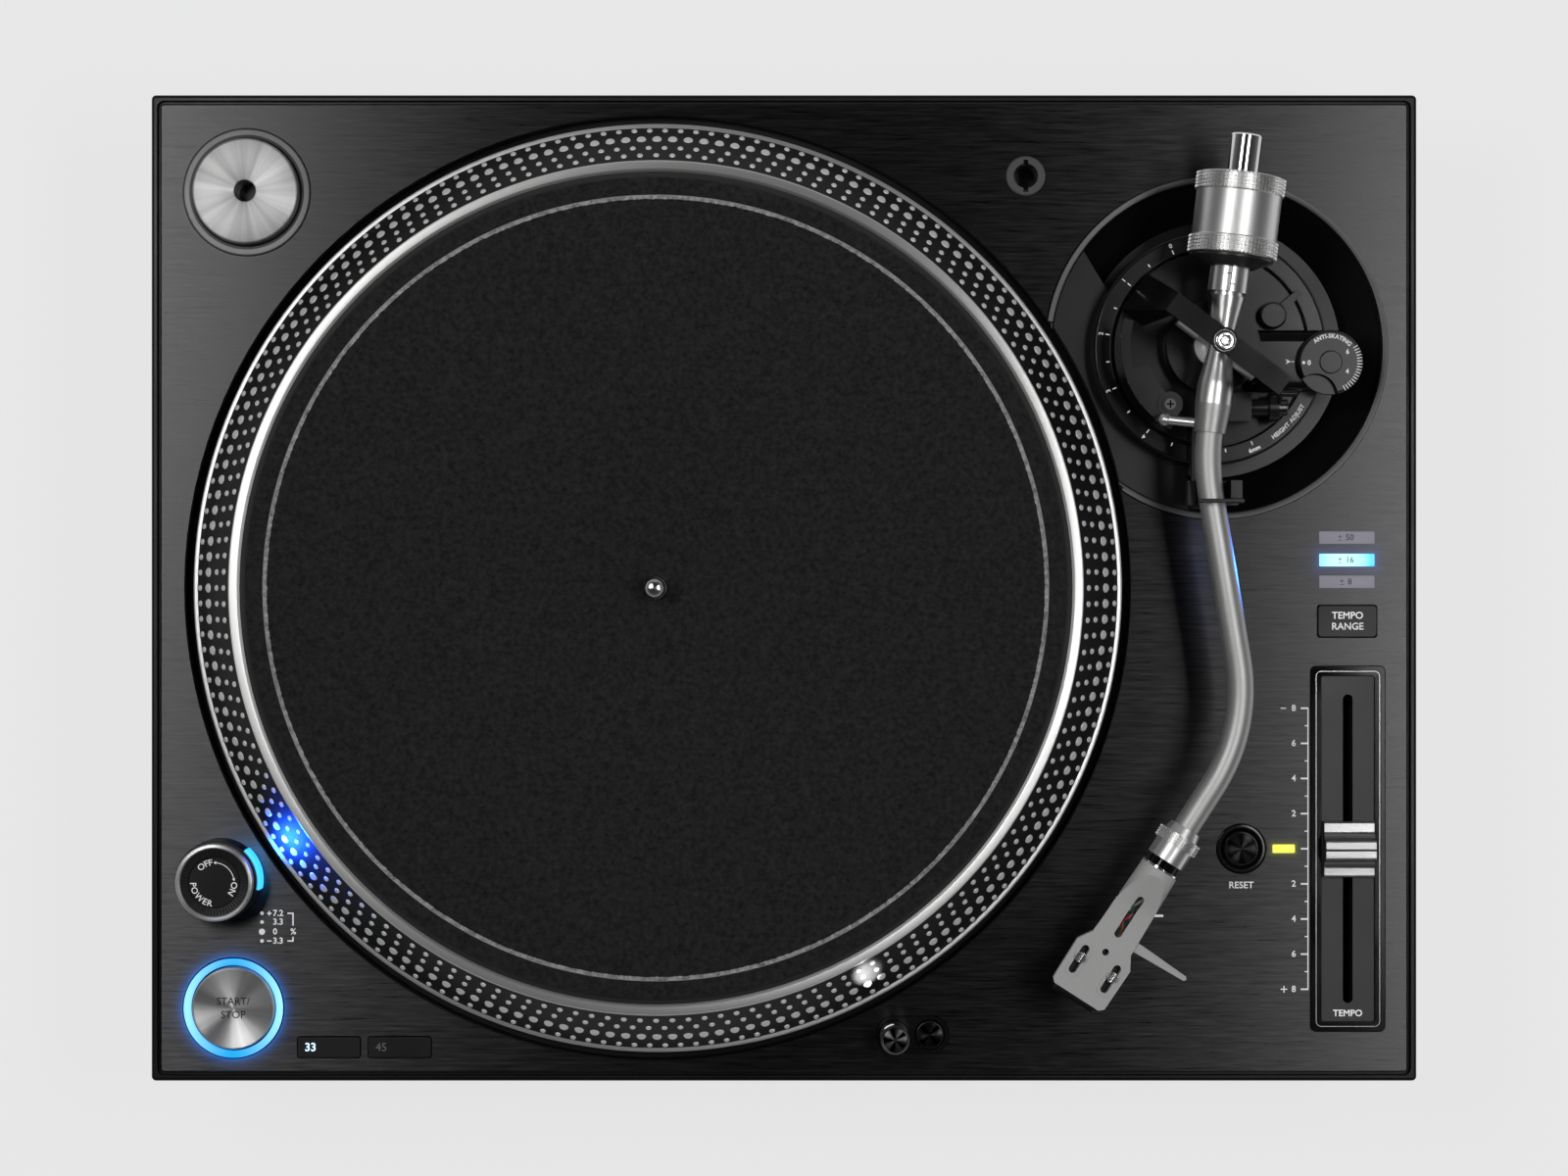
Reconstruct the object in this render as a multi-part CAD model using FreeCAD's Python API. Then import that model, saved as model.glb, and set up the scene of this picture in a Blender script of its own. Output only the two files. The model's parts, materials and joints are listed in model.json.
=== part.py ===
import FreeCAD
import Part
import math
import os

# DJ turntable, direct drive, with an S shaped tonearm. Millimetres.
# +X right, +Y to the back, +Z up. The origin is under the middle of the case, on the surface
# that the feet stand on.

CLEAR = 0.3            # gap between loose pieces of different bodies
FIT = 0.05             # radial running fit of shafts and pistons

# Heights of the stacked case
FOOT_HEIGHT = 30.0
BASE_HEIGHT = 36.0
CHASSIS_HEIGHT = 38.0
DECK_THICK = 2.0

# The platter, the tonearm's well and the room round them, which size the case in plan
PLATTER_RADIUS = 166.0
PLATTER_MARGIN = 10.5          # to the case's front and back
PLATTER_LEFT_MARGIN = 15.3
PIVOT_GAP = 30.4               # in X, from the platter's right end to the arm's pivot
PIVOT_Y = 84.9                 # behind the platter's middle
WELL_RADIUS = 61.4
WELL_OFFSET = (3.5, 1.0)       # well's middle, from the arm's pivot
WELL_MARGIN = 10.4             # from the well to the case's right side

# Case in plan
CASE_WIDTH = (PLATTER_LEFT_MARGIN + 2 * PLATTER_RADIUS + PIVOT_GAP + WELL_OFFSET[0] + WELL_RADIUS
              + WELL_MARGIN)
CASE_DEPTH = 2 * (PLATTER_RADIUS + PLATTER_MARGIN)
LEFT, RIGHT = -CASE_WIDTH / 2, CASE_WIDTH / 2
FRONT, BACK = -CASE_DEPTH / 2, CASE_DEPTH / 2
CASE_CORNER = 1.6
BASE_INSET = 1.5
BASE_WALL = 9.0
BASE_TOP_WALL = 4.0
BASE_CORNER = 3.0
BASE_FILLET = 1.5      # along the base's bottom edge
COVER_THICK = 3.0
CHASSIS_WALL = 6.0
CHASSIS_TOP_WALL = 6.0
LIP_WIDTH = 2.4
LIP_DROP = 0.3         # lip's top below the deck's top
LIP_FILLET = 1.2       # outer edge
LIP_CHAMFER = 0.4      # inner edge
PANEL_GAP = 0.8        # groove between lip and deck plate
PANEL_CORNER = 1.4
PANEL_CHAMFER = 0.6

# Feet
FOOT_X = CASE_WIDTH / 2 - 46.5
FOOT_Y = CASE_DEPTH / 2 - 44.5
FOOT_RADIUS = 29.0
FOOT_PAD_RADIUS = 26.0
FOOT_PAD_HEIGHT = 4.0
FOOT_TOP_GAP = 0.5
STUD_RADIUS = 4.0
STUD_LENGTH = 20.0     # above the foot's housing
FOOT_BOSS_RADIUS = 16.0
FOOT_WEB = 8.0

# Screws that hold the bottom cover
SCREW_RADIUS = 1.5
SCREW_HEAD_RADIUS = 3.0
SCREW_HEAD_HEIGHT = 1.4
SCREW_LENGTH = 12.0
SCREW_BOSS_RADIUS = 5.5
SCREW_INSET = 4.0
SCREW_X = 100.0
SCREW_REAR_X = (LEFT + 86.5, LEFT + 196.5)

# Rear connector bay
BAY_WIDTH = 150.0
BAY_RIGHT = RIGHT - 68.5
BAY_LEFT = BAY_RIGHT - BAY_WIDTH
BAY_DEPTH = 30.0
BAY_WALL = 4.0
JACK_PANEL_THICK = 2.0
INLET_X = BAY_LEFT + 34.0
INLET_WIDTH = 24.0
INLET_HEIGHT = 16.5
INLET_DEPTH = 16.0
INLET_WALL = 1.8
INLET_FLANGE_WIDTH = 50.0
INLET_FLANGE_HEIGHT = 22.5
INLET_FLANGE = 3.0
INLET_PIN_LENGTH = 10.0
JACK_X = (BAY_LEFT + 100.0, BAY_LEFT + 118.0)
JACK_RADIUS = 4.15
JACK_LENGTH = 9.0
JACK_FLANGE_RADIUS = 6.2
JACK_FLANGE = 2.0
JACK_BORE = 1.6
JACK_BODY_LENGTH = 12.0
GROUND_X = BAY_LEFT + 136.0
GROUND_RADIUS = 4.6

# Platter, its basin, its bearing and its motor
PLATTER_X = LEFT + PLATTER_LEFT_MARGIN + PLATTER_RADIUS
FLANGE_HEIGHT = 3.8
FLANGE_DROP = 3.0      # flange's underside below the deck's top
CONE_BASE_RADIUS = PLATTER_RADIUS - 1.5
RIM_HEIGHT = 18.5      # rim's top above the deck
RIM_OUTER_RADIUS = PLATTER_RADIUS - 15.4
RIM_INNER_RADIUS = RIM_OUTER_RADIUS - 2.7
RECESS_RADIUS = RIM_INNER_RADIUS - 0.9
RECESS_DEPTH = 1.0
WEB_THICK = 4.5
SKIRT_WALL = 8.0
HUB_RADIUS = 14.0
HUB_DROP = 2.5
BASIN_GAP = 3.25
BASIN_DEPTH = 8.0
BASIN_WALL = 2.75
BASIN_FLOOR = 4.0
PANEL_EASE = 0.2       # deck plate's cutouts around what passes through it
SPINDLE_RADIUS = 3.6
SPINDLE_SHAFT_RADIUS = 4.0      # below the mat, in the hub and the bearing
SPINDLE_ABOVE_MAT = 14.0
SPINDLE_TIP = 1.2
BEARING_RADIUS = 10.0
BEARING_DEPTH = 12.0   # bearing housing below the basin's floor
BEARING_RISE = 20.0    # bearing housing above the basin's floor
BEARING_FLANGE_RADIUS = 16.0
BEARING_FLANGE = 3.0
BEARING_END = 3.0
MAT_RADIUS = RECESS_RADIUS - 2.0
MAT_THICK = 2.0
MAT_LIFT = 0.1
STATOR_INNER_RADIUS = 20.0
STATOR_OUTER_RADIUS = 50.0
MOTOR_GAP = 2.0
MAGNET_WALL = 12.0
MAGNET_HEIGHT = 12.0
STATOR_TOP_GAP = 2.5

# Circuit boards, under the deck
BOARD_DROP = 14.4      # board's top below the chassis' top
BOARD_THICK = 1.6
BOARD_LEFT_REACH = 22.0         # main board, to the left of the reset button
BOARD_BACK_GAP = 1.2            # and from its back edge to the tonearm well's seat
SWITCH_HEIGHT = 2.2
SWITCH_SIZE = 6.0
STANDOFF_RADIUS = 3.0
BUTTON_STEM_RADIUS = 2.0
BUTTON_SKIRT = 7.0     # button's body below the deck's top

# Power supply, on the bottom cover over its vents
SUPPLY_AT = (LEFT + 136.5, BACK - 91.5)
SUPPLY_WIDTH = 120.0
SUPPLY_DEPTH = 110.0
SUPPLY_FLANGE = 3.0
SUPPLY_EDGE = 5.0
SUPPLY_TOP_GAP = 4.0
VENT_COUNT = 8
VENT_PITCH = 7.0
VENT_WIDTH = 3.0
VENT_LENGTH = 60.0

# Front left controls
POWER_GAP = 21.627     # from the platter's edge to the power tower's middle
POWER_BEARING = 213.698         # and its direction from the platter's middle, degrees
POWER_AT = (PLATTER_X + (PLATTER_RADIUS + POWER_GAP) * math.cos(math.radians(POWER_BEARING)),
            (PLATTER_RADIUS + POWER_GAP) * math.sin(math.radians(POWER_BEARING)))
POWER_RADIUS = 14.5
POWER_HEIGHT = 15.0
POWER_NECK_RADIUS = 8.0
POWER_NECK = 9.0       # below the chassis' top
POWER_SHAFT_RADIUS = 3.0
POWER_SHAFT = 14.0
POWER_KNOB_RADIUS = 13.7
POWER_KNOB_HEIGHT = 3.7
WINDOW_WIDTH = 12.0
WINDOW_HEIGHT = 9.0
WINDOW_DEPTH = 4.0
WINDOW_SILL = 4.0
START_AT = (LEFT + 29.5, FRONT + 26.2)
START_RADIUS = 14.7
START_RING_INNER = 15.3
START_RING_RADIUS = 18.1
START_BARREL_RADIUS = 17.0
START_RING_RISE = 0.6
START_RISE = 1.1
START_TRAVEL = 1.5
SPEED_Y = FRONT + 12.2
SPEED_X = (LEFT + 63.7, LEFT + 89.0)
SPEED_WIDTH = 22.5
SPEED_DEPTH = 7.4
SPEED_CORNER = 1.0
SPEED_RISE = 1.0
BUTTON_TRAVEL = 1.5

# Adapter for records with a large hole
ADAPTER_AT = (LEFT + 34.3, BACK - 34.9)
ADAPTER_RADIUS = 18.9
ADAPTER_HEIGHT = 12.5
ADAPTER_BORE = 3.8
CUP_RADIUS = 22.8
CUP_INNER_RADIUS = 19.4
CUP_BARREL_RADIUS = 21.4
CUP_DEPTH = 7.5        # cup's floor below the deck's top
CUP_FLOOR = 2.5
CUP_RISE = 0.5

# Target light
TARGET_AT = (PLATTER_X + 91.2, FRONT + 16.7)
TARGET_WIDTH = 26.1
TARGET_DEPTH = 13.2
TARGET_PLATE_RISE = 0.5
TARGET_LIGHT_X = TARGET_AT[0] - 6.7
TARGET_LIGHT_RADIUS = 5.1
TARGET_RISE = 15.5
TARGET_GRIP = 18.0
TARGET_TUBE_WALL = 1.1
TARGET_BUTTON_X = TARGET_AT[0] + 6.1
TARGET_BUTTON_RADIUS = 5.2
TARGET_BUTTON_RISE = 0.9

# Spare headshell holder
HOLDER_AT = (RIGHT - 140.0, BACK - 29.1)
HOLDER_RADIUS = 7.2
HOLDER_BORE = 4.3
HOLDER_BARREL_RADIUS = 5.9
HOLDER_RISE = 1.0
HOLDER_DEPTH = 20.0
HOLDER_END = 2.0
HOLDER_SLOT = 1.6

# Tempo fader and the lamps and buttons beside it
TEMPO_AT = (RIGHT - 24.8, FRONT + 83.2)
TEMPO_WIDTH = 26.7
TEMPO_LENGTH = 130.8
TEMPO_PLATE_WIDTH = 18.9
TEMPO_PLATE_LENGTH = 123.6
TEMPO_RISE = 0.6
TEMPO_CORNER = 2.0
FADER_SLOT_WIDTH = 3.5
FADER_SLOT_LENGTH = 110.5
FADER_TRAVEL = 50.0
FADER_CAP_WIDTH = 18.1
FADER_CAP_LENGTH = 19.9
FADER_CAP_HEIGHT = 8.0
FADER_CAP_ROUND = 0.6  # bevels along its edges
FADER_END_HEIGHT = 3.5 # low end parts of the cap
FADER_END_FLAT = 3.2   # their flat stretch, before they sweep up to the ridge
FADER_RIDGE = 7.0      # length of the ridge across the cap's middle
FADER_GROOVE = 0.5
FADER_GROOVE_DEPTH = 0.4
FADER_CAP_GAP = 0.5
FADER_STEM_WIDTH = 2.4
FADER_STEM_LENGTH = 6.0
FADER_BODY_WIDTH = 12.6
FADER_BODY_LENGTH = 120.0
FADER_BODY_WALL = 1.4
FADER_CARRIAGE_LENGTH = 8.0
RESET_AT = (RIGHT - 62.9, TEMPO_AT[1])
RESET_RING_RADIUS = 8.9
RESET_BARREL_RADIUS = 7.9
RESET_RADIUS = 6.4
RESET_RISE = 0.7
RESET_RING_RISE = 0.4
ZERO_AT = (RIGHT - 47.7, TEMPO_AT[1])
ZERO_WIDTH = 8.0
ZERO_DEPTH = 3.05
RANGE_X = RIGHT - 25.1
RANGE_Y = (FRONT + 194.5, FRONT + 186.5, FRONT + 178.7)
RANGE_WIDTH = 19.8
RANGE_DEPTH = 4.5
LAMP_RISE = 0.2
LAMP_HEIGHT = 9.0
RANGE_BUTTON_AT = (RIGHT - 25.0, FRONT + 164.6)
RANGE_BUTTON_WIDTH = 21.1
RANGE_BUTTON_DEPTH = 11.4
RANGE_BUTTON_RISE = 1.0

# Tonearm well and its height adjustment
PIVOT_AT = (PLATTER_X + PLATTER_RADIUS + PIVOT_GAP, PIVOT_Y)
WELL_AT = (PIVOT_AT[0] + WELL_OFFSET[0], PIVOT_AT[1] + WELL_OFFSET[1])
WELL_RIM = 1.5
WELL_RISE = 0.3
WELL_SHELF_BACK = ((-75.0, 60.0), (-47.6, 34.9), (-38.8, 20.2))     # outline, from the well's middle
WELL_SHELF_NOTCH = ((-26.0, 10.0), (-6.5, -20.0))                   # and on, from the arm's pivot
WELL_SHELF_DROP = 0.1
WELL_FLOOR_RADIUS = 46.0
WELL_FLOOR_DROP = 11.0
WELL_FLOOR = 4.0
WELL_SEAT = 4.0
WELL_SEAT_WALL = 3.0
COLUMN_RADIUS = 27.0
COLUMN_WALL = 7.0
COLUMN_LENGTH = 32.0
GUIDE_WALL = 4.0
GUIDE_SHOULDER = 2.5
GUIDE_RISE = 2.0
PLATFORM_RADIUS = 34.0
PLATFORM_THICK = 5.0
PLATFORM_HEIGHT = 11.0   # platform's top above the deck
RING_RADIUS = 41.4
RING_GAP = 1.1
RING_TOP = 10.0
RING_BOTTOM = 0.6
RING_CHAMFER = 0.8

# Gimbal and arm
ARM_HEIGHT = 41.0        # arm's centre line above the deck
ARM_AXIS = 262.9         # direction of the arm sleeve, degrees
GIMBAL_AXIS = -36.8      # direction of the gimbal's cross pivot, degrees
BEARING_BLOCK_RADIUS = 16.5
BEARING_BLOCK_HEIGHT = 10.0
YOKE_SHAFT_RADIUS = 4.0
YOKE_FLANGE_RADIUS = 7.0
YOKE_FLANGE = 2.0
YOKE_REACH = 16.2
YOKE_INNER = 7.7
YOKE_BARREL_RADIUS = 4.5
YOKE_UPRIGHT = 6.2
YOKE_WIDTH = 5.0
YOKE_FLOOR_DROP = 10.0   # crossbar's top below the arm's centre line
YOKE_FLOOR = 4.0
YOKE_STRAP_HEIGHT = 7.0  # strap's underside above the arm's centre line
YOKE_STRAP = 1.6
PITCH_PIN_RADIUS = 1.5
PITCH_PIN_INNER = 2.6
BRIDGE_HEIGHT = 9.3      # bridge strip's underside above the arm's centre line
BRIDGE_THICK = 1.7
BRIDGE_WIDTH = 7.5
BRIDGE_LEFT = 19.5
BRIDGE_RIGHT = 26.0
BRIDGE_FOOT_WIDTH = 16.0
BRIDGE_FOOT_INNER = 24.0
BRIDGE_FOOT_OUTER = 34.0
BRIDGE_LEG_INNER = 20.0
BRIDGE_LEG_OUTER = 24.5
BRIDGE_LEG_WIDTH = 5.2
BRIDGE_COLLAR_RADIUS = 4.6
BRIDGE_SCREW_RADIUS = 3.5
BRIDGE_SCREW_HEIGHT = 1.0
BRIDGE_TIP_RADIUS = 1.2
SLEEVE_FRONT = 31.4
SLEEVE_FRONT_RADIUS = 5.4
SLEEVE_BAND = 21.4
SLEEVE_BAND_RADIUS = 6.25
SLEEVE_SHOULDER = 15.0
SLEEVE_WAIST_RADIUS = 4.2
SLEEVE_WAIST = 3.0
SLEEVE_CONE = 16.2
SLEEVE_CONE_RADIUS = 6.2
SLEEVE_GROOVE = 1.3
SLEEVE_GROOVE_DEPTH = 0.7
MARKED_RADIUS = 6.8
MARKED_END = 27.5
SHAFT_RADIUS = 5.7
SHAFT_END = 72.5
SLEEVE_SWEEP = 0.8       # room round the sleeve for the arm's pitch
TUBE_RADIUS = 4.5
TUBE_WALL = 1.0
TUBE_START = 10.0
TUBE_FIRST_BEND = 42.1           # ahead of the pivot, along the sleeve
TUBE_FIRST_RADIUS = 80.8
TUBE_LAST_BEND = 55.4            # behind the socket, along the headshell
TUBE_LAST_RADIUS = 61.9
SOCKET_AT = (PIVOT_AT[0] - 20.0, PIVOT_AT[1] - 180.2)
HEADSHELL_AXIS = 237.3
LIFT_BALL_RADIUS = 2.4
LIFT_BALL_AT = (28.5, -15.4, -4.5)
LIFT_ROD_RADIUS = 1.7

# Counterweight
WEIGHT_START = 30.0
WEIGHT_END = 58.2
WEIGHT_RADIUS = 14.75
KNURL_RADIUS = 15.15
KNURL_WIDTH = 6.2
BUSH_WALL = 1.8
BUSH_START = 33.3
DIAL_FRONT = 26.2
DIAL_FRONT_RADIUS = 8.5
DIAL_HUB_RADIUS = 9.0
DIAL_HUB_LENGTH = 3.0
DIAL_BORE_GAP = 0.35

# Lock nut, headshell and cartridge, along the headshell's axis from the socket
NUT_FRONT = -1.3
NUT_RADIUS = 6.85
NUT_KNURL_RADIUS = 7.65
NUT_KNURL_FRONT = -7.2
NUT_KNURL_BACK = -11.4
NUT_BACK = -14.5
NUT_BACK_RADIUS = 5.6
NUT_FIT = 0.1
PLUG_LENGTH = 10.0
GASKET_RADIUS = 5.9
GASKET_FRONT = 1.7
COLLAR_RADIUS = 7.1
COLLAR_THICK = 0.7
NECK_RADIUS = 6.9
NECK_END = 32.0
NECK_END_RADIUS = 7.8
NECK_SLOPE_START = 5.0
NECK_SLOPE_END = 19.0
SHELL_TOP = 0.7
SHELL_THICK = 3.0
SHELL_OUTLINE = ((4.0, -2.0), (8.0, -3.4), (12.0, -5.0), (17.1, -6.5), (25.0, -7.4), (32.9, -8.0),
                 (37.7, -11.0), (53.6, -10.8), (55.0, -9.4), (55.0, 8.6), (53.6, 10.2),
                 (37.7, 10.6), (32.9, 7.8), (25.0, 7.2), (17.1, 6.3), (12.0, 4.9), (8.0, 3.2), (4.0, 2.0))
SHELL_SLOT = (13.7, 30.2)
SHELL_SLOT_WIDTH = 2.6
SCREW_SLOT = (38.0, 49.0)
SCREW_SLOT_WIDTH = 2.8
SCREW_SLOT_LEFT = -6.7
SCREW_SLOT_RIGHT = 6.3
SCREW_SLOT_BORDER = 1.1
SCREW_SLOT_RISE = 0.3
SHELL_HOLE_AT = (36.6, -0.2)
SHELL_HOLE_RADIUS = 1.2
SHELL_SCREW_AT = 42.7
SHELL_SCREW_HEAD = 1.9
SHELL_SCREW_HEIGHT = 1.3
SHELL_SCREW_RADIUS = 1.2
SHELL_SCREW_LENGTH = 8.0
LIFT_AT = 29.6
LIFT_REACH = 28.6
LIFT_ROOT = 3.7
LIFT_TIP = 1.7
LIFT_THICK = 1.2
LIFT_DROP = 0.9
CARTRIDGE_BACK = 34.2
CARTRIDGE_FRONT = 56.0
CARTRIDGE_WIDTH = 15.2
CARTRIDGE_HEIGHT = 9.7
NOSE_FRONT = 57.2
STYLUS_AT = 52.1
STYLUS_BLOCK_BACK = 41.0
STYLUS_BLOCK_WIDTH = 8.0
STYLUS_BLOCK_HEIGHT = 3.5
STYLUS_TIP = 2.0
STYLUS_RADIUS = 0.5

# Anti-skate block and dial
SKATE_BLOCK = (15.0, 46.0)      # from and to, right of the pivot
SKATE_BLOCK_Y = (-15.5, 6.1)
SKATE_BLOCK_HEIGHT = 9.0
SKATE_AT = (40.7, -5.6)
SKATE_RADIUS = 11.4
SKATE_THICK = 3.7
SKATE_BOSS_RADIUS = 3.9
SKATE_BOSS_RISE = 0.6
SKATE_PIN_RADIUS = 2.5
SKATE_PIN = 6.0
SKATE_NOTCH_RADIUS = 7.6
SKATE_NOTCH_AT = (-5.3, -11.8)

# Height lock
LOCK_AT = (21.7, 11.5)
LOCK_RADIUS = 4.8
LOCK_HEIGHT = 4.7
LOCK_PIN_RADIUS = 2.0
LOCK_LEVER_LENGTH = 13.3
LOCK_LEVER_WIDTH = 2.6
LOCK_LEVER_THICK = 2.2
LOCK_LEVER_AXIS = 41.0

# Cueing lever and the bar it lifts
CUE_Y = -21.4
CUE_HEIGHT = 9.0                # axis above the platform
CUE_BLOCK = (4.8, 12.8)
CUE_BLOCK_HALF = 5.0
CUE_BLOCK_TOP = 5.0             # above the axis
CUE_SHAFT_RADIUS = 3.1
CUE_SHAFT = (0.8, 19.3)
CUE_DISC_RADIUS = 5.25
CUE_DISC_END = 22.6
CUE_KNOB_RADIUS = 2.8
CUE_KNOB_END = 25.9
CUE_HANDLE_LENGTH = 10.5
CUE_HANDLE_WIDTH = 2.4
CUE_HANDLE_LEAN = 25.0
CUE_HANDLE_TIP = 6.0
CUE_ROOM = 25.0                 # height kept clear over the cue lever's block
LIFT_BOSS_AT = (-16.4, -20.7)
LIFT_BOSS_RADIUS = 5.0
LIFT_BOSS_HEIGHT = 10.0
PISTON_RADIUS = 2.95
PISTON_GRIP = 13.0
LIFT_GAP = 3.1                  # rail's top below the ball
RAIL_RADIUS = 32.0
RAIL_WIDTH = 3.4
RAIL_FROM = 164.0
RAIL_TO = 241.0
RAIL_THICK = 2.0
RAIL_WEB_INNER = 24.5
RAIL_WEB_FROM = 196.0
LIFT_HEAD_RADIUS = 4.4
LIFT_SCREW_RISE = 0.6

# Arm rest and its latch
REST_X = -2.5                   # bracket's middle, from the pivot
REST_WIDTH = 9.0
REST_INNER = -28.0
REST_THICK = 3.5
REST_Y = -53.2
REST_POST = 7.4
REST_HEAD = (-10.7, 7.3)
REST_HEAD_BACK = -47.6
REST_HEAD_FRONT = -56.1
REST_HEAD_DROP = 9.0            # head's top below the arm's centre line
REST_HEAD_THICK = 4.0
REST_SADDLE = (-7.2, 0.8)
REST_SADDLE_DROP = 6.3
REST_LUG_WIDTH = 2.8
REST_LUG_DROP = 5.7
LATCH_LUG_WIDTH = 4.0
LATCH_LUG_RISE = 1.6
LATCH_LUG_THICK = 6.3
LATCH_AT = (5.3, -1.0)          # pivot: from the arm pivot in X, from the centre line in Z
LATCH_PIN_RADIUS = 1.2
LATCH_THICK = 1.4
LATCH_RISE = 8.2
LATCH_REACH = 14.0

# Derived levels
Z_BASE = FOOT_HEIGHT
Z_CHASSIS = Z_BASE + BASE_HEIGHT
Z_TOP = Z_CHASSIS + CHASSIS_HEIGHT
Z_DECK = Z_TOP + DECK_THICK
Z_COVER = Z_BASE + COVER_THICK
Z_BASE_PLATE = Z_CHASSIS - BASE_TOP_WALL
Z_BASIN = Z_TOP - BASIN_DEPTH
Z_BOARD = Z_TOP - BOARD_DROP
Z_SWITCH = Z_BOARD + SWITCH_HEIGHT
Z_ARM = Z_DECK + ARM_HEIGHT
Z_PLATFORM = Z_DECK + PLATFORM_HEIGHT
Z_FLANGE = Z_DECK - FLANGE_DROP
Z_RIM = Z_DECK + RIM_HEIGHT
Z_RECESS = Z_RIM - RECESS_DEPTH
Z_WEB = Z_RECESS - WEB_THICK
Z_BAY_MID = (Z_COVER + COVER_THICK + Z_BASE_PLATE) / 2
BASE_WIDTH = CASE_WIDTH - 2 * BASE_INSET
BASE_DEPTH = CASE_DEPTH - 2 * BASE_INSET
BASIN_RADIUS = PLATTER_RADIUS + BASIN_GAP
BASIN_OUTER = BASIN_RADIUS + BASIN_WALL
PANEL_INSET = LIP_WIDTH + PANEL_GAP
PANEL_WIDTH = CASE_WIDTH - 2 * PANEL_INSET
PANEL_DEPTH = CASE_DEPTH - 2 * PANEL_INSET
GUIDE_RADIUS = COLUMN_RADIUS + FIT + GUIDE_WALL
RING_INNER = PLATFORM_RADIUS + RING_GAP
PX, PY = PIVOT_AT

FEET = {
    "foot_front_left": (-FOOT_X, -FOOT_Y),
    "foot_front_right": (FOOT_X, -FOOT_Y),
    "foot_rear_left": (-FOOT_X, FOOT_Y),
    "foot_rear_right": (FOOT_X, FOOT_Y),
}


def vec(x, y, z):
    return FreeCAD.Vector(x, y, z)


def box(x0, x1, y0, y1, z0, z1):
    return Part.makeBox(x1 - x0, y1 - y0, z1 - z0, vec(x0, y0, z0))


def cylinder(radius, z0, z1, x=0.0, y=0.0):
    return Part.makeCylinder(radius, z1 - z0, vec(x, y, z0))


def ring(outer, inner, z0, z1, x=0.0, y=0.0):
    return cylinder(outer, z0, z1, x, y).cut(cylinder(inner, z0 - 1, z1 + 1, x, y))


def rod(radius, start, end):
    along = end - start
    return Part.makeCylinder(radius, along.Length, start, along)


def prism(points, z0, z1):
    """Upright block over a closed outline."""
    corners = [vec(x, y, z0) for x, y in points]
    face = Part.Face(Part.makePolygon(corners + corners[:1]))
    return face.extrude(vec(0, 0, z1 - z0))


def rounded(x, y, width, depth, corner, z0, z1):
    """Upright block with rounded corners; a corner of half its depth makes a lozenge."""
    corner = min(corner, width / 2, depth / 2)
    across = width / 2 - corner
    along = depth / 2 - corner
    diagonal = corner * math.sqrt(0.5)
    edges = []
    for sx, sy, turn in ((1, 1, 0), (-1, 1, 1), (-1, -1, 0), (1, -1, 1)):
        cx, cy = sx * across, sy * along
        first = vec(cx + sx * corner, cy, z0)
        middle = vec(cx + sx * diagonal, cy + sy * diagonal, z0)
        last = vec(cx, cy + sy * corner, z0)
        edges.append((last, middle, first) if turn else (first, middle, last))
    outline = []
    for index, (first, middle, last) in enumerate(edges):
        outline.append(Part.Arc(first, middle, last).toShape())
        following = edges[(index + 1) % 4][0]
        if (following - last).Length > 1e-6:
            outline.append(Part.LineSegment(last, following).toShape())
    block = Part.Face(Part.Wire(outline)).extrude(vec(0, 0, z1 - z0))
    block.translate(vec(x, y, 0))
    return block


def turned(profile, x=0.0, y=0.0, z=0.0):
    """Solid of revolution about an upright axis, from (radius, height) corners."""
    corners = [vec(r, 0, h) for r, h in profile]
    solid = Part.Face(Part.makePolygon(corners + corners[:1])).revolve(vec(0, 0, 0), vec(0, 0, 1), 360)
    solid.translate(vec(x, y, z))
    return solid


def lathed(profile):
    """Solid of revolution about the X axis, from (distance, radius) corners."""
    corners = [vec(s, 0, r) for s, r in profile]
    return Part.Face(Part.makePolygon(corners + corners[:1])).revolve(vec(0, 0, 0), vec(1, 0, 0), 360)


def sector(inner, outer, start, end, z0, z1):
    """Part of a flat ring between two directions in degrees, with rounded ends."""
    middle = math.radians((start + end) / 2)
    first, last = math.radians(start), math.radians(end)

    def at(radius, angle):
        return vec(radius * math.cos(angle), radius * math.sin(angle), z0)

    edges = [
        Part.Arc(at(inner, first), at(inner, middle), at(inner, last)).toShape(),
        Part.LineSegment(at(inner, last), at(outer, last)).toShape(),
        Part.Arc(at(outer, last), at(outer, middle), at(outer, first)).toShape(),
        Part.LineSegment(at(outer, first), at(inner, first)).toShape(),
    ]
    return Part.Face(Part.Wire(edges)).extrude(vec(0, 0, z1 - z0))


def bent_path(points, radii):
    """Straight runs through the points, joined by tangent arcs."""
    edges = []
    start = points[0]
    for before, corner, after, radius in zip(points, points[1:], points[2:], radii):
        back = (before - corner).normalize()
        ahead = (after - corner).normalize()
        half = back.getAngle(ahead) / 2
        inward = (back + ahead).normalize()
        enter = corner + back * (radius / math.tan(half))
        leave = corner + ahead * (radius / math.tan(half))
        middle = corner + inward * (radius / math.sin(half) - radius)
        edges.append(Part.LineSegment(start, enter).toShape())
        edges.append(Part.Arc(enter, middle, leave).toShape())
        start = leave
    edges.append(Part.LineSegment(start, points[-1]).toShape())
    return Part.Wire(edges)


def pipe(path, radius, start, along):
    circle = Part.Wire([Part.Circle(start, along, radius).toShape()])
    return path.makePipeShell([circle], True, False)


def edges_at(shape, height):
    """Edges that lie level at a height."""
    return [edge for edge in shape.Edges
            if all(abs(vertex.Z - height) < 1e-6 for vertex in edge.Vertexes)]


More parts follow.
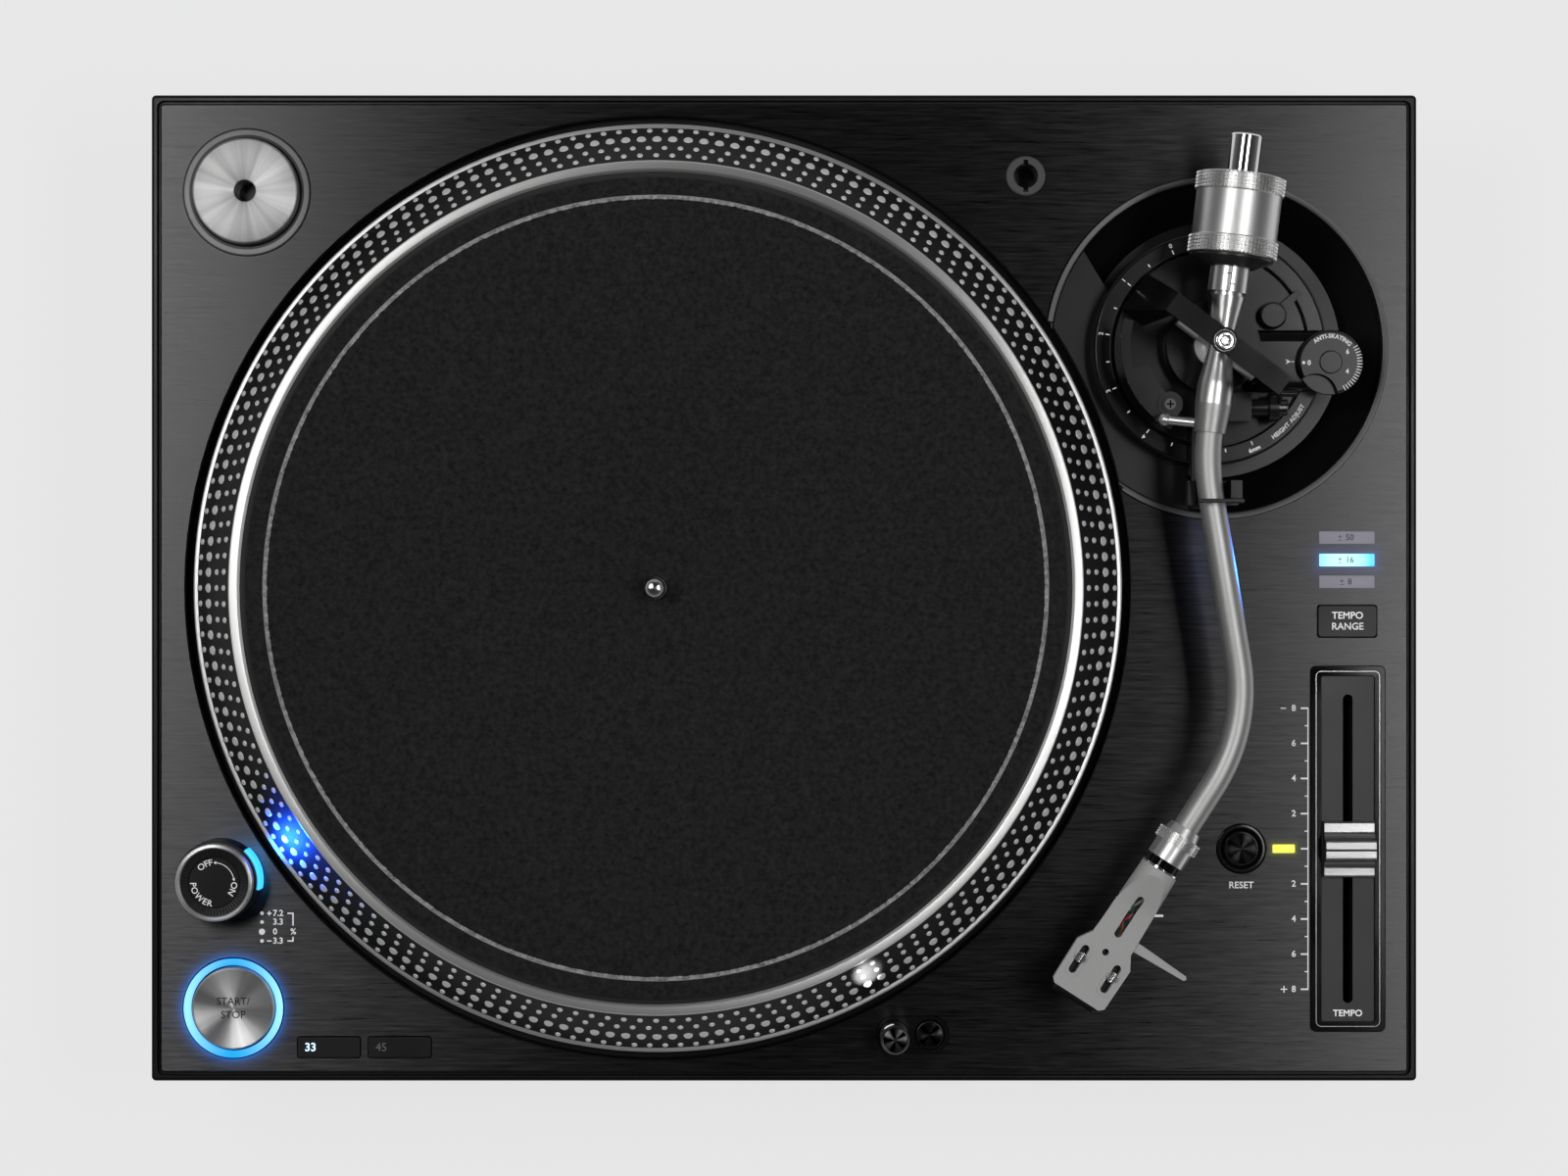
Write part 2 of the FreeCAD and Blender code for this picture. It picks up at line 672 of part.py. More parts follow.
def edge_reach(edge):
    """How far an edge lies from the case's middle, with the case's shorter sides pushed out to match."""
    spot = edge.CenterOfMass
    return max(abs(spot.x), abs(spot.y) + (CASE_WIDTH - CASE_DEPTH) / 2)


def joined(first, *others):
    return first.multiFuse(list(others)).removeSplitter()


def less(shape, *cutters):
    for cutter in cutters:
        shape = shape.cut(cutter)
    return shape


def standing(shape, angle, x, y, z):
    """Turn a piece about Z and set it in place."""
    placed = shape.copy()
    placed.Placement = FreeCAD.Placement(
        vec(x, y, z), FreeCAD.Rotation(vec(0, 0, 1), angle)).multiply(placed.Placement)
    return placed


def on_arm(shape):
    """From the sleeve's own frame, pivot at the origin and the front along +X."""
    return standing(shape, ARM_AXIS, PX, PY, Z_ARM)


def on_gimbal(shape):
    """From the gimbal's own frame, with its cross pivot along X."""
    return standing(shape, GIMBAL_AXIS, PX, PY, Z_ARM)


def on_socket(shape):
    """From the headshell's own frame, with the tube's end at the origin and the front along +X."""
    return standing(shape, HEADSHELL_AXIS, SOCKET_AT[0], SOCKET_AT[1], Z_ARM)


def save(name, *shapes):
    solids = [solid for shape in shapes for solid in shape.Solids]
    for solid in solids:
        if not solid.isValid():
            print("not valid:", name)
    result = solids[0] if len(solids) == 1 else Part.makeCompound(solids)
    result.exportStep("parts/" + name + ".step")
    print(name, len(solids), round(sum(solid.Volume for solid in solids) / 1000, 2), "cm3")


# Case

def cover_screws():
    """Places of the six screws, each beside the base's inner wall."""
    side = BASE_WIDTH / 2 - BASE_WALL - SCREW_INSET
    depth = BASE_DEPTH / 2 - BASE_WALL - SCREW_INSET
    places = [(x, -depth) for x in (-SCREW_X, SCREW_X)]
    places += [(x, depth) for x in SCREW_REAR_X]
    places += [(x, 0.0) for x in (-side, side)]
    return places


def bay_back():
    return BASE_DEPTH / 2 - BAY_DEPTH


def isolation_base():
    outer = rounded(0, 0, BASE_WIDTH, BASE_DEPTH, BASE_CORNER, Z_BASE, Z_CHASSIS)
    outer = outer.makeFillet(BASE_FILLET, edges_at(outer, Z_BASE))
    half_x = BASE_WIDTH / 2 - BASE_WALL
    half_y = BASE_DEPTH / 2 - BASE_WALL
    shell = outer.cut(box(-half_x, half_x, -half_y, half_y, Z_BASE - 1, Z_BASE_PLATE))
    added = []
    for x, y in FEET.values():
        added.append(cylinder(FOOT_BOSS_RADIUS, Z_COVER, Z_BASE_PLATE, x, y))
        side = math.copysign(1, x)
        back = math.copysign(1, y)
        wall_x = side * (half_x + 1)
        wall_y = back * (half_y + 1)
        added.append(box(min(x, wall_x), max(x, wall_x), y - FOOT_WEB / 2, y + FOOT_WEB / 2,
                         Z_COVER, Z_BASE_PLATE))
        added.append(box(x - FOOT_WEB / 2, x + FOOT_WEB / 2, min(y, wall_y), max(y, wall_y),
                         Z_COVER, Z_BASE_PLATE))
    for x, y in cover_screws():
        added.append(cylinder(SCREW_BOSS_RADIUS, Z_COVER, Z_BASE_PLATE, x, y).common(outer))
    added.append(box(BAY_LEFT - BAY_WALL, BAY_RIGHT + BAY_WALL, bay_back() - BAY_WALL,
                     BASE_DEPTH / 2 - 1, Z_COVER, Z_BASE_PLATE))
    base = joined(shell, *added)
    base = less(base, box(BAY_LEFT, BAY_RIGHT, bay_back() - BAY_WALL - 1, BASE_DEPTH / 2 + 1,
                          Z_COVER + COVER_THICK, Z_BASE_PLATE))
    stud_top = Z_BASE + STUD_LENGTH + 4
    for x, y in FEET.values():
        base = base.cut(cylinder(STUD_RADIUS + FIT, Z_BASE - 1, stud_top, x, y))
    for x, y in cover_screws():
        base = base.cut(cylinder(SCREW_RADIUS, Z_BASE - 1, Z_COVER + SCREW_LENGTH, x, y))
    save("isolation_base", base)


def bottom_cover():
    half_x = BASE_WIDTH / 2 - BASE_WALL - CLEAR
    half_y = BASE_DEPTH / 2 - BASE_WALL - CLEAR
    cover = box(-half_x, half_x, -half_y, half_y, Z_BASE, Z_COVER)
    for x, y in FEET.values():
        cover = cover.cut(cylinder(STUD_RADIUS + 1, Z_BASE - 1, Z_COVER + 1, x, y))
    for x, y in cover_screws():
        cover = cover.cut(cylinder(SCREW_RADIUS, Z_BASE - 1, Z_COVER + 1, x, y))
    for index in range(VENT_COUNT):
        x = SUPPLY_AT[0] + (index - (VENT_COUNT - 1) / 2) * VENT_PITCH
        cover = cover.cut(rounded(x, SUPPLY_AT[1], VENT_WIDTH, VENT_LENGTH, VENT_WIDTH / 2,
                                  Z_BASE - 1, Z_COVER + 1))
    save("bottom_cover", cover)


def case_screws():
    screws = []
    for x, y in cover_screws():
        head = cylinder(SCREW_HEAD_RADIUS, Z_BASE - SCREW_HEAD_HEIGHT, Z_BASE, x, y)
        shank = cylinder(SCREW_RADIUS, Z_BASE - 0.5, Z_COVER + SCREW_LENGTH - CLEAR, x, y)
        screw = joined(head, shank)
        recess = box(x - 1.9, x + 1.9, y - 0.35, y + 0.35, Z_BASE - SCREW_HEAD_HEIGHT - 1,
                     Z_BASE - SCREW_HEAD_HEIGHT + 0.7)
        cross = box(x - 0.35, x + 0.35, y - 1.9, y + 1.9, Z_BASE - SCREW_HEAD_HEIGHT - 1,
                    Z_BASE - SCREW_HEAD_HEIGHT + 0.7)
        screws.append(less(screw, recess, cross))
    save("case_screws", *screws)


def standoffs():
    """Posts that carry the two circuit boards under the chassis' top."""
    left_x = START_AT[0] + START_BARREL_RADIUS + STANDOFF_RADIUS + 2
    front_y = SPEED_Y + 1.3
    places = [(left_x, START_AT[1] - 1.7)]
    places.append((SPEED_X[1] + SPEED_WIDTH / 2 + STANDOFF_RADIUS + 3, front_y))
    places.append((TARGET_LIGHT_X - 29.3, front_y))
    places.append((TARGET_BUTTON_X + TARGET_BUTTON_RADIUS + STANDOFF_RADIUS + 3, front_y + 8))
    right = RIGHT - CHASSIS_WALL - STANDOFF_RADIUS - 3
    places.append((RESET_AT[0] - 18, front_y + 3))
    places.append((right, front_y + 2))
    places.append((RESET_AT[0] - 18, RANGE_BUTTON_AT[1] + 3.9))
    places.append((right, RANGE_BUTTON_AT[1] - 12))
    return places


def basin_bottom(x, y):
    """Underside of the chassis over a board: the basin's floor or the top wall."""
    inside = math.hypot(x - PLATTER_X, y) < BASIN_OUTER
    return Z_BASIN if inside else Z_TOP


def chassis_casting():
    outer = rounded(0, 0, CASE_WIDTH, CASE_DEPTH, CASE_CORNER, Z_CHASSIS, Z_DECK - LIP_DROP)
    half_x = CASE_WIDTH / 2 - CHASSIS_WALL
    half_y = CASE_DEPTH / 2 - CHASSIS_WALL
    under = Z_TOP - CHASSIS_TOP_WALL
    shell = outer.cut(box(-half_x, half_x, -half_y, half_y, Z_CHASSIS - 1, under))
    shell = shell.cut(rounded(0, 0, CASE_WIDTH - 2 * LIP_WIDTH, CASE_DEPTH - 2 * LIP_WIDTH,
                              PANEL_CORNER + PANEL_GAP, Z_TOP, Z_DECK + 1))
    lip_edges = edges_at(shell, Z_DECK - LIP_DROP)
    outside = [edge for edge in lip_edges if edge_reach(edge) > CASE_WIDTH / 2 - LIP_WIDTH / 2]
    inside = [edge for edge in lip_edges if edge_reach(edge) < CASE_WIDTH / 2 - LIP_WIDTH / 2]
    shell = shell.makeFillet(LIP_FILLET, outside)
    shell = shell.makeChamfer(LIP_CHAMFER, inside)
    trough = cylinder(BASIN_OUTER, Z_BASIN - BASIN_FLOOR, Z_TOP, PLATTER_X, 0).common(outer)
    seat = cylinder(WELL_RADIUS + CLEAR + WELL_SEAT_WALL, well_floor() - WELL_SEAT, Z_TOP,
                    *WELL_AT)
    posts = [cylinder(STANDOFF_RADIUS, Z_BOARD, basin_bottom(x, y) - 1, x, y) for x, y in standoffs()]
    chassis = joined(shell, trough, seat, *posts)
    pocket = cylinder(WELL_RADIUS + CLEAR, well_floor(), Z_DECK, *WELL_AT)
    pocket = pocket.cut(cylinder(BASIN_OUTER, Z_CHASSIS, Z_DECK + 1, PLATTER_X, 0))
    cutters = [
        cylinder(BASIN_RADIUS, Z_BASIN, Z_DECK + 1, PLATTER_X, 0),
        cylinder(BEARING_RADIUS, Z_CHASSIS, Z_DECK, PLATTER_X, 0),
        pocket,
        cylinder(COLUMN_RADIUS + 0.5, Z_CHASSIS, Z_DECK, PX, PY),
        cylinder(POWER_NECK_RADIUS, under - 1, Z_DECK, *POWER_AT),
        cylinder(START_BARREL_RADIUS, under - 1, Z_DECK, *START_AT),
        cylinder(CUP_BARREL_RADIUS, under - 1, Z_DECK, *ADAPTER_AT),
        cylinder(TARGET_LIGHT_RADIUS + CLEAR + TARGET_TUBE_WALL, under - 1, Z_DECK,
                 TARGET_LIGHT_X, TARGET_AT[1]),
        cylinder(TARGET_BUTTON_RADIUS + CLEAR, under - 1, Z_DECK, TARGET_BUTTON_X, TARGET_AT[1]),
        cylinder(HOLDER_BARREL_RADIUS, under - 1, Z_DECK, *HOLDER_AT),
        cylinder(RESET_BARREL_RADIUS, under - 1, Z_DECK, *RESET_AT),
        box(TEMPO_AT[0] - FADER_STEM_WIDTH, TEMPO_AT[0] + FADER_STEM_WIDTH,
            TEMPO_AT[1] - FADER_SLOT_LENGTH / 2, TEMPO_AT[1] + FADER_SLOT_LENGTH / 2, under - 1, Z_DECK),
    ]
    cutters += top_windows(under - 1, Z_DECK, CLEAR)
    save("chassis_casting", less(chassis, *cutters))


def top_windows(z0, z1, room):
    """Cutters for the rectangular buttons and lamps that pass through the top."""
    windows = []
    for x in SPEED_X:
        windows.append(rounded(x, SPEED_Y, SPEED_WIDTH + 2 * room, SPEED_DEPTH + 2 * room,
                               SPEED_CORNER + room, z0, z1))
    windows.append(rounded(RANGE_BUTTON_AT[0], RANGE_BUTTON_AT[1], RANGE_BUTTON_WIDTH + 2 * room,
                           RANGE_BUTTON_DEPTH + 2 * room, SPEED_CORNER + room, z0, z1))
    windows.append(rounded(ZERO_AT[0], ZERO_AT[1], ZERO_WIDTH, ZERO_DEPTH, SPEED_CORNER / 2, z0, z1))
    for y in RANGE_Y:
        windows.append(rounded(RANGE_X, y, RANGE_WIDTH, RANGE_DEPTH, SPEED_CORNER / 2, z0, z1))
    return windows


def deck_plate():
    plate = rounded(0, 0, PANEL_WIDTH, PANEL_DEPTH, PANEL_CORNER, Z_TOP, Z_DECK)
    plate = plate.makeChamfer(PANEL_CHAMFER, edges_at(plate, Z_DECK))
    above = Z_DECK + 1
    below = Z_TOP - 1
    cutters = [
        cylinder(BASIN_RADIUS + PANEL_EASE, below, above, PLATTER_X, 0),
        cylinder(WELL_RADIUS + PANEL_EASE, below, above, *WELL_AT),
        cylinder(POWER_RADIUS + PANEL_EASE, below, above, *POWER_AT),
        cylinder(START_RING_RADIUS + PANEL_EASE, below, above, *START_AT),
        cylinder(CUP_RADIUS + PANEL_EASE, below, above, *ADAPTER_AT),
        rounded(TARGET_AT[0], TARGET_AT[1], TARGET_WIDTH + 2 * PANEL_EASE, TARGET_DEPTH + 2 * PANEL_EASE,
                TARGET_DEPTH / 2 + PANEL_EASE, below, above),
        cylinder(HOLDER_RADIUS + PANEL_EASE, below, above, *HOLDER_AT),
        cylinder(RESET_RING_RADIUS + PANEL_EASE, below, above, *RESET_AT),
        rounded(TEMPO_AT[0], TEMPO_AT[1], TEMPO_WIDTH + 2 * PANEL_EASE, TEMPO_LENGTH + 2 * PANEL_EASE,
                TEMPO_CORNER + PANEL_EASE, below, above),
    ]
    cutters += top_windows(below, above, CLEAR)
    save("deck_plate", less(plate, *cutters))


# Rear connectors

def jack_panel():
    y0 = bay_back() - JACK_PANEL_THICK
    panel = box(BAY_LEFT, BAY_RIGHT, y0, bay_back(), Z_COVER + COVER_THICK, Z_BASE_PLATE)
    width, height = inlet_body()
    panel = panel.cut(box(INLET_X - width / 2, INLET_X + width / 2, y0 - 1, bay_back() + 1,
                          Z_BAY_MID - height / 2, Z_BAY_MID + height / 2))
    for x in JACK_X:
        panel = panel.cut(rod(JACK_RADIUS, vec(x, y0 - 1, Z_BAY_MID), vec(x, bay_back() + 1, Z_BAY_MID)))
    panel = panel.cut(rod(SCREW_RADIUS + 0.5, vec(GROUND_X, y0 - 1, Z_BAY_MID),
                          vec(GROUND_X, bay_back() + 1, Z_BAY_MID)))
    save("jack_panel", panel)


def inlet_body():
    return INLET_WIDTH + 2 * INLET_WALL, INLET_HEIGHT + 2 * INLET_WALL


def power_inlet():
    width, height = inlet_body()
    y = bay_back()
    front = y + INLET_FLANGE
    bottom = front - INLET_DEPTH
    flange = box(INLET_X - INLET_FLANGE_WIDTH / 2, INLET_X + INLET_FLANGE_WIDTH / 2, y, front,
                 Z_BAY_MID - INLET_FLANGE_HEIGHT / 2, Z_BAY_MID + INLET_FLANGE_HEIGHT / 2)
    body = box(INLET_X - width / 2, INLET_X + width / 2, bottom - INLET_WALL, y + 1,
               Z_BAY_MID - height / 2, Z_BAY_MID + height / 2)
    inlet = joined(flange, body)
    inlet = inlet.cut(box(INLET_X - INLET_WIDTH / 2, INLET_X + INLET_WIDTH / 2, bottom, front + 1,
                          Z_BAY_MID - INLET_HEIGHT / 2, Z_BAY_MID + INLET_HEIGHT / 2))
    pins = []
    for x, z in ((-7.0, -2.0), (7.0, -2.0), (0.0, 2.0)):
        pins.append(box(INLET_X + x - 1, INLET_X + x + 1, bottom - 1, bottom + INLET_PIN_LENGTH,
                        Z_BAY_MID + z - 2, Z_BAY_MID + z + 2))
    save("power_inlet", joined(inlet, *pins))


def signal_jacks():
    y = bay_back()
    back = y - JACK_PANEL_THICK
    pieces = []
    for x in JACK_X:
        front = y + JACK_FLANGE + JACK_LENGTH
        flange = rod(JACK_FLANGE_RADIUS, vec(x, y, Z_BAY_MID), vec(x, y + JACK_FLANGE, Z_BAY_MID))
        barrel = rod(JACK_RADIUS, vec(x, back - 0.5, Z_BAY_MID), vec(x, front, Z_BAY_MID))
        body = rod(JACK_FLANGE_RADIUS, vec(x, back - JACK_BODY_LENGTH, Z_BAY_MID), vec(x, back, Z_BAY_MID))
        jack = joined(flange, barrel, body)
        pieces.append(jack.cut(rod(JACK_BORE, vec(x, y - 4, Z_BAY_MID), vec(x, front + 1, Z_BAY_MID))))
    stem = rod(SCREW_RADIUS + 0.5, vec(GROUND_X, back - 6, Z_BAY_MID), vec(GROUND_X, y + 6, Z_BAY_MID))
    nut = rod(GROUND_RADIUS, vec(GROUND_X, y, Z_BAY_MID), vec(GROUND_X, y + 1.5, Z_BAY_MID))
    knob = rod(GROUND_RADIUS, vec(GROUND_X, y + 3, Z_BAY_MID), vec(GROUND_X, y + 10, Z_BAY_MID))
    pieces.append(joined(stem, nut, knob))
    save("signal_jacks", *pieces)


# Pieces inside the case

def circuit_boards():
    half_x = CASE_WIDTH / 2 - CHASSIS_WALL - 3
    half_y = CASE_DEPTH / 2 - CHASSIS_WALL - 1.5
    z0 = Z_BOARD - BOARD_THICK
    control_right = TARGET_BUTTON_X + TARGET_BUTTON_RADIUS + 14
    control = box(-half_x, control_right, -half_y, START_AT[1] + 8, z0, Z_BOARD)
    light_hole = cylinder(TARGET_LIGHT_RADIUS + TARGET_TUBE_WALL + 1, z0 - 1, Z_BOARD + 1,
                          TARGET_LIGHT_X, TARGET_AT[1])
    buttons = [START_AT, (SPEED_X[0], SPEED_Y), (SPEED_X[1], SPEED_Y), (TARGET_BUTTON_X, TARGET_AT[1])]
    control = joined(control, *[switch(x, y) for x, y in buttons]).cut(light_hole)
    main_left = RESET_AT[0] - BOARD_LEFT_REACH
    main_back = WELL_AT[1] - WELL_RADIUS - CLEAR - WELL_SEAT_WALL - BOARD_BACK_GAP
    main = box(main_left, half_x, -half_y, main_back, z0, Z_BOARD)
    main = joined(main, *[switch(x, y) for x, y in (RESET_AT, RANGE_BUTTON_AT)])
    save("circuit_boards", control, main)


def switch(x, y):
    half = SWITCH_SIZE / 2
    return box(x - half, x + half, y - half, y + half, Z_BOARD - 0.5, Z_SWITCH)


def power_supply():
    x, y = SUPPLY_AT
    half_x = SUPPLY_WIDTH / 2
    half_y = SUPPLY_DEPTH / 2
    flange_top = Z_COVER + SUPPLY_FLANGE
    flange = box(x - half_x, x + half_x, y - half_y, y + half_y, Z_COVER, flange_top)
    case = box(x - half_x + SUPPLY_EDGE, x + half_x - SUPPLY_EDGE, y - half_y + SUPPLY_EDGE,
               y + half_y - SUPPLY_EDGE, flange_top, Z_BASE_PLATE - SUPPLY_TOP_GAP)
    save("power_supply", joined(flange, case))


def bearing_housing():
    top = Z_BASIN + BEARING_RISE
    bottom = Z_BASIN - BASIN_FLOOR - BEARING_DEPTH
    body = joined(cylinder(BEARING_RADIUS, bottom, top, PLATTER_X, 0),
                  cylinder(BEARING_FLANGE_RADIUS, Z_BASIN, Z_BASIN + BEARING_FLANGE, PLATTER_X, 0))
    bore = cylinder(SPINDLE_SHAFT_RADIUS + FIT, bottom + BEARING_END, top + 1, PLATTER_X, 0)
    save("bearing_housing", body.cut(bore))


def motor_stator():
    top = Z_WEB - STATOR_TOP_GAP
    core = ring(STATOR_OUTER_RADIUS, STATOR_INNER_RADIUS, Z_BASIN, top, PLATTER_X, 0)
    slots = []
    for index in range(12):
        slot = box(STATOR_OUTER_RADIUS - 16, STATOR_OUTER_RADIUS + 2, -2, 2, Z_BASIN + 4, top + 1)
        slots.append(standing(slot, index * 30.0, PLATTER_X, 0, 0))
    save("motor_stator", less(core, *slots))


def rotor_magnet():
    inner = STATOR_OUTER_RADIUS + MOTOR_GAP
    save("rotor_magnet", ring(inner + MAGNET_WALL, inner, Z_WEB - MAGNET_HEIGHT, Z_WEB, PLATTER_X, 0))


# Platter

def platter():
    cone_top = Z_FLANGE + FLANGE_HEIGHT
    skirt = CONE_BASE_RADIUS - SKIRT_WALL
    skirt_top = RIM_OUTER_RADIUS - SKIRT_WALL + 1.5
    profile = [
        (SPINDLE_SHAFT_RADIUS, Z_WEB - HUB_DROP), (HUB_RADIUS, Z_WEB - HUB_DROP), (HUB_RADIUS, Z_WEB),
        (skirt_top, Z_WEB), (skirt, cone_top), (skirt, Z_FLANGE),
        (PLATTER_RADIUS, Z_FLANGE), (PLATTER_RADIUS, cone_top), (CONE_BASE_RADIUS, cone_top),
        (RIM_OUTER_RADIUS, Z_RIM), (RIM_INNER_RADIUS, Z_RIM), (RECESS_RADIUS, Z_RECESS),
        (SPINDLE_SHAFT_RADIUS, Z_RECESS),
    ]
    save("platter", turned(profile, PLATTER_X, 0))


def spindle():
    bottom = Z_BASIN - BASIN_FLOOR - BEARING_DEPTH + BEARING_END + CLEAR
    mat_top = Z_RECESS + MAT_LIFT + MAT_THICK
    top = mat_top + SPINDLE_ABOVE_MAT
    profile = [(0, bottom), (SPINDLE_SHAFT_RADIUS, bottom), (SPINDLE_SHAFT_RADIUS, mat_top),
               (SPINDLE_RADIUS, mat_top), (SPINDLE_RADIUS, top - SPINDLE_TIP),
               (SPINDLE_RADIUS - SPINDLE_TIP, top), (0, top)]
    save("spindle", turned(profile, PLATTER_X, 0))


def slipmat():
    z0 = Z_RECESS + MAT_LIFT
    save("slipmat", ring(MAT_RADIUS, SPINDLE_SHAFT_RADIUS + CLEAR, z0, z0 + MAT_THICK, PLATTER_X, 0))


# Feet

def feet():
    pad_top = FOOT_PAD_HEIGHT
    top = Z_BASE - FOOT_TOP_GAP
    for name, (x, y) in FEET.items():
        pad = cylinder(FOOT_PAD_RADIUS, 0, pad_top + 0.5, x, y)
        shoulder = top - 3
        housing = turned([(0, pad_top), (FOOT_RADIUS - 1.5, pad_top), (FOOT_RADIUS, pad_top + 1.5),
                          (FOOT_RADIUS, shoulder), (FOOT_RADIUS - 3, top), (0, top)], x, y)
        groove = ring(FOOT_RADIUS + 1, FOOT_RADIUS - 0.8, pad_top + 8, pad_top + 10, x, y)
        stud = cylinder(STUD_RADIUS, top - 1, Z_BASE + STUD_LENGTH, x, y)
        save(name, joined(pad, housing.cut(groove), stud))


# Controls on the left and along the front

def window_azimuth():
    """Direction from the power tower to the platter's middle."""
    return math.degrees(math.atan2(-POWER_AT[1], PLATTER_X - POWER_AT[0]))


def window_block(room):
    z0 = Z_TOP + WINDOW_SILL
    block = box(POWER_RADIUS - WINDOW_DEPTH, POWER_RADIUS + 1, -WINDOW_WIDTH / 2 - room,
                WINDOW_WIDTH / 2 + room, z0 - room, z0 + WINDOW_HEIGHT + room)
    return standing(block, window_azimuth(), POWER_AT[0], POWER_AT[1], 0)


def power_tower():
    top = Z_TOP + POWER_HEIGHT
    body = joined(cylinder(POWER_RADIUS, Z_TOP, top, *POWER_AT),
                  cylinder(POWER_NECK_RADIUS, Z_TOP - POWER_NECK, Z_TOP + 1, *POWER_AT))
    bore = cylinder(POWER_SHAFT_RADIUS + FIT, top - POWER_SHAFT - 1, top + 1, *POWER_AT)
    save("power_tower", less(body, bore, window_block(0)))


def strobe_window():
    z0 = Z_TOP + WINDOW_SILL
    disc = cylinder(POWER_RADIUS - CLEAR, z0, z0 + WINDOW_HEIGHT, *POWER_AT)
    save("strobe_window", disc.common(window_block(0)))


def power_knob():
    z0 = Z_TOP + POWER_HEIGHT + CLEAR
    knob = turned([(0, z0), (POWER_KNOB_RADIUS, z0), (POWER_KNOB_RADIUS, z0 + POWER_KNOB_HEIGHT - 0.6),
                   (POWER_KNOB_RADIUS - 0.6, z0 + POWER_KNOB_HEIGHT), (0, z0 + POWER_KNOB_HEIGHT)],
                  *POWER_AT)
    shaft = cylinder(POWER_SHAFT_RADIUS, z0 - POWER_SHAFT, z0 + 1, *POWER_AT)
    save("power_knob", joined(knob, shaft))


def start_stop_ring():
    flange = ring(START_RING_RADIUS, START_RING_INNER, Z_TOP, Z_DECK + START_RING_RISE, *START_AT)
    barrel = ring(START_BARREL_RADIUS, START_RING_INNER, Z_TOP - CHASSIS_TOP_WALL, Z_TOP + 1, *START_AT)
    save("start_stop_ring", joined(flange, barrel))


def stem_bottom(travel):
    return Z_SWITCH + travel + CLEAR


def start_stop_button():
    top = Z_DECK + START_RISE
    body = turned([(0, Z_DECK - BUTTON_SKIRT), (START_RADIUS, Z_DECK - BUTTON_SKIRT),
                   (START_RADIUS, top - 0.4), (START_RADIUS - 0.4, top), (0, top)], *START_AT)
    stem = cylinder(BUTTON_STEM_RADIUS, stem_bottom(START_TRAVEL), Z_DECK - BUTTON_SKIRT + 1, *START_AT)
    save("start_stop_button", joined(body, stem))


def flat_button(name, x, y, width, depth, rise):
    body = rounded(x, y, width, depth, SPEED_CORNER, Z_DECK - BUTTON_SKIRT, Z_DECK + rise)
    body = body.makeChamfer(0.35, edges_at(body, Z_DECK + rise))
    stem = cylinder(BUTTON_STEM_RADIUS, stem_bottom(BUTTON_TRAVEL), Z_DECK - BUTTON_SKIRT + 1, x, y)
    save(name, joined(body, stem))


def round_button(name, x, y, radius, rise):
    top = Z_DECK + rise
    body = turned([(0, Z_DECK - BUTTON_SKIRT), (radius, Z_DECK - BUTTON_SKIRT), (radius, top - 0.4),
                   (radius - 0.4, top), (0, top)], x, y)
    stem = cylinder(BUTTON_STEM_RADIUS, stem_bottom(BUTTON_TRAVEL), Z_DECK - BUTTON_SKIRT + 1, x, y)
    save(name, joined(body, stem))


def buttons():
    flat_button("button_33", SPEED_X[0], SPEED_Y, SPEED_WIDTH, SPEED_DEPTH, SPEED_RISE)
    flat_button("button_45", SPEED_X[1], SPEED_Y, SPEED_WIDTH, SPEED_DEPTH, SPEED_RISE)
    flat_button("tempo_range_button", RANGE_BUTTON_AT[0], RANGE_BUTTON_AT[1], RANGE_BUTTON_WIDTH,
                RANGE_BUTTON_DEPTH, RANGE_BUTTON_RISE)
    round_button("reset_button", RESET_AT[0], RESET_AT[1], RESET_RADIUS, RESET_RISE)
    round_button("target_light_button", TARGET_BUTTON_X, TARGET_AT[1], TARGET_BUTTON_RADIUS,
                 TARGET_PLATE_RISE + TARGET_BUTTON_RISE)


def reset_ring():
    inner = RESET_RADIUS + CLEAR
    flange = ring(RESET_RING_RADIUS, inner, Z_TOP, Z_DECK + RESET_RING_RISE, *RESET_AT)
    barrel = ring(RESET_BARREL_RADIUS, inner, Z_TOP - CHASSIS_TOP_WALL, Z_TOP + 1, *RESET_AT)
    save("reset_ring", joined(flange, barrel))


def indicator_lamps():
    z0 = Z_DECK - LAMP_HEIGHT
    z1 = Z_DECK + LAMP_RISE
    lamps = [rounded(ZERO_AT[0], ZERO_AT[1], ZERO_WIDTH, ZERO_DEPTH, SPEED_CORNER / 2, z0, z1)]
    for y in RANGE_Y:
        lamps.append(rounded(RANGE_X, y, RANGE_WIDTH, RANGE_DEPTH, SPEED_CORNER / 2, z0, z1))
    save("indicator_lamps", *lamps)


def adapter_cup():
    floor = Z_DECK - CUP_DEPTH
    x, y = ADAPTER_AT
    profile = [(0, floor - CUP_FLOOR), (CUP_BARREL_RADIUS, floor - CUP_FLOOR), (CUP_BARREL_RADIUS, Z_TOP),
               (CUP_RADIUS, Z_TOP), (CUP_RADIUS, Z_DECK + CUP_RISE), (CUP_INNER_RADIUS, Z_DECK + CUP_RISE),
               (CUP_INNER_RADIUS, floor), (0, floor)]
    save("adapter_cup", turned(profile, x, y))


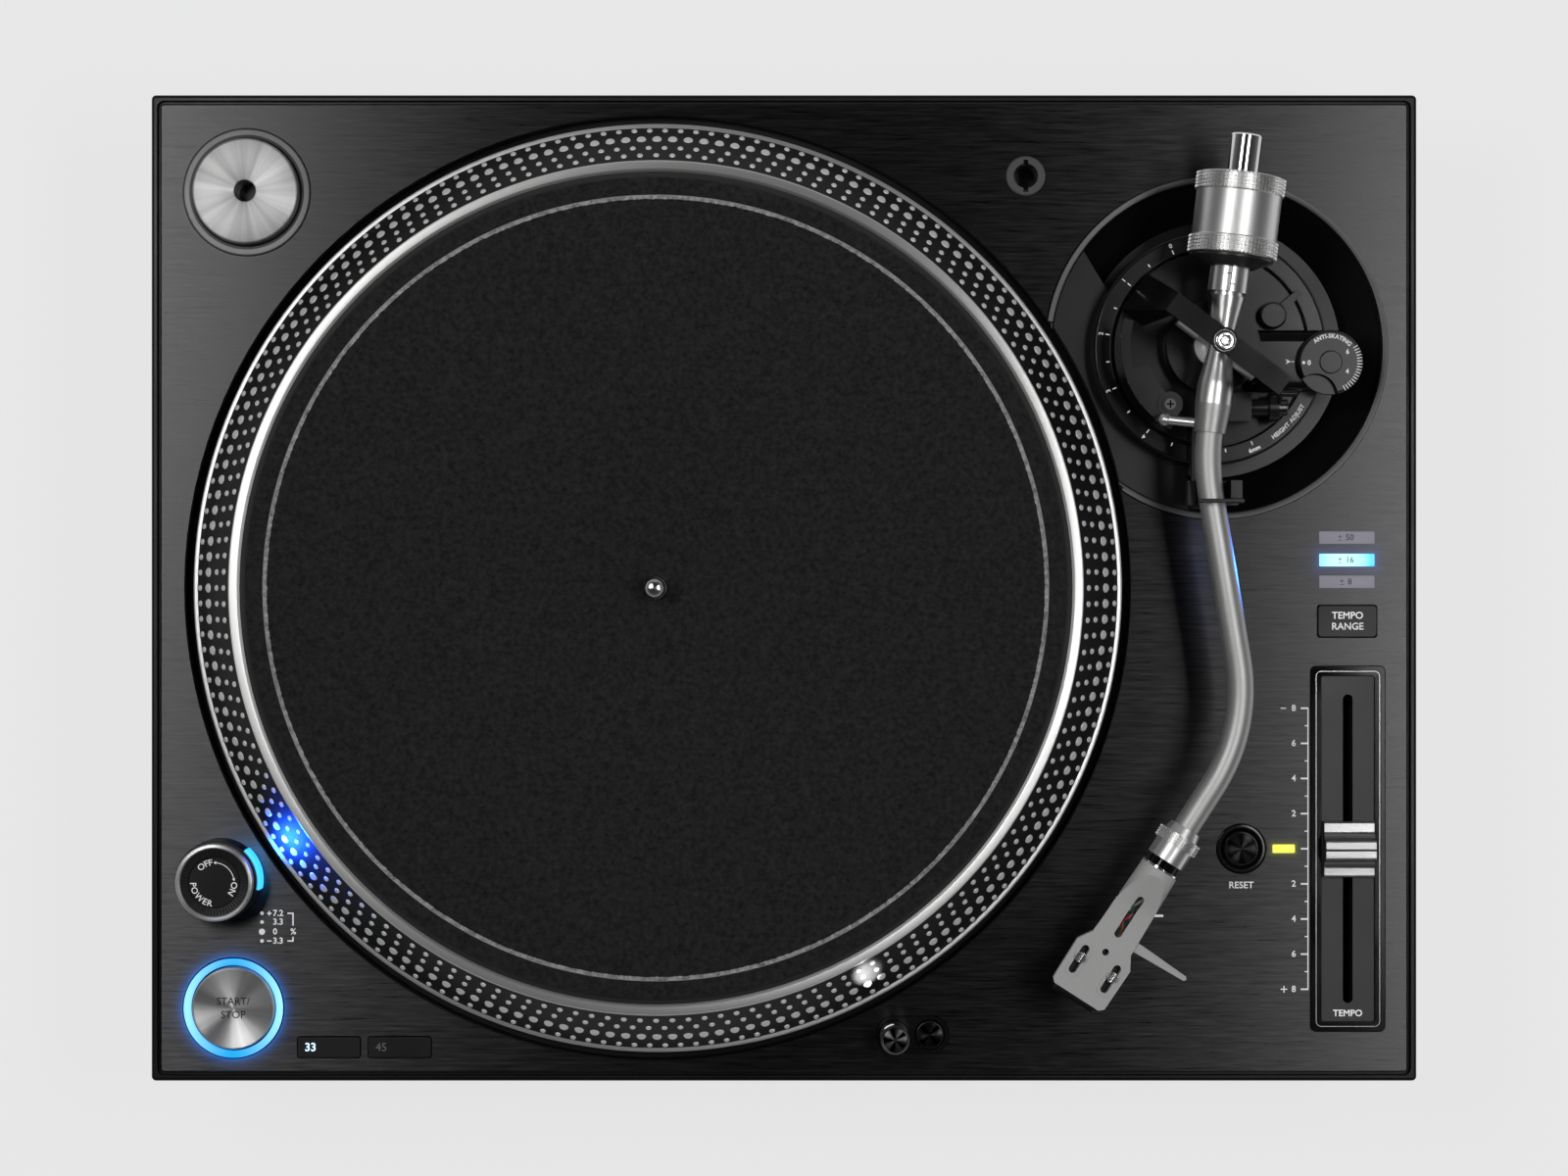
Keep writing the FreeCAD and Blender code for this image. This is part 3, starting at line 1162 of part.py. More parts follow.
def adapter_45():
    z0 = Z_DECK - CUP_DEPTH + MAT_LIFT
    z1 = z0 + ADAPTER_HEIGHT
    middle = z0 + 2.5
    profile = [(ADAPTER_BORE, z0), (ADAPTER_RADIUS, z0), (ADAPTER_RADIUS, middle),
               (ADAPTER_RADIUS - 0.8, middle + 0.8), (ADAPTER_RADIUS - 0.8, z1 - 2.2),
               (ADAPTER_RADIUS - 2.6, z1), (ADAPTER_BORE + 0.6, z1), (ADAPTER_BORE, z1 - 0.6)]
    save("adapter_45", turned(profile, *ADAPTER_AT))


def target_light_plate():
    x, y = TARGET_AT
    plate = rounded(x, y, TARGET_WIDTH, TARGET_DEPTH, TARGET_DEPTH / 2, Z_TOP, Z_DECK + TARGET_PLATE_RISE)
    guide = cylinder(TARGET_LIGHT_RADIUS + CLEAR + TARGET_TUBE_WALL, light_bottom() + 2, Z_TOP + 1,
                     TARGET_LIGHT_X, y)
    plate = joined(plate, guide)
    save("target_light_plate", less(
        plate,
        cylinder(TARGET_LIGHT_RADIUS + CLEAR, Z_CHASSIS, Z_DECK + 2, TARGET_LIGHT_X, y),
        cylinder(TARGET_BUTTON_RADIUS + CLEAR, Z_CHASSIS, Z_DECK + 2, TARGET_BUTTON_X, y)))


def light_bottom():
    return Z_DECK + TARGET_PLATE_RISE - TARGET_GRIP


def target_light():
    x, y = TARGET_LIGHT_X, TARGET_AT[1]
    top = Z_DECK + TARGET_PLATE_RISE + TARGET_RISE
    profile = [(0, light_bottom()), (TARGET_LIGHT_RADIUS, light_bottom()), (TARGET_LIGHT_RADIUS, top - 0.5),
               (TARGET_LIGHT_RADIUS - 0.5, top), (0, top)]
    post = turned(profile, x, y)
    lens = rod(1.7, vec(TARGET_LIGHT_RADIUS - 1.2, 0, 0), vec(TARGET_LIGHT_RADIUS + 1, 0, 0))
    azimuth = math.degrees(math.atan2(-y, PLATTER_X - x))
    save("target_light", post.cut(standing(lens, azimuth, x, y, top - 3.6)))


def headshell_holder():
    x, y = HOLDER_AT
    top = Z_DECK + HOLDER_RISE
    bottom = top - HOLDER_DEPTH - HOLDER_END
    profile = [(0, bottom), (HOLDER_BARREL_RADIUS, bottom), (HOLDER_BARREL_RADIUS, Z_TOP),
               (HOLDER_RADIUS, Z_TOP), (HOLDER_RADIUS, top - 0.5), (HOLDER_RADIUS - 0.5, top),
               (HOLDER_BORE, top), (HOLDER_BORE, top - HOLDER_DEPTH), (0, top - HOLDER_DEPTH)]
    slot = box(x - HOLDER_SLOT / 2, x + HOLDER_SLOT / 2, y - HOLDER_BORE - 1.4, y + HOLDER_BORE + 1.4,
               top - 6, top + 1)
    save("headshell_holder", turned(profile, x, y).cut(slot))


# Tempo fader

def tempo_bezel():
    x, y = TEMPO_AT
    frame = rounded(x, y, TEMPO_WIDTH, TEMPO_LENGTH, TEMPO_CORNER, Z_TOP, Z_DECK + TEMPO_RISE)
    face = rounded(x, y, TEMPO_PLATE_WIDTH, TEMPO_PLATE_LENGTH, 0.8, Z_DECK, Z_DECK + TEMPO_RISE + 1)
    slot = rounded(x, y, FADER_SLOT_WIDTH, FADER_SLOT_LENGTH, 0.6, Z_TOP - 1, Z_DECK + 1)
    save("tempo_bezel", less(frame, face, slot))


def fader_unit():
    x, y = TEMPO_AT
    top = Z_TOP - CHASSIS_TOP_WALL
    half_x = FADER_BODY_WIDTH / 2
    half_y = FADER_BODY_LENGTH / 2
    wall = FADER_BODY_WALL
    body = box(x - half_x, x + half_x, y - half_y, y + half_y, Z_BOARD, top)
    track = box(x - half_x + wall, x + half_x - wall, y - half_y + wall, y + half_y - wall,
                Z_BOARD + wall, top - wall)
    slot = box(x - FADER_STEM_WIDTH / 2 - CLEAR, x + FADER_STEM_WIDTH / 2 + CLEAR,
               y - FADER_SLOT_LENGTH / 2, y + FADER_SLOT_LENGTH / 2, top - wall - 1, top + 1)
    save("fader_unit", less(body, track, slot))


def cap_side(x, y, z0, side):
    """Side view of one half of the cap: low at the end, and swept up to the ridge in its middle."""
    end = FADER_CAP_LENGTH / 2
    end_top = z0 + FADER_END_HEIGHT
    top = z0 + FADER_CAP_HEIGHT
    ease = FADER_CAP_ROUND
    ridge = FADER_RIDGE / 2
    flat = end - FADER_END_FLAT
    groove = FADER_GROOVE / 2

    def at(along, height):
        return vec(x, y + side * along, height)

    outer = [at(0, z0), at(end, z0), at(end, end_top - ease), at(end - ease, end_top), at(flat, end_top)]
    upper = [at(ridge, top - ease), at(ridge - ease, top), at(groove, top),
             at(groove, top - FADER_GROOVE_DEPTH), at(0, top - FADER_GROOVE_DEPTH)]
    middle = at(ridge + (flat - ridge) * 0.3, end_top + (top - ease - end_top) * 0.3)
    edges = [Part.LineSegment(first, second).toShape() for first, second in zip(outer, outer[1:])]
    edges.append(Part.Arc(outer[-1], middle, upper[0]).toShape())
    edges += [Part.LineSegment(first, second).toShape() for first, second in zip(upper, upper[1:])]
    return edges


def fader_knob():
    x, y = TEMPO_AT
    z0 = Z_DECK + FADER_CAP_GAP
    left = x - FADER_CAP_WIDTH / 2
    edges = cap_side(left, y, z0, 1) + cap_side(left, y, z0, -1)
    section = Part.Wire(Part.__sortEdges__(edges))
    cap = Part.Face(section).extrude(vec(FADER_CAP_WIDTH, 0, 0))
    floor = Z_BOARD + FADER_BODY_WALL + CLEAR
    roof = Z_TOP - CHASSIS_TOP_WALL - FADER_BODY_WALL - CLEAR
    stem = box(x - FADER_STEM_WIDTH / 2, x + FADER_STEM_WIDTH / 2, y - FADER_STEM_LENGTH / 2,
               y + FADER_STEM_LENGTH / 2, roof - 0.5, z0 + 1)
    carriage_half = FADER_BODY_WIDTH / 2 - FADER_BODY_WALL - CLEAR
    carriage = box(x - carriage_half, x + carriage_half, y - FADER_CARRIAGE_LENGTH / 2,
                   y + FADER_CARRIAGE_LENGTH / 2, floor, roof)
    save("fader_knob", joined(cap, stem, carriage))


# Tonearm well and height adjustment

def well_floor():
    """Underside of the well."""
    return Z_DECK - WELL_FLOOR_DROP - WELL_FLOOR


def tonearm_well():
    x, y = WELL_AT
    inner = WELL_RADIUS - WELL_RIM
    floor = Z_DECK - WELL_FLOOR_DROP
    shelf_top = Z_DECK - WELL_SHELF_DROP
    rim_top = Z_DECK + WELL_RISE
    body = cylinder(WELL_RADIUS, well_floor(), rim_top, x, y)
    bowl = turned([(0, floor), (WELL_FLOOR_RADIUS, floor), (inner, shelf_top), (inner, rim_top + 1),
                   (0, rim_top + 1)], x, y)
    outline = [(x + dx, y + dy) for dx, dy in WELL_SHELF_BACK]
    outline += [(PX + dx, PY + dy) for dx, dy in WELL_SHELF_NOTCH]
    front = y - 2 * WELL_RADIUS
    outline += [(outline[-1][0], front), (outline[0][0], front)]
    bowl = bowl.cut(prism(outline, floor - 1, shelf_top))
    shoulder = cylinder(GUIDE_RADIUS + GUIDE_SHOULDER, floor - 1, Z_DECK + RING_BOTTOM - CLEAR, PX, PY)
    guide = cylinder(GUIDE_RADIUS, floor - 1, Z_DECK + GUIDE_RISE, PX, PY)
    well = joined(body.cut(bowl), shoulder, guide)
    well = less(well, cylinder(COLUMN_RADIUS + FIT, well_floor() - 1, Z_DECK + 9, PX, PY),
                cylinder(BASIN_OUTER + CLEAR, well_floor() - 1, Z_TOP, PLATTER_X, 0),
                cylinder(BASIN_RADIUS + 0.4, Z_TOP - 1, Z_DECK + 9, PLATTER_X, 0))
    save("tonearm_well", well)


def height_ring():
    bottom = Z_DECK + RING_BOTTOM
    top = Z_DECK + RING_TOP
    foot_top = Z_PLATFORM - PLATFORM_THICK - 0.5
    profile = [(GUIDE_RADIUS + FIT, bottom), (RING_RADIUS, bottom), (RING_RADIUS, top - RING_CHAMFER),
               (RING_RADIUS - RING_CHAMFER, top), (RING_INNER, top), (RING_INNER, foot_top),
               (GUIDE_RADIUS + FIT, foot_top)]
    save("height_ring", turned(profile, PX, PY))


def arm_base():
    under = Z_PLATFORM - PLATFORM_THICK
    column = ring(COLUMN_RADIUS, COLUMN_RADIUS - COLUMN_WALL, under - COLUMN_LENGTH, under + 1, PX, PY)
    platform = cylinder(PLATFORM_RADIUS, under, Z_PLATFORM, PX, PY)
    bearing = cylinder(BEARING_BLOCK_RADIUS, Z_PLATFORM - 1, Z_PLATFORM + BEARING_BLOCK_HEIGHT, PX, PY)
    block = skate_block()
    cue_axis = Z_PLATFORM + CUE_HEIGHT
    cue_block = box(PX + CUE_BLOCK[0], PX + CUE_BLOCK[1], PY + CUE_Y - CUE_BLOCK_HALF,
                    PY + CUE_Y + CUE_BLOCK_HALF, Z_PLATFORM - 1, cue_axis + CUE_BLOCK_TOP)
    lift_x, lift_y = PX + LIFT_BOSS_AT[0], PY + LIFT_BOSS_AT[1]
    lift_boss = cylinder(LIFT_BOSS_RADIUS, Z_PLATFORM - 1, Z_PLATFORM + LIFT_BOSS_HEIGHT, lift_x, lift_y)
    base = joined(column, platform, bearing, block, cue_block, lift_boss)
    top = Z_PLATFORM + 40
    skate_top = Z_PLATFORM + SKATE_BLOCK_HEIGHT
    base = less(
        base,
        cylinder(YOKE_SHAFT_RADIUS + FIT, under - 1, top, PX, PY),
        rod(CUE_SHAFT_RADIUS + FIT, vec(PX + CUE_BLOCK[0] - 1, PY + CUE_Y, cue_axis),
            vec(PX + CUE_BLOCK[1] + 1, PY + CUE_Y, cue_axis)),
        cylinder(PISTON_RADIUS + FIT, piston_bottom() - 1, top, lift_x, lift_y),
        cylinder(LOCK_PIN_RADIUS + FIT, under - 1, top, PX + LOCK_AT[0], PY + LOCK_AT[1]),
        cylinder(SKATE_PIN_RADIUS + FIT, skate_top - SKATE_PIN - CLEAR, top,
                 PX + SKATE_AT[0], PY + SKATE_AT[1]))
    save("arm_base", base)


def skate_block():
    x0, x1 = PX + SKATE_BLOCK[0] - 2, PX + SKATE_BLOCK[1]
    y0, y1 = PY + SKATE_BLOCK_Y[0], PY + SKATE_BLOCK_Y[1]
    top = Z_PLATFORM + SKATE_BLOCK_HEIGHT
    corners = [(y0, Z_PLATFORM), (y1, Z_PLATFORM), (y1, top - 3.5), (y1 - 1.2, top - 1.2),
               (y1 - 4.2, top), (y0 + 4.2, top), (y0 + 1.2, top - 1.2), (y0, top - 3.5)]
    points = [vec(x0, y, z) for y, z in corners]
    return Part.Face(Part.makePolygon(points + points[:1])).extrude(vec(x1 - x0, 0, 0))


def anti_skate_dial():
    x, y = PX + SKATE_AT[0], PY + SKATE_AT[1]
    z0 = Z_PLATFORM + SKATE_BLOCK_HEIGHT + CLEAR
    z1 = z0 + SKATE_THICK
    profile = [(0, z0), (SKATE_RADIUS, z0), (SKATE_RADIUS, z1 - 0.8), (SKATE_RADIUS - 0.8, z1), (0, z1)]
    dial = turned(profile, x, y)
    notch = cylinder(SKATE_NOTCH_RADIUS, z0 + 1.2, z1 + 1, x + SKATE_NOTCH_AT[0], y + SKATE_NOTCH_AT[1])
    boss = cylinder(SKATE_BOSS_RADIUS, z1 - 1, z1 + SKATE_BOSS_RISE, x, y)
    pin = cylinder(SKATE_PIN_RADIUS, z0 - SKATE_PIN, z0 + 1, x, y)
    save("anti_skate_dial", joined(dial.cut(notch), boss, pin))


def lock_lever():
    x, y = PX + LOCK_AT[0], PY + LOCK_AT[1]
    z0 = Z_PLATFORM + CLEAR
    z1 = z0 + LOCK_HEIGHT
    knob = turned([(0, z0), (LOCK_RADIUS, z0), (LOCK_RADIUS, z1 - 0.7), (LOCK_RADIUS - 0.7, z1), (0, z1)],
                  x, y)
    pin = cylinder(LOCK_PIN_RADIUS, Z_PLATFORM - PLATFORM_THICK + CLEAR, z0 + 1, x, y)
    lever = rounded(LOCK_LEVER_LENGTH / 2, 0, LOCK_LEVER_LENGTH, LOCK_LEVER_WIDTH, LOCK_LEVER_WIDTH / 2,
                    z0 + 0.5, z0 + 0.5 + LOCK_LEVER_THICK)
    lever = standing(lever, LOCK_LEVER_AXIS, x, y, 0)
    save("lock_lever", joined(knob, pin, lever))


# Gimbal

def rectangle(x0, x1, y0, y1, z):
    return Part.makePolygon([vec(x0, y0, z), vec(x1, y0, z), vec(x1, y1, z), vec(x0, y1, z), vec(x0, y0, z)])


def gimbal_bridge():
    foot = Z_PLATFORM - Z_ARM
    top = BRIDGE_HEIGHT + BRIDGE_THICK
    half = BRIDGE_WIDTH / 2
    foot_half = BRIDGE_FOOT_WIDTH / 2
    leg_half = BRIDGE_LEG_WIDTH / 2
    strip = box(-BRIDGE_LEFT - 3, BRIDGE_RIGHT, -half, half, BRIDGE_HEIGHT, top)
    left = Part.makeLoft([rectangle(-BRIDGE_FOOT_OUTER, -BRIDGE_FOOT_INNER, -foot_half, foot_half, foot),
                          rectangle(-BRIDGE_LEFT - 3, -BRIDGE_LEFT, -half, half, top)], True, True)
    right = box(BRIDGE_LEG_INNER, BRIDGE_LEG_OUTER, -leg_half, leg_half, foot, BRIDGE_HEIGHT + 0.5)
    collar = ring(BRIDGE_COLLAR_RADIUS, BRIDGE_SCREW_RADIUS + 0.3, top - 0.2, top + 0.6)
    bridge = joined(strip, left, right, collar)
    bridge = bridge.cut(cylinder(BRIDGE_TIP_RADIUS + 0.6, BRIDGE_HEIGHT - 1, top + 1))
    room = box(PX - 40, PX + 40, PY + CUE_Y - 10, PY + SKATE_BLOCK_Y[0], Z_PLATFORM - 1,
               Z_PLATFORM + CUE_ROOM)
    bridge = less(on_gimbal(bridge), room, skate_block())
    head = prism([(BRIDGE_SCREW_RADIUS * math.cos(math.radians(60 * k)),
                   BRIDGE_SCREW_RADIUS * math.sin(math.radians(60 * k))) for k in range(6)],
                 top, top + BRIDGE_SCREW_HEIGHT)
    socket = prism([(1.5 * math.cos(math.radians(60 * k)), 1.5 * math.sin(math.radians(60 * k)))
                    for k in range(6)], top + 0.3, top + BRIDGE_SCREW_HEIGHT + 1)
    shank = cylinder(BRIDGE_TIP_RADIUS + 0.6, BRIDGE_HEIGHT - 0.2, top + 0.1)
    tip = cylinder(BRIDGE_TIP_RADIUS, YOKE_STRAP_HEIGHT + 0.3, BRIDGE_HEIGHT)
    screw = joined(head, shank, tip).cut(socket)
    save("gimbal_bridge", bridge, on_gimbal(screw))


def sleeve_profile(extra, front, back):
    """Half outline of the pivot sleeve, grown by a clearance and cut at both ends."""
    points = [
        (SLEEVE_FRONT, SLEEVE_FRONT_RADIUS), (SLEEVE_BAND, SLEEVE_BAND_RADIUS),
        (SLEEVE_SHOULDER, SLEEVE_BAND_RADIUS), (SLEEVE_WAIST, SLEEVE_WAIST_RADIUS),
        (-SLEEVE_WAIST, SLEEVE_WAIST_RADIUS), (-SLEEVE_CONE, SLEEVE_CONE_RADIUS),
    ]
    kept = [(s, r + extra) for s, r in points if back <= s <= front]
    return [(kept[0][0], 0)] + kept + [(kept[-1][0], 0)]


def gimbal_yoke():
    floor = -YOKE_FLOOR_DROP
    half = YOKE_WIDTH / 2
    bearing_top = Z_PLATFORM + BEARING_BLOCK_HEIGHT - Z_ARM
    shaft_bottom = Z_PLATFORM - PLATFORM_THICK + CLEAR - Z_ARM
    strap_top = YOKE_STRAP_HEIGHT + YOKE_STRAP
    pieces = [
        cylinder(YOKE_FLANGE_RADIUS, bearing_top + CLEAR, bearing_top + CLEAR + YOKE_FLANGE),
        cylinder(YOKE_SHAFT_RADIUS, shaft_bottom, floor),
        box(-YOKE_REACH, YOKE_REACH, -half, half, floor - YOKE_FLOOR, floor),
        box(-YOKE_REACH, YOKE_REACH, -half, half, YOKE_STRAP_HEIGHT, strap_top),
    ]
    for side in (-1, 1):
        inner, outer = side * (YOKE_REACH - YOKE_UPRIGHT), side * YOKE_REACH
        pieces.append(box(min(inner, outer), max(inner, outer), -half, half, floor - 1, strap_top))
        pieces.append(rod(YOKE_BARREL_RADIUS, vec(side * YOKE_INNER, 0, 0), vec(outer, 0, 0)))
    yoke = joined(*pieces)
    room = lathed(sleeve_profile(SLEEVE_SWEEP, SLEEVE_FRONT, -SLEEVE_CONE))
    yoke = yoke.cut(standing(room, ARM_AXIS - GIMBAL_AXIS, 0, 0, 0))
    pins = [rod(PITCH_PIN_RADIUS, vec(side * PITCH_PIN_INNER, 0, 0), vec(side * (YOKE_REACH - 1), 0, 0))
            for side in (-1, 1)]
    hole = cylinder(BRIDGE_TIP_RADIUS + FIT, YOKE_STRAP_HEIGHT - 1, strap_top + 1)
    save("gimbal_yoke", on_gimbal(joined(yoke, *pins).cut(hole)))


# Arm

def arm_sleeve():
    profile = [
        (SLEEVE_FRONT, 0), (SLEEVE_FRONT, SLEEVE_FRONT_RADIUS), (SLEEVE_BAND, SLEEVE_BAND_RADIUS),
        (SLEEVE_SHOULDER, SLEEVE_BAND_RADIUS), (SLEEVE_WAIST, SLEEVE_WAIST_RADIUS),
        (-SLEEVE_WAIST, SLEEVE_WAIST_RADIUS), (-SLEEVE_CONE, SLEEVE_CONE_RADIUS),
        (-SLEEVE_CONE, SLEEVE_CONE_RADIUS - SLEEVE_GROOVE_DEPTH),
        (-SLEEVE_CONE - SLEEVE_GROOVE, SLEEVE_CONE_RADIUS - SLEEVE_GROOVE_DEPTH),
        (-SLEEVE_CONE - SLEEVE_GROOVE, MARKED_RADIUS), (-MARKED_END, MARKED_RADIUS),
        (-MARKED_END, SHAFT_RADIUS), (-SHAFT_END + 0.6, SHAFT_RADIUS), (-SHAFT_END, SHAFT_RADIUS - 0.6),
        (-SHAFT_END, 0),
    ]
    sleeve = lathed(profile)
    bore = rod(TUBE_RADIUS, vec(TUBE_START, 0, 0), vec(SLEEVE_FRONT + 1, 0, 0))
    pivot = rod(PITCH_PIN_RADIUS + FIT, vec(-12, 0, 0), vec(12, 0, 0))
    sleeve = less(sleeve, bore, standing(pivot, GIMBAL_AXIS - ARM_AXIS, 0, 0, 0))
    s, side, height = LIFT_BALL_AT
    surface = vec(s, -SLEEVE_FRONT_RADIUS * 0.97, height * 0.2)
    ball_at = vec(s, side, height)
    pin = joined(rod(LIFT_ROD_RADIUS, surface, ball_at), Part.makeSphere(LIFT_BALL_RADIUS, ball_at))
    save("arm_sleeve", on_arm(sleeve), on_arm(pin.cut(sleeve)))


def arm_tube():
    forward = vec(math.cos(math.radians(ARM_AXIS)), math.sin(math.radians(ARM_AXIS)), 0)
    ahead = vec(math.cos(math.radians(HEADSHELL_AXIS)), math.sin(math.radians(HEADSHELL_AXIS)), 0)
    pivot = vec(PX, PY, Z_ARM)
    socket = vec(SOCKET_AT[0], SOCKET_AT[1], Z_ARM)
    start = pivot + forward * TUBE_START
    points = [start, pivot + forward * TUBE_FIRST_BEND, socket - ahead * TUBE_LAST_BEND,
              socket + ahead * NUT_FRONT]
    radii = [TUBE_FIRST_RADIUS, TUBE_LAST_RADIUS]
    path = bent_path(points, radii)
    outer = pipe(path, TUBE_RADIUS, start, forward)
    inner = pipe(path, TUBE_RADIUS - TUBE_WALL, start, forward)
    expected = path.Length * math.pi * TUBE_RADIUS ** 2
    print("tube", round(outer.Volume / expected, 5), "radii", radii)
    save("arm_tube", outer.cut(inner))


def weight_bush():
    inner = SHAFT_RADIUS + FIT
    outer = inner + BUSH_WALL
    start = -BUSH_START
    end = -WEIGHT_END + 0.8
    bush = lathed([(start, inner), (start, outer), (end, outer), (end, inner)])
    save("weight_bush", on_arm(bush))


def counterweight():
    bore = SHAFT_RADIUS + FIT + BUSH_WALL + FIT
    hub = DIAL_HUB_RADIUS + FIT
    step = WEIGHT_START + DIAL_HUB_LENGTH + FIT
    front = WEIGHT_START + KNURL_WIDTH
    back = WEIGHT_END - KNURL_WIDTH
    profile = [
        (-WEIGHT_START, hub), (-WEIGHT_START, KNURL_RADIUS - 0.5), (-WEIGHT_START - 0.5, KNURL_RADIUS),
        (-front, KNURL_RADIUS), (-front, WEIGHT_RADIUS), (-back, WEIGHT_RADIUS), (-back, KNURL_RADIUS),
        (-WEIGHT_END + 0.5, KNURL_RADIUS), (-WEIGHT_END, KNURL_RADIUS - 0.5), (-WEIGHT_END, bore),
        (-step, bore), (-step, hub),
    ]
    save("counterweight", on_arm(lathed(profile)))


def weight_dial():
    bore = MARKED_RADIUS + DIAL_BORE_GAP
    front = -DIAL_FRONT
    seat = -WEIGHT_START + CLEAR / 2
    profile = [
        (front, bore), (front, DIAL_FRONT_RADIUS), (seat + 0.8, WEIGHT_RADIUS - 0.3),
        (seat, WEIGHT_RADIUS - 0.3), (seat, DIAL_HUB_RADIUS),
        (-WEIGHT_START - DIAL_HUB_LENGTH, DIAL_HUB_RADIUS), (-WEIGHT_START - DIAL_HUB_LENGTH, bore),
    ]
    save("weight_dial", on_arm(lathed(profile)))


# Headshell end

def headshell_nut():
    bore = TUBE_RADIUS + NUT_FIT
    profile = [
        (NUT_FRONT, bore), (NUT_FRONT, NUT_RADIUS), (NUT_KNURL_FRONT, NUT_RADIUS),
        (NUT_KNURL_FRONT, NUT_KNURL_RADIUS), (NUT_KNURL_BACK, NUT_KNURL_RADIUS),
        (NUT_KNURL_BACK, NUT_BACK_RADIUS + 0.8), (NUT_BACK, NUT_BACK_RADIUS), (NUT_BACK, bore),
    ]
    save("headshell_nut", on_socket(lathed(profile)))


def lozenge(x0, x1, y, width, z0, z1):
    return rounded((x0 + x1) / 2, y, x1 - x0, width, width / 2, z0, z1)


def headshell():
    gasket_back = NUT_FRONT + CLEAR
    collar_front = GASKET_FRONT + COLLAR_THICK
    plug_radius = TUBE_RADIUS - TUBE_WALL - FIT
    neck = lathed([
        (gasket_back - PLUG_LENGTH, 0), (gasket_back - PLUG_LENGTH, plug_radius),
        (gasket_back, plug_radius), (gasket_back, GASKET_RADIUS), (GASKET_FRONT, GASKET_RADIUS),
        (GASKET_FRONT, COLLAR_RADIUS), (collar_front, COLLAR_RADIUS), (collar_front, NECK_RADIUS),
        (NECK_END, NECK_END_RADIUS), (NECK_END, 0),
    ])
    over = COLLAR_RADIUS + 1
    slope = [(NECK_SLOPE_START, NECK_RADIUS), (NECK_SLOPE_END, SHELL_TOP), (NECK_END + 1, SHELL_TOP),
             (NECK_END + 1, over), (NECK_SLOPE_START, over)]
    upper = [vec(u, -over, w) for u, w in slope]
    cut_top = Part.Face(Part.makePolygon(upper + upper[:1])).extrude(vec(0, 2 * over, 0))
    under = -SHELL_THICK + SHELL_TOP
    lower = [vec(NECK_END + 1, -over, under), (vec(NECK_END - 1, -over, under)),
             vec(NECK_END - 16, -over, -over), vec(NECK_END + 1, -over, -over)]
    cut_front = Part.Face(Part.makePolygon(lower + lower[:1])).extrude(vec(0, 2 * over, 0))
    neck = less(neck, cut_top, cut_front)
    outline = [(u, v) for u, v in SHELL_OUTLINE if u > NECK_SLOPE_END - 8]
    plate = prism(outline, under, SHELL_TOP)
    borders = []
    slots = [lozenge(SHELL_SLOT[0], SHELL_SLOT[1], 0, SHELL_SLOT_WIDTH, -over - 3, over)]
    for v in (SCREW_SLOT_LEFT, SCREW_SLOT_RIGHT):
        borders.append(lozenge(SCREW_SLOT[0] - SCREW_SLOT_BORDER, SCREW_SLOT[1] + SCREW_SLOT_BORDER, v,
                               SCREW_SLOT_WIDTH + 2 * SCREW_SLOT_BORDER, SHELL_TOP - 0.5,
                               SHELL_TOP + SCREW_SLOT_RISE))
        slots.append(lozenge(SCREW_SLOT[0], SCREW_SLOT[1], v, SCREW_SLOT_WIDTH, -over, over))
    slots.append(cylinder(SHELL_HOLE_RADIUS, -over, over, *SHELL_HOLE_AT))
    lift_z = SHELL_TOP - LIFT_DROP
    root, tip = LIFT_ROOT / 2, LIFT_TIP / 2
    lift = prism([(LIFT_AT - root, 5.5), (LIFT_AT + root, 5.5), (LIFT_AT + tip, LIFT_REACH - 0.6),
                  (LIFT_AT, LIFT_REACH), (LIFT_AT - tip, LIFT_REACH - 0.6)], lift_z - LIFT_THICK, lift_z)
    shell = less(joined(neck, plate, lift, *borders), *slots)
    save("headshell", on_socket(shell))


def headshell_screws():
    under = SHELL_TOP - SHELL_THICK
    seat = SHELL_TOP + SCREW_SLOT_RISE
    screws = []
    for v in (SCREW_SLOT_LEFT, SCREW_SLOT_RIGHT):
        head = cylinder(SHELL_SCREW_HEAD, seat, seat + SHELL_SCREW_HEIGHT, SHELL_SCREW_AT, v)
        shank = cylinder(SHELL_SCREW_RADIUS, under - SHELL_SCREW_LENGTH + SHELL_THICK, seat + 0.5,
                         SHELL_SCREW_AT, v)
        groove = box(SHELL_SCREW_AT - 3, SHELL_SCREW_AT + 3, v - 0.3, v + 0.3, seat + 0.7,
                     seat + SHELL_SCREW_HEIGHT + 1)
        screws.append(on_socket(joined(head, shank).cut(groove)))
    save("headshell_screws", *screws)


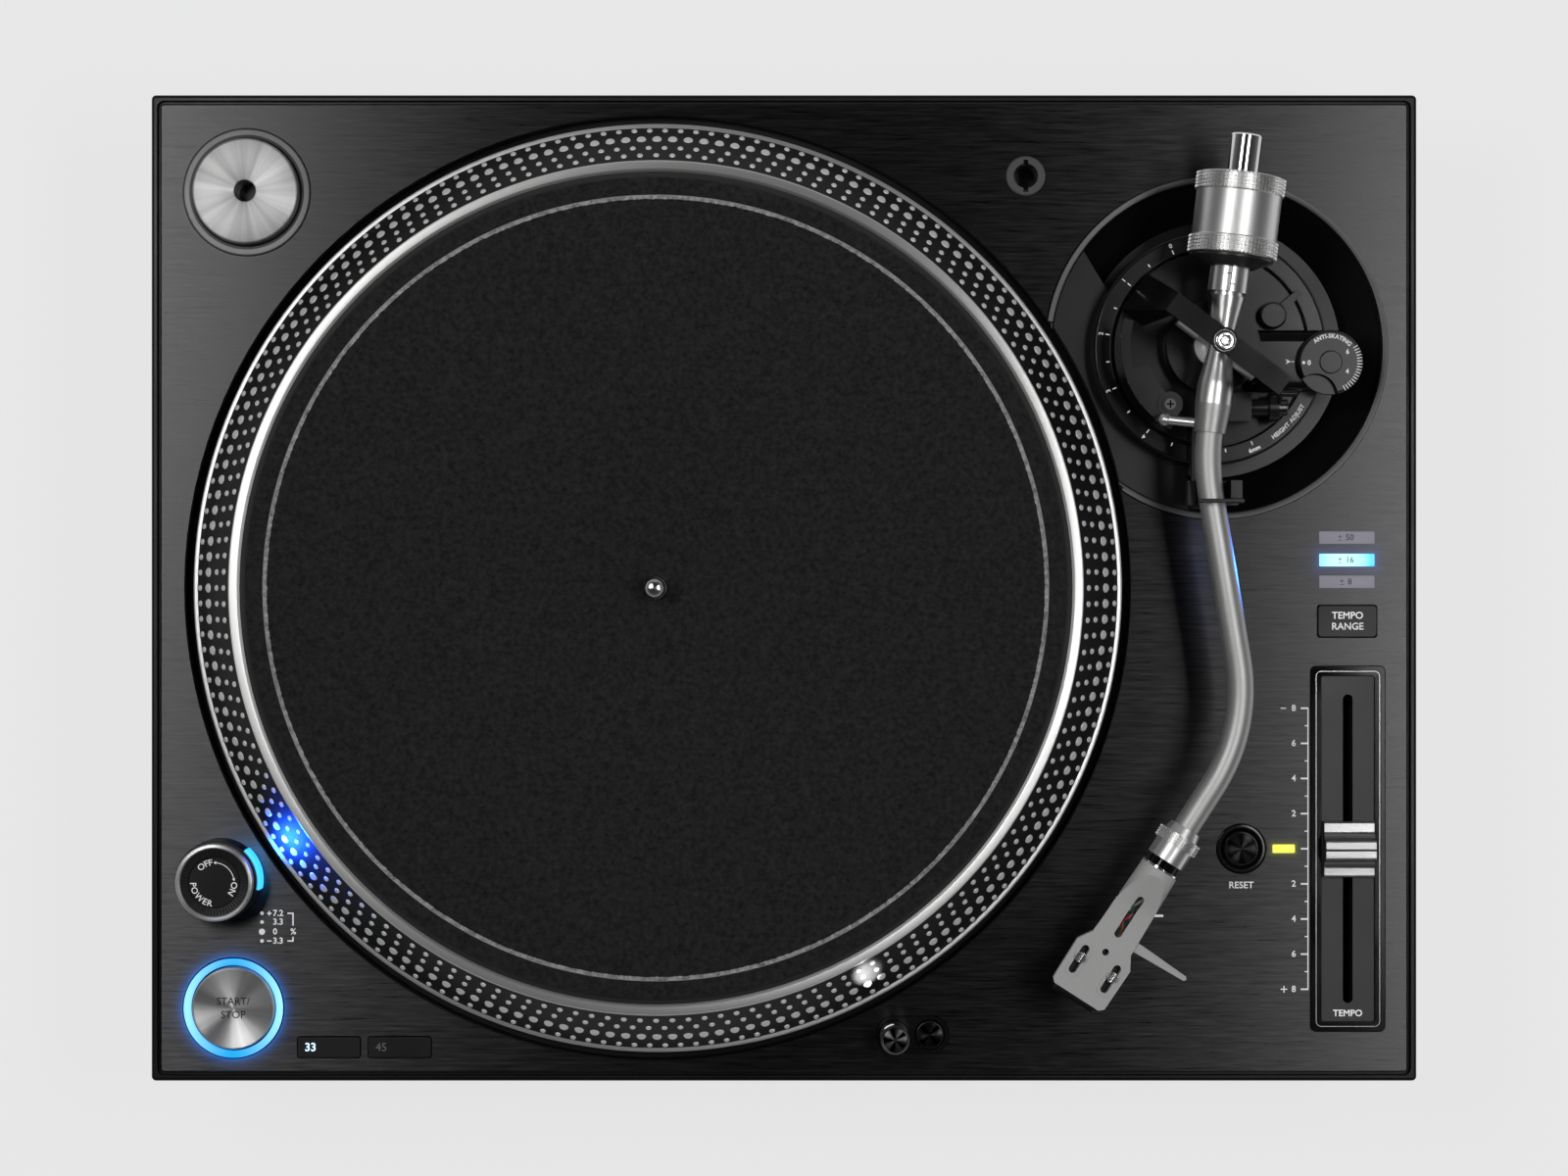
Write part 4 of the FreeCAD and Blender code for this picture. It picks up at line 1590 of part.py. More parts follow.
def cartridge():
    top = SHELL_TOP - SHELL_THICK
    half = CARTRIDGE_WIDTH / 2
    bottom = top - CARTRIDGE_HEIGHT
    tip = bottom - STYLUS_BLOCK_HEIGHT - STYLUS_TIP
    side = [(CARTRIDGE_BACK, top), (CARTRIDGE_FRONT, top), (CARTRIDGE_FRONT, top - 2.6),
            (NOSE_FRONT, top - 3.2), (NOSE_FRONT, bottom + 1.5), (NOSE_FRONT - 3, bottom),
            (CARTRIDGE_BACK + 2, bottom), (CARTRIDGE_BACK, bottom + 3)]
    corners = [vec(u, -half, w) for u, w in side]
    body = Part.Face(Part.makePolygon(corners + corners[:1])).extrude(vec(0, CARTRIDGE_WIDTH, 0))
    for v in (SCREW_SLOT_LEFT, SCREW_SLOT_RIGHT):
        body = body.cut(cylinder(SHELL_SCREW_RADIUS, bottom - 1, top + 1, SHELL_SCREW_AT, v))
    block_half = STYLUS_BLOCK_WIDTH / 2
    block_side = [(STYLUS_BLOCK_BACK, bottom), (STYLUS_AT + 3, bottom),
                  (STYLUS_AT + 1.5, bottom - STYLUS_BLOCK_HEIGHT + 1.2),
                  (STYLUS_AT - 3, bottom - STYLUS_BLOCK_HEIGHT), (STYLUS_BLOCK_BACK, bottom - 2.0)]
    corners = [vec(u, -block_half, w) for u, w in block_side]
    block = Part.Face(Part.makePolygon(corners + corners[:1])).extrude(vec(0, STYLUS_BLOCK_WIDTH, 0))
    cantilever = rod(STYLUS_RADIUS, vec(STYLUS_AT - 5, 0, bottom - STYLUS_BLOCK_HEIGHT + 1),
                     vec(STYLUS_AT, 0, tip + 1.2))
    needle = Part.makeCone(STYLUS_RADIUS, 0.1, 1.4, vec(STYLUS_AT, 0, tip + 1.4), vec(0, 0, -1))
    ball = Part.makeSphere(STYLUS_RADIUS, vec(STYLUS_AT, 0, tip + 1.3))
    save("cartridge", on_socket(body), on_socket(joined(block, cantilever, ball, needle)))


# Cueing lift

def ball_bottom():
    return Z_ARM + LIFT_BALL_AT[2] - LIFT_BALL_RADIUS


def piston_bottom():
    return Z_PLATFORM + LIFT_BOSS_HEIGHT - PISTON_GRIP


def cue_lever():
    axis_y = PY + CUE_Y
    axis_z = Z_PLATFORM + CUE_HEIGHT
    shaft = rod(CUE_SHAFT_RADIUS, vec(PX + CUE_SHAFT[0], axis_y, axis_z), vec(PX + CUE_SHAFT[1], axis_y, axis_z))
    disc = rod(CUE_DISC_RADIUS, vec(PX + CUE_SHAFT[1], axis_y, axis_z), vec(PX + CUE_DISC_END, axis_y, axis_z))
    knob = rod(CUE_KNOB_RADIUS, vec(PX + CUE_DISC_END, axis_y, axis_z), vec(PX + CUE_KNOB_END, axis_y, axis_z))
    lean = math.radians(CUE_HANDLE_LEAN)
    foot = vec(PX + CUE_DISC_END - 0.4, axis_y, axis_z)
    head = foot + vec(0, math.sin(lean), math.cos(lean)) * CUE_HANDLE_LENGTH
    handle = rod(CUE_HANDLE_WIDTH / 2, foot, head)
    tip = rod(CUE_HANDLE_WIDTH / 2, head, head + vec(CUE_HANDLE_TIP, 0, 0))
    elbow = Part.makeSphere(CUE_HANDLE_WIDTH / 2, head)
    save("cue_lever", joined(shaft, disc, knob, handle, tip, elbow))


def lift_bar():
    top = ball_bottom() - LIFT_GAP
    bottom = top - RAIL_THICK
    inner = RAIL_RADIUS - RAIL_WIDTH / 2
    outer = RAIL_RADIUS + RAIL_WIDTH / 2
    rail = sector(inner, outer, RAIL_FROM, RAIL_TO, bottom, top)
    web = sector(RAIL_WEB_INNER, inner + 0.5, RAIL_WEB_FROM, RAIL_TO, bottom, top - 0.6)
    x, y = LIFT_BOSS_AT
    head = cylinder(LIFT_HEAD_RADIUS, bottom, top, x, y)
    screw = cylinder(LIFT_HEAD_RADIUS - 1.6, top - 0.5, top + LIFT_SCREW_RISE, x, y)
    bar = joined(rail, web, head, screw)
    for width, depth in ((3.4, 0.7), (0.7, 3.4)):
        bar = bar.cut(box(x - width / 2, x + width / 2, y - depth / 2, y + depth / 2,
                          top + LIFT_SCREW_RISE - 0.6, top + LIFT_SCREW_RISE + 1))
    bar = joined(bar, cylinder(PISTON_RADIUS, piston_bottom(), bottom + 0.5, x, y))
    bar.translate(vec(PX, PY, 0))
    save("lift_bar", bar)


# Arm rest

def arm_rest():
    head_top = Z_ARM - REST_HEAD_DROP
    left = PX + REST_X - REST_WIDTH / 2
    right = left + REST_WIDTH
    post_back = PY + REST_Y + REST_POST / 2
    post_front = PY + REST_Y - REST_POST / 2
    bracket = box(left, right, post_front, PY + REST_INNER, Z_PLATFORM, Z_PLATFORM + REST_THICK)
    post = box(left, right, post_front, post_back, Z_PLATFORM + REST_THICK - 1, head_top - 1)
    head = box(PX + REST_HEAD[0], PX + REST_HEAD[1], PY + REST_HEAD_FRONT, PY + REST_HEAD_BACK,
               head_top - REST_HEAD_THICK, head_top)
    saddle = box(PX + REST_SADDLE[0], PX + REST_SADDLE[1], post_front, post_back, head_top - 1,
                 Z_ARM - REST_SADDLE_DROP)
    low_lug = box(PX + REST_HEAD[0], PX + REST_HEAD[0] + REST_LUG_WIDTH, PY + REST_HEAD_FRONT,
                  PY + REST_HEAD_BACK, head_top - 1, Z_ARM - REST_LUG_DROP)
    lug = box(PX + REST_HEAD[1] - LATCH_LUG_WIDTH, PX + REST_HEAD[1], PY + REST_HEAD_BACK - LATCH_LUG_THICK,
              PY + REST_HEAD_BACK, head_top - 1, Z_ARM + LATCH_LUG_RISE)
    rest = joined(bracket, post, head, saddle, low_lug, lug)
    pivot = vec(PX + LATCH_AT[0], 0, Z_ARM + LATCH_AT[1])
    hole = rod(LATCH_PIN_RADIUS + FIT, pivot + vec(0, PY + REST_HEAD_FRONT - 1, 0),
               pivot + vec(0, PY + REST_HEAD_BACK + 1, 0))
    save("arm_rest", rest.cut(hole))


def rest_latch():
    x = PX + LATCH_AT[0]
    z = Z_ARM + LATCH_AT[1]
    lug_front = PY + REST_HEAD_BACK - LATCH_LUG_THICK
    y1 = lug_front - CLEAR
    y0 = y1 - LATCH_THICK
    half = LATCH_PIN_RADIUS + 0.5
    strap_bottom = Z_ARM + LATCH_RISE
    bar = box(x - half, x + half, y0, y1, z, strap_bottom + LATCH_THICK)
    eye = rod(half, vec(x, y0, z), vec(x, y1, z))
    strap = box(x - LATCH_REACH, x + half, y0, y1, strap_bottom, strap_bottom + LATCH_THICK)
    pin = rod(LATCH_PIN_RADIUS, vec(x, y1 - 0.5, z), vec(x, PY + REST_HEAD_BACK - 0.5, z))
    save("rest_latch", joined(bar, eye, strap, pin))


def main():
    os.makedirs("parts", exist_ok=True)
    isolation_base()
    bottom_cover()
    case_screws()
    chassis_casting()
    deck_plate()
    jack_panel()
    power_inlet()
    signal_jacks()
    circuit_boards()
    power_supply()
    bearing_housing()
    motor_stator()
    rotor_magnet()
    platter()
    spindle()
    slipmat()
    feet()
    power_tower()
    strobe_window()
    power_knob()
    start_stop_ring()
    start_stop_button()
    buttons()
    reset_ring()
    indicator_lamps()
    adapter_cup()
    adapter_45()
    target_light_plate()
    target_light()
    headshell_holder()
    tempo_bezel()
    fader_unit()
    fader_knob()
    tonearm_well()
    height_ring()
    arm_base()
    anti_skate_dial()
    lock_lever()
    gimbal_bridge()
    gimbal_yoke()
    arm_sleeve()
    arm_tube()
    weight_bush()
    counterweight()
    weight_dial()
    headshell_nut()
    headshell()
    headshell_screws()
    cartridge()
    cue_lever()
    lift_bar()
    arm_rest()
    rest_latch()


main()
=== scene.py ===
import json
import math

import bmesh
import bpy
from bpy.props import FloatProperty, FloatVectorProperty, PointerProperty
from mathutils import Matrix, Vector

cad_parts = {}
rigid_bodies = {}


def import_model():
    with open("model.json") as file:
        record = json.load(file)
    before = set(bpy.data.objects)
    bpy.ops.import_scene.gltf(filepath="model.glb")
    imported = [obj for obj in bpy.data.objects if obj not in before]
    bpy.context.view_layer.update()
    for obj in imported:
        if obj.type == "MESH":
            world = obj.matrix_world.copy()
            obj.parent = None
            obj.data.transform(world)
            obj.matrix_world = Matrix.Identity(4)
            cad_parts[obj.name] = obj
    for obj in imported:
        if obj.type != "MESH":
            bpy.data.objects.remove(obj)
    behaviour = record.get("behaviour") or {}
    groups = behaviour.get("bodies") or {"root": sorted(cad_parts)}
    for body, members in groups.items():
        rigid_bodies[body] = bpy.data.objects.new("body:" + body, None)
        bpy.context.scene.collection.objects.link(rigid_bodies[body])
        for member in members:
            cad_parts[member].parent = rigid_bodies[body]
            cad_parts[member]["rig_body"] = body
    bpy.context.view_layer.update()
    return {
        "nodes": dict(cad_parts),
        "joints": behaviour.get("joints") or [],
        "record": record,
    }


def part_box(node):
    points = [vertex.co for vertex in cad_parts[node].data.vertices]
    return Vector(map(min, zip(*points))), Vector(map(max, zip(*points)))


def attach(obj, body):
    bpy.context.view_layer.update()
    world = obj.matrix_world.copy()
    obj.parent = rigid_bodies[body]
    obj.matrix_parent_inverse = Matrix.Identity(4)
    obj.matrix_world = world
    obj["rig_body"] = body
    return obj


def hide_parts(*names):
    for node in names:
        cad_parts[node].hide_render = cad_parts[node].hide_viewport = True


bl_info = {
    "name": "DJ Turntable",
    "version": (1, 0, 0),
    "blender": (4, 5, 0),
    "location": "View3D > Sidebar > Turntable",
    "description": "Dresses a packed direct drive record deck with finishes, lettering and lamps",
    "category": "Add Mesh",
}

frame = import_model()
NODES = frame["nodes"]
JOINTS = {joint["name"]: joint for joint in frame["joints"]}

# Sizes are in millimetres here, and a finished piece is scaled to metres once.
MM = 0.001
SMOOTH_ANGLE = math.radians(32)
PAINT_LIFT = 0.03
PAINT_THICK = 0.02
CAPITAL = 0.70     # height of a capital against the size of the lettering


def box_of(node):
    """Lowest and highest corners of a CAD node, in millimetres."""
    low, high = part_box(node)
    return low / MM, high / MM


def middle(node):
    low, high = box_of(node)
    return (low + high) / 2


def top(node):
    return box_of(node)[1].z


def bottom(node):
    return box_of(node)[0].z


def width(node):
    low, high = box_of(node)
    return high.x - low.x


def depth(node):
    low, high = box_of(node)
    return high.y - low.y


def joint_place(name):
    return Vector(JOINTS[name]["pos_m"]) / MM


def joint_axis(name):
    return Vector(JOINTS[name]["axis"]).normalized()


DECK = top("deck_plate")
PLATTER = middle("platter")
PIVOT = joint_place("arm_pitch")
REARWARD = joint_axis("weight_travel")
SOCKET = joint_place("nut_turn")
SHELL_AHEAD = joint_axis("nut_turn")

# Places and sizes that no CAD node gives
RANGE_LAMP_X = 201.4
RANGE_LAMP_Y = (18.0, 10.0, 2.2)
RANGE_LAMP = (19.8, 4.5)
ZERO_LAMP_X = 178.8
ZERO_LAMP = (8.0, 3.05)
WELL = (154.7, 85.9)
PLATTER_GAP = 168.5
LIFT_BOSS = (134.8, 64.2)
KEY_LOW = DECK - 7
STEM_RADIUS = 2
KNOB_LOW = 119.3
KNOB_SHAFT_LOW = 105.3
STROBE_WAY = 28            # degrees from X
TARGET_LAMP_HEIGHT = 118
TARGET_AIM = Vector((26.8, -133.1, 113))
TARGET_SPOT = Vector((26.0, -128.0, 117))
FADER_STEP = 12.57         # travel for two percent
FIRST_MARK = 111           # degrees, on the height ring
MARK_PITCH = 30.5          # degrees for a millimetre of rise


# Settings

def colour(name, description, value):
    return FloatVectorProperty(name=name, description=description, subtype="COLOR", size=3, min=0, max=1,
                               default=value)


def size(name, description, value, low=0.0, high=1000.0):
    return FloatProperty(name=name, description=description, default=value, min=low, max=high, precision=3)


class DeckColours(bpy.types.PropertyGroup):
    """Colours of the deck's finishes."""
    panel: colour("Panel", "Brushed black top panel", (0.060, 0.060, 0.0615))
    casting: colour("Casting", "Painted chassis casting", (0.0045, 0.0045, 0.005))
    moulding: colour("Moulding", "Black mouldings", (0.006, 0.006, 0.0065))
    gloss: colour("Gloss black", "Glossy black trim", (0.003, 0.003, 0.0035))
    grey_face: colour("Grey face", "Tempo plate and trim rings", (0.036, 0.036, 0.0375))
    bright: colour("Bright", "Machined and polished metal", (0.80, 0.80, 0.79))
    shell: colour("Headshell", "Matte light grey of the headshell", (0.50, 0.50, 0.495))
    felt: colour("Felt", "Slipmat felt", (0.021, 0.021, 0.0218))
    print_white: colour("White print", "Lettering on the deck", (0.78, 0.78, 0.78))
    print_grey: colour("Grey print", "Ring printed on the slipmat", (0.36, 0.36, 0.365))
    blue: colour("Blue lamp", "Lit rings and lamps", (0.020, 0.42, 1.0))
    pale_blue: colour("Pale blue lamp", "Lit range lamp", (0.16, 0.78, 1.0))
    lamp_off: colour("Lamp off", "Unlit range lamps", (0.42, 0.405, 0.48))
    lamp_zero: colour("Zero lamp", "Yellow lamp at zero tempo", (0.80, 0.86, 0.10))
    rubber: colour("Rubber", "Feet and seals", (0.016, 0.016, 0.016))


class DeckSizes(bpy.types.PropertyGroup):
    """Sizes of what is added to the frame, in millimetres."""
    dot_big: size("Big dot", "Diameter of the big strobe dots", 3.35)
    dot_small: size("Small dot", "Diameter of the small strobe dots", 2.1)
    dot_height: size("Dot height", "How far the strobe dots stand out", 0.45)
    edge: size("Edge", "Rounding of small edges", 0.3)
    mat_ring: size("Mat ring", "Radius of the ring printed on the slipmat", 137.8)
    mat_ring_width: size("Mat ring width", "Width of the ring printed on the slipmat", 1.65)
    letter: size("Letter", "Height of the lettering on the deck", 2.6)


class DeckStage(bpy.types.PropertyGroup):
    """Camera, lamps and floor."""
    camera_height: FloatProperty(name="Camera height", description="Above the deck's top", default=1.25,
                                 unit="LENGTH")
    lens: FloatProperty(name="Lens", description="Focal length", default=80.2, unit="CAMERA")
    side_lamp: FloatProperty(name="Side lamps", description="Power of the two side lamps", default=5.8,
                             unit="POWER")
    back_lamp: FloatProperty(name="Back lamp", description="Power of the lamp behind", default=0.7,
                             unit="POWER")
    world: size("World", "Strength of the room's light", 0.42)


# Shaping with bmesh

def spun(profile, steps=96, closed=False):
    """Turned shape about Z, from (radius, height) corners."""
    bm = bmesh.new()
    corners = [bm.verts.new((radius, 0, height)) for radius, height in profile]
    edges = [bm.edges.new(pair) for pair in zip(corners, corners[1:])]
    if closed:
        edges.append(bm.edges.new((corners[-1], corners[0])))
    bmesh.ops.spin(bm, geom=corners + edges, cent=(0, 0, 0), axis=(0, 0, 1), angle=math.tau, steps=steps,
                   use_merge=True)
    bmesh.ops.remove_doubles(bm, verts=bm.verts, dist=1e-4)
    bmesh.ops.recalc_face_normals(bm, faces=bm.faces)
    return bm


def ease(bm, radius, segments=2, angle=30.0):
    """Round every sharp edge."""
    sharp = [edge for edge in bm.edges if len(edge.link_faces) == 2
             and edge.calc_face_angle(0) > math.radians(angle)]
    if sharp and radius > 0:
        bmesh.ops.bevel(bm, geom=sharp, offset=radius, offset_type="OFFSET", affect="EDGES",
                        segments=segments, profile=0.5, clamp_overlap=True, material=-1)
    return bm


def slab(points, low, high):
    """Upright block over an outline."""
    bm = bmesh.new()
    face = bm.faces.new([bm.verts.new((x, y, low)) for x, y in points])
    grown = bmesh.ops.extrude_face_region(bm, geom=[face])
    moved = [part for part in grown["geom"] if isinstance(part, bmesh.types.BMVert)]
    bmesh.ops.translate(bm, verts=moved, vec=(0, 0, high - low))
    bmesh.ops.recalc_face_normals(bm, faces=bm.faces)
    return bm


def block(x, y, across, along, low, high, corner=0.0, segments=8):
    """Upright block with rounded corners."""
    bm = bmesh.new()
    bmesh.ops.create_cube(bm, size=1, matrix=Matrix.Translation((x, y, (low + high) / 2))
                          @ Matrix.Diagonal((across, along, high - low, 1)))
    if corner > 0:
        upright = [edge for edge in bm.edges if abs(edge.verts[0].co.z - edge.verts[1].co.z) > 1e-6]
        bmesh.ops.bevel(bm, geom=upright, offset=min(corner, across / 2 - 1e-3, along / 2 - 1e-3),
                        affect="EDGES", segments=segments, profile=0.5, material=-1)
    return bm


def rounded(x, y, across, along, corner, steps=6):
    """Outline of a rectangle with round corners, counterclockwise."""
    points = []
    for turn, (side_x, side_y) in enumerate(((1, 1), (-1, 1), (-1, -1), (1, -1))):
        for step in range(steps + 1):
            angle = math.radians(90 * turn + 90 * step / steps)
            points.append((x + side_x * (across / 2 - corner) + corner * math.cos(angle),
                           y + side_y * (along / 2 - corner) + corner * math.sin(angle)))
    return points


def circle(x, y, radius, count, sides=None):
    """Outline of a circle, or of a polygon that has its points spread along its sides."""
    points = []
    for index in range(count):
        angle = math.tau * index / count
        reach = radius
        if sides:
            part = math.tau / sides
            reach = radius * math.cos(part / 2) / math.cos(angle % part - part / 2)
        points.append((x + reach * math.cos(angle), y + reach * math.sin(angle)))
    return points


def ringed(outer, inner, low, high):
    """Upright ring between two outlines that have equally many points."""
    bm = bmesh.new()
    loops = [[bm.verts.new((x, y, z)) for x, y in points]
             for points, z in ((outer, low), (outer, high), (inner, high), (inner, low))]
    count = len(outer)
    for first, second in zip(loops, loops[1:] + loops[:1]):
        for index in range(count):
            after = (index + 1) % count
            bm.faces.new((first[index], first[after], second[after], second[index]))
    bmesh.ops.recalc_face_normals(bm, faces=bm.faces)
    return bm


def tube(points, radius, sides=10):
    """Round wire along a row of points."""
    bm = bmesh.new()
    rings = []
    for index, point in enumerate(points):
        before, after = points[max(index - 1, 0)], points[min(index + 1, len(points) - 1)]
        turn = (Vector(after) - Vector(before)).to_track_quat("Z", "Y").to_matrix()
        rings.append([bm.verts.new(Vector(point) + turn @ Vector((radius * math.cos(math.tau * side / sides),
                                                                 radius * math.sin(math.tau * side / sides),
                                                                 0)))
                      for side in range(sides)])
    for first, second in zip(rings, rings[1:]):
        for side in range(sides):
            after = (side + 1) % sides
            bm.faces.new((first[side], first[after], second[after], second[side]))
    bm.faces.new(rings[0])
    bm.faces.new(rings[-1])
    bmesh.ops.recalc_face_normals(bm, faces=bm.faces)
    return bm


def repeated(bm, moves):
    """Copies of a shape, each set on from the one before by the next matrix."""
    spare = bpy.data.meshes.new("spare")
    bm.to_mesh(spare)
    bm.free()
    whole = bmesh.new()
    for move in moves:
        spare.transform(move)
        whole.from_mesh(spare)
    bpy.data.meshes.remove(spare)
    return whole


def all_round(bm, count, axis="Z"):
    """Copies of a shape, evenly round an axis."""
    return repeated(bm, [Matrix.Rotation(math.tau / count, 4, axis)] * count)


def knurls(radius, start, end, rows, count, rise):
    """Small raised squares round a barrel that lies along X."""
    pitch = (end - start) / rows
    wide = math.tau * radius / count
    pad = block(0, 0, pitch * 0.84, wide * 0.84, -0.15, rise)
    for vert in pad.verts:
        if vert.co.z > 0:
            vert.co.x *= 0.6
            vert.co.y *= 0.6
    ring = all_round(moved(pad, at(start + pitch / 2, 0, radius)), count, "X")
    return repeated(ring, [Matrix.Identity(4)] + [at(pitch, 0)] * (rows - 1))


def patch(x, y, across, along, cuts=6):
    """Printed patch cut across its length, so that it can be bent."""
    bm = block(x, y, across, along, -PAINT_THICK / 2, PAINT_THICK / 2)
    lengthways = [edge for edge in bm.edges if abs(edge.verts[0].co.y - edge.verts[1].co.y) > 1e-6]
    bmesh.ops.subdivide_edges(bm, edges=lengthways, cuts=cuts)
    return bm


def on_barrel(bm, radius):
    """Wrap a flat shape, made about the origin, over the top of a barrel that lies along X."""
    for vert in bm.verts:
        angle = vert.co.y / radius
        reach = radius + vert.co.z
        vert.co.y = reach * math.sin(angle)
        vert.co.z = reach * math.cos(angle)
    return bm


def from_cad(node):
    """Merged copy of a CAD node's mesh, in millimetres, with its flat faces joined up."""
    bm = bmesh.new()
    bm.from_mesh(NODES[node].data)
    bmesh.ops.scale(bm, vec=(1 / MM,) * 3, verts=bm.verts)
    bmesh.ops.remove_doubles(bm, verts=bm.verts, dist=0.002)
    bmesh.ops.dissolve_limit(bm, angle_limit=math.radians(0.5), verts=bm.verts, edges=bm.edges)
    return bm


def moved(bm, matrix):
    bm.transform(matrix)
    return bm


def merged(*parts):
    """One bmesh that holds the given ones."""
    whole = parts[0]
    for part in parts[1:]:
        spare = bpy.data.meshes.new("spare")
        part.to_mesh(spare)
        part.free()
        whole.from_mesh(spare)
        bpy.data.meshes.remove(spare)
    return whole


def at(x, y, z=0.0, turn=0.0):
    return Matrix.Translation((x, y, z)) @ Matrix.Rotation(math.radians(turn), 4, "Z")


def pointing(place, direction):
    """Set a shape made along Z so that Z points in the direction."""
    return Matrix.Translation(place) @ Vector(direction).to_track_quat("Z", "Y").to_matrix().to_4x4()


def level_frame(place, ahead):
    """Frame with X ahead and Z up."""
    turn = math.atan2(ahead.y, ahead.x)
    return Matrix.Translation(place) @ Matrix.Rotation(turn, 4, "Z")


def flat_faces_rule(mesh, limit=50.0):
    """Let large faces set the normals of the bevels beside them, so that flat faces look flat."""
    around = {}
    for face in mesh.polygons:
        for corner in face.vertices:
            around.setdefault(corner, []).append(face)
    least = math.cos(math.radians(limit))
    normals = []
    for face in mesh.polygons:
        for corner in face.vertices:
            total = Vector()
            for other in around[corner]:
                if face.normal.dot(other.normal) > least:
                    total += other.normal * other.area
            normals.append(total.normalized())
    mesh.normals_split_custom_set(normals)


def piece(bm, name, body, slot, material, replaces=(), smooth=SMOOTH_ANGLE, weighted=False, place=None):
    """Turn a bmesh in millimetres into a finished piece that rides on a body."""
    if place is not None:
        moved(bm, at(place[0], place[1]))
    mesh = bpy.data.meshes.new(name)
    bmesh.ops.scale(bm, vec=(MM,) * 3, verts=bm.verts)
    bm.to_mesh(mesh)
    bm.free()
    mesh.shade_smooth()
    mesh.set_sharp_from_angle(angle=smooth)
    if weighted:
        flat_faces_rule(mesh)
    obj = bpy.data.objects.new(name, mesh)
    bpy.context.scene.collection.objects.link(obj)
    for finish in material if isinstance(material, (list, tuple)) else [material]:
        mesh.materials.append(finish)
    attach(obj, body)
    if replaces:
        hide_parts(*replaces)
    return obj


def body_of(node):
    return NODES[node]["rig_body"]


def slot_of(node):
    for part in frame["record"]["subparts"]:
        if part["node"] == node:
            return part["material_slot"]
    raise KeyError(node)


def stand_in(bm, name, node, material, **more):
    """Piece that stands for a CAD node, on its body."""
    return piece(bm, name, body_of(node), slot_of(node), material, [node], **more)


def dressed(node, material, radius=0.25, segments=2):
    """Copy of a CAD node with eased edges and a finish, which stands for the node."""
    bm = ease(from_cad(node), radius, segments)
    return stand_in(bm, node + "_finished", node, material, weighted=True)


def painted(node, material):
    """Give a CAD node its finish."""
    NODES[node].data.materials.clear()
    NODES[node].data.materials.append(material)


# Lettering

def word(text, height, x=0.0, y=0.0, align="CENTER", bold=0.0, spacing=1.0):
    """Flat lettering in millimetres, with capitals of the given height and its middle at a place."""
    curve = bpy.data.curves.new("letters", "FONT")
    curve.body = text
    curve.align_x = align
    curve.align_y = "CENTER"
    curve.size = height / CAPITAL
    curve.space_character = spacing
    shifted = bold if "M" in text.upper() else 0.0     # the outline of an M folds over when it is offset
    curve.offset = 0.0 if shifted else bold
    curve.resolution_u = 3
    curve.extrude = PAINT_THICK / 2
    holder = bpy.data.objects.new("letters", curve)
    bpy.context.scene.collection.objects.link(holder)
    bpy.context.view_layer.update()
    mesh = bpy.data.meshes.new_from_object(holder.evaluated_get(bpy.context.evaluated_depsgraph_get()))
    bm = bmesh.new()
    bm.from_mesh(mesh)
    bpy.data.objects.remove(holder)
    bpy.data.curves.remove(curve)
    bpy.data.meshes.remove(mesh)
    if shifted:
        ways = ((1, 0), (-1, 0), (0, 1), (0, -1))
        bm = merged(bm, *[moved(bm.copy(), at(across * shifted, along * shifted)) for across, along in ways])
    return moved(bm, at(x, y))


def on_arc(bm, radius, direction, inward=False):
    """Bend lettering round the origin, with its middle in the given direction in degrees."""
    middle_angle = math.radians(direction)
    for vert in bm.verts:
        if inward:
            angle = middle_angle + vert.co.x / radius
            reach = radius - vert.co.y
        else:
            angle = middle_angle - vert.co.x / radius
            reach = radius + vert.co.y
        vert.co.x = reach * math.cos(angle)
        vert.co.y = reach * math.sin(angle)
    return bm


def bar(x0, y0, x1, y1, wide):
    """Flat printed line between two points, at the origin's height."""
    start, end = Vector((x0, y0, 0)), Vector((x1, y1, 0))
    along = end - start
    bm = block(0, 0, along.length, wide, -PAINT_THICK / 2, PAINT_THICK / 2)
    mid = (start + end) / 2
    return moved(bm, at(mid.x, mid.y, 0, math.degrees(math.atan2(along.y, along.x))))


def printed(parts, height, name, body, slot, material=None, place=None):
    """Join flat lettering and lay it on a level surface at the given height, in white unless told."""
    bm = moved(merged(*parts), at(0, 0, height + PAINT_LIFT))
    return piece(bm, name, body, slot, material or white_print(), place=place)


def deck_print(parts, name):
    return printed(parts, DECK, name, "case", slot_of("deck_plate"))


# Shader node groups

def node(tree, kind, inputs=None, **settings):
    new = tree.nodes.new("ShaderNode" + kind)
    for key, value in settings.items():
        setattr(new, key, value)
    for key, value in (inputs or {}).items():
        if isinstance(value, bpy.types.NodeSocket):
            tree.links.new(value, new.inputs[key])
        else:
            new.inputs[key].default_value = value
    return new


def calc(tree, operation, first, second=0.0, third=0.0):
    return node(tree, "Math", {0: first, 1: second, 2: third}, operation=operation).outputs[0]


def new_group(name, inputs, outputs):
    group = bpy.data.node_groups.new(name, "ShaderNodeTree")
    kinds = {"F": "NodeSocketFloat", "C": "NodeSocketColor", "V": "NodeSocketVector"}
    for label, kind, value in inputs:
        socket = group.interface.new_socket(label, in_out="INPUT", socket_type=kinds[kind])
        if value is not None:
            socket.default_value = value
    for label, kind in outputs:
        group.interface.new_socket(label, in_out="OUTPUT", socket_type=kinds[kind])
    return group, group.nodes.new("NodeGroupInput"), group.nodes.new("NodeGroupOutput")


def vmath(tree, operation, first, second=None, output=0, **more):
    """Vector maths; further inputs go by their names."""
    inputs = {0: first}
    if second is not None:
        inputs[1] = second
    inputs.update({key.capitalize(): value for key, value in more.items()})
    return node(tree, "VectorMath", inputs, operation=operation).outputs[output]


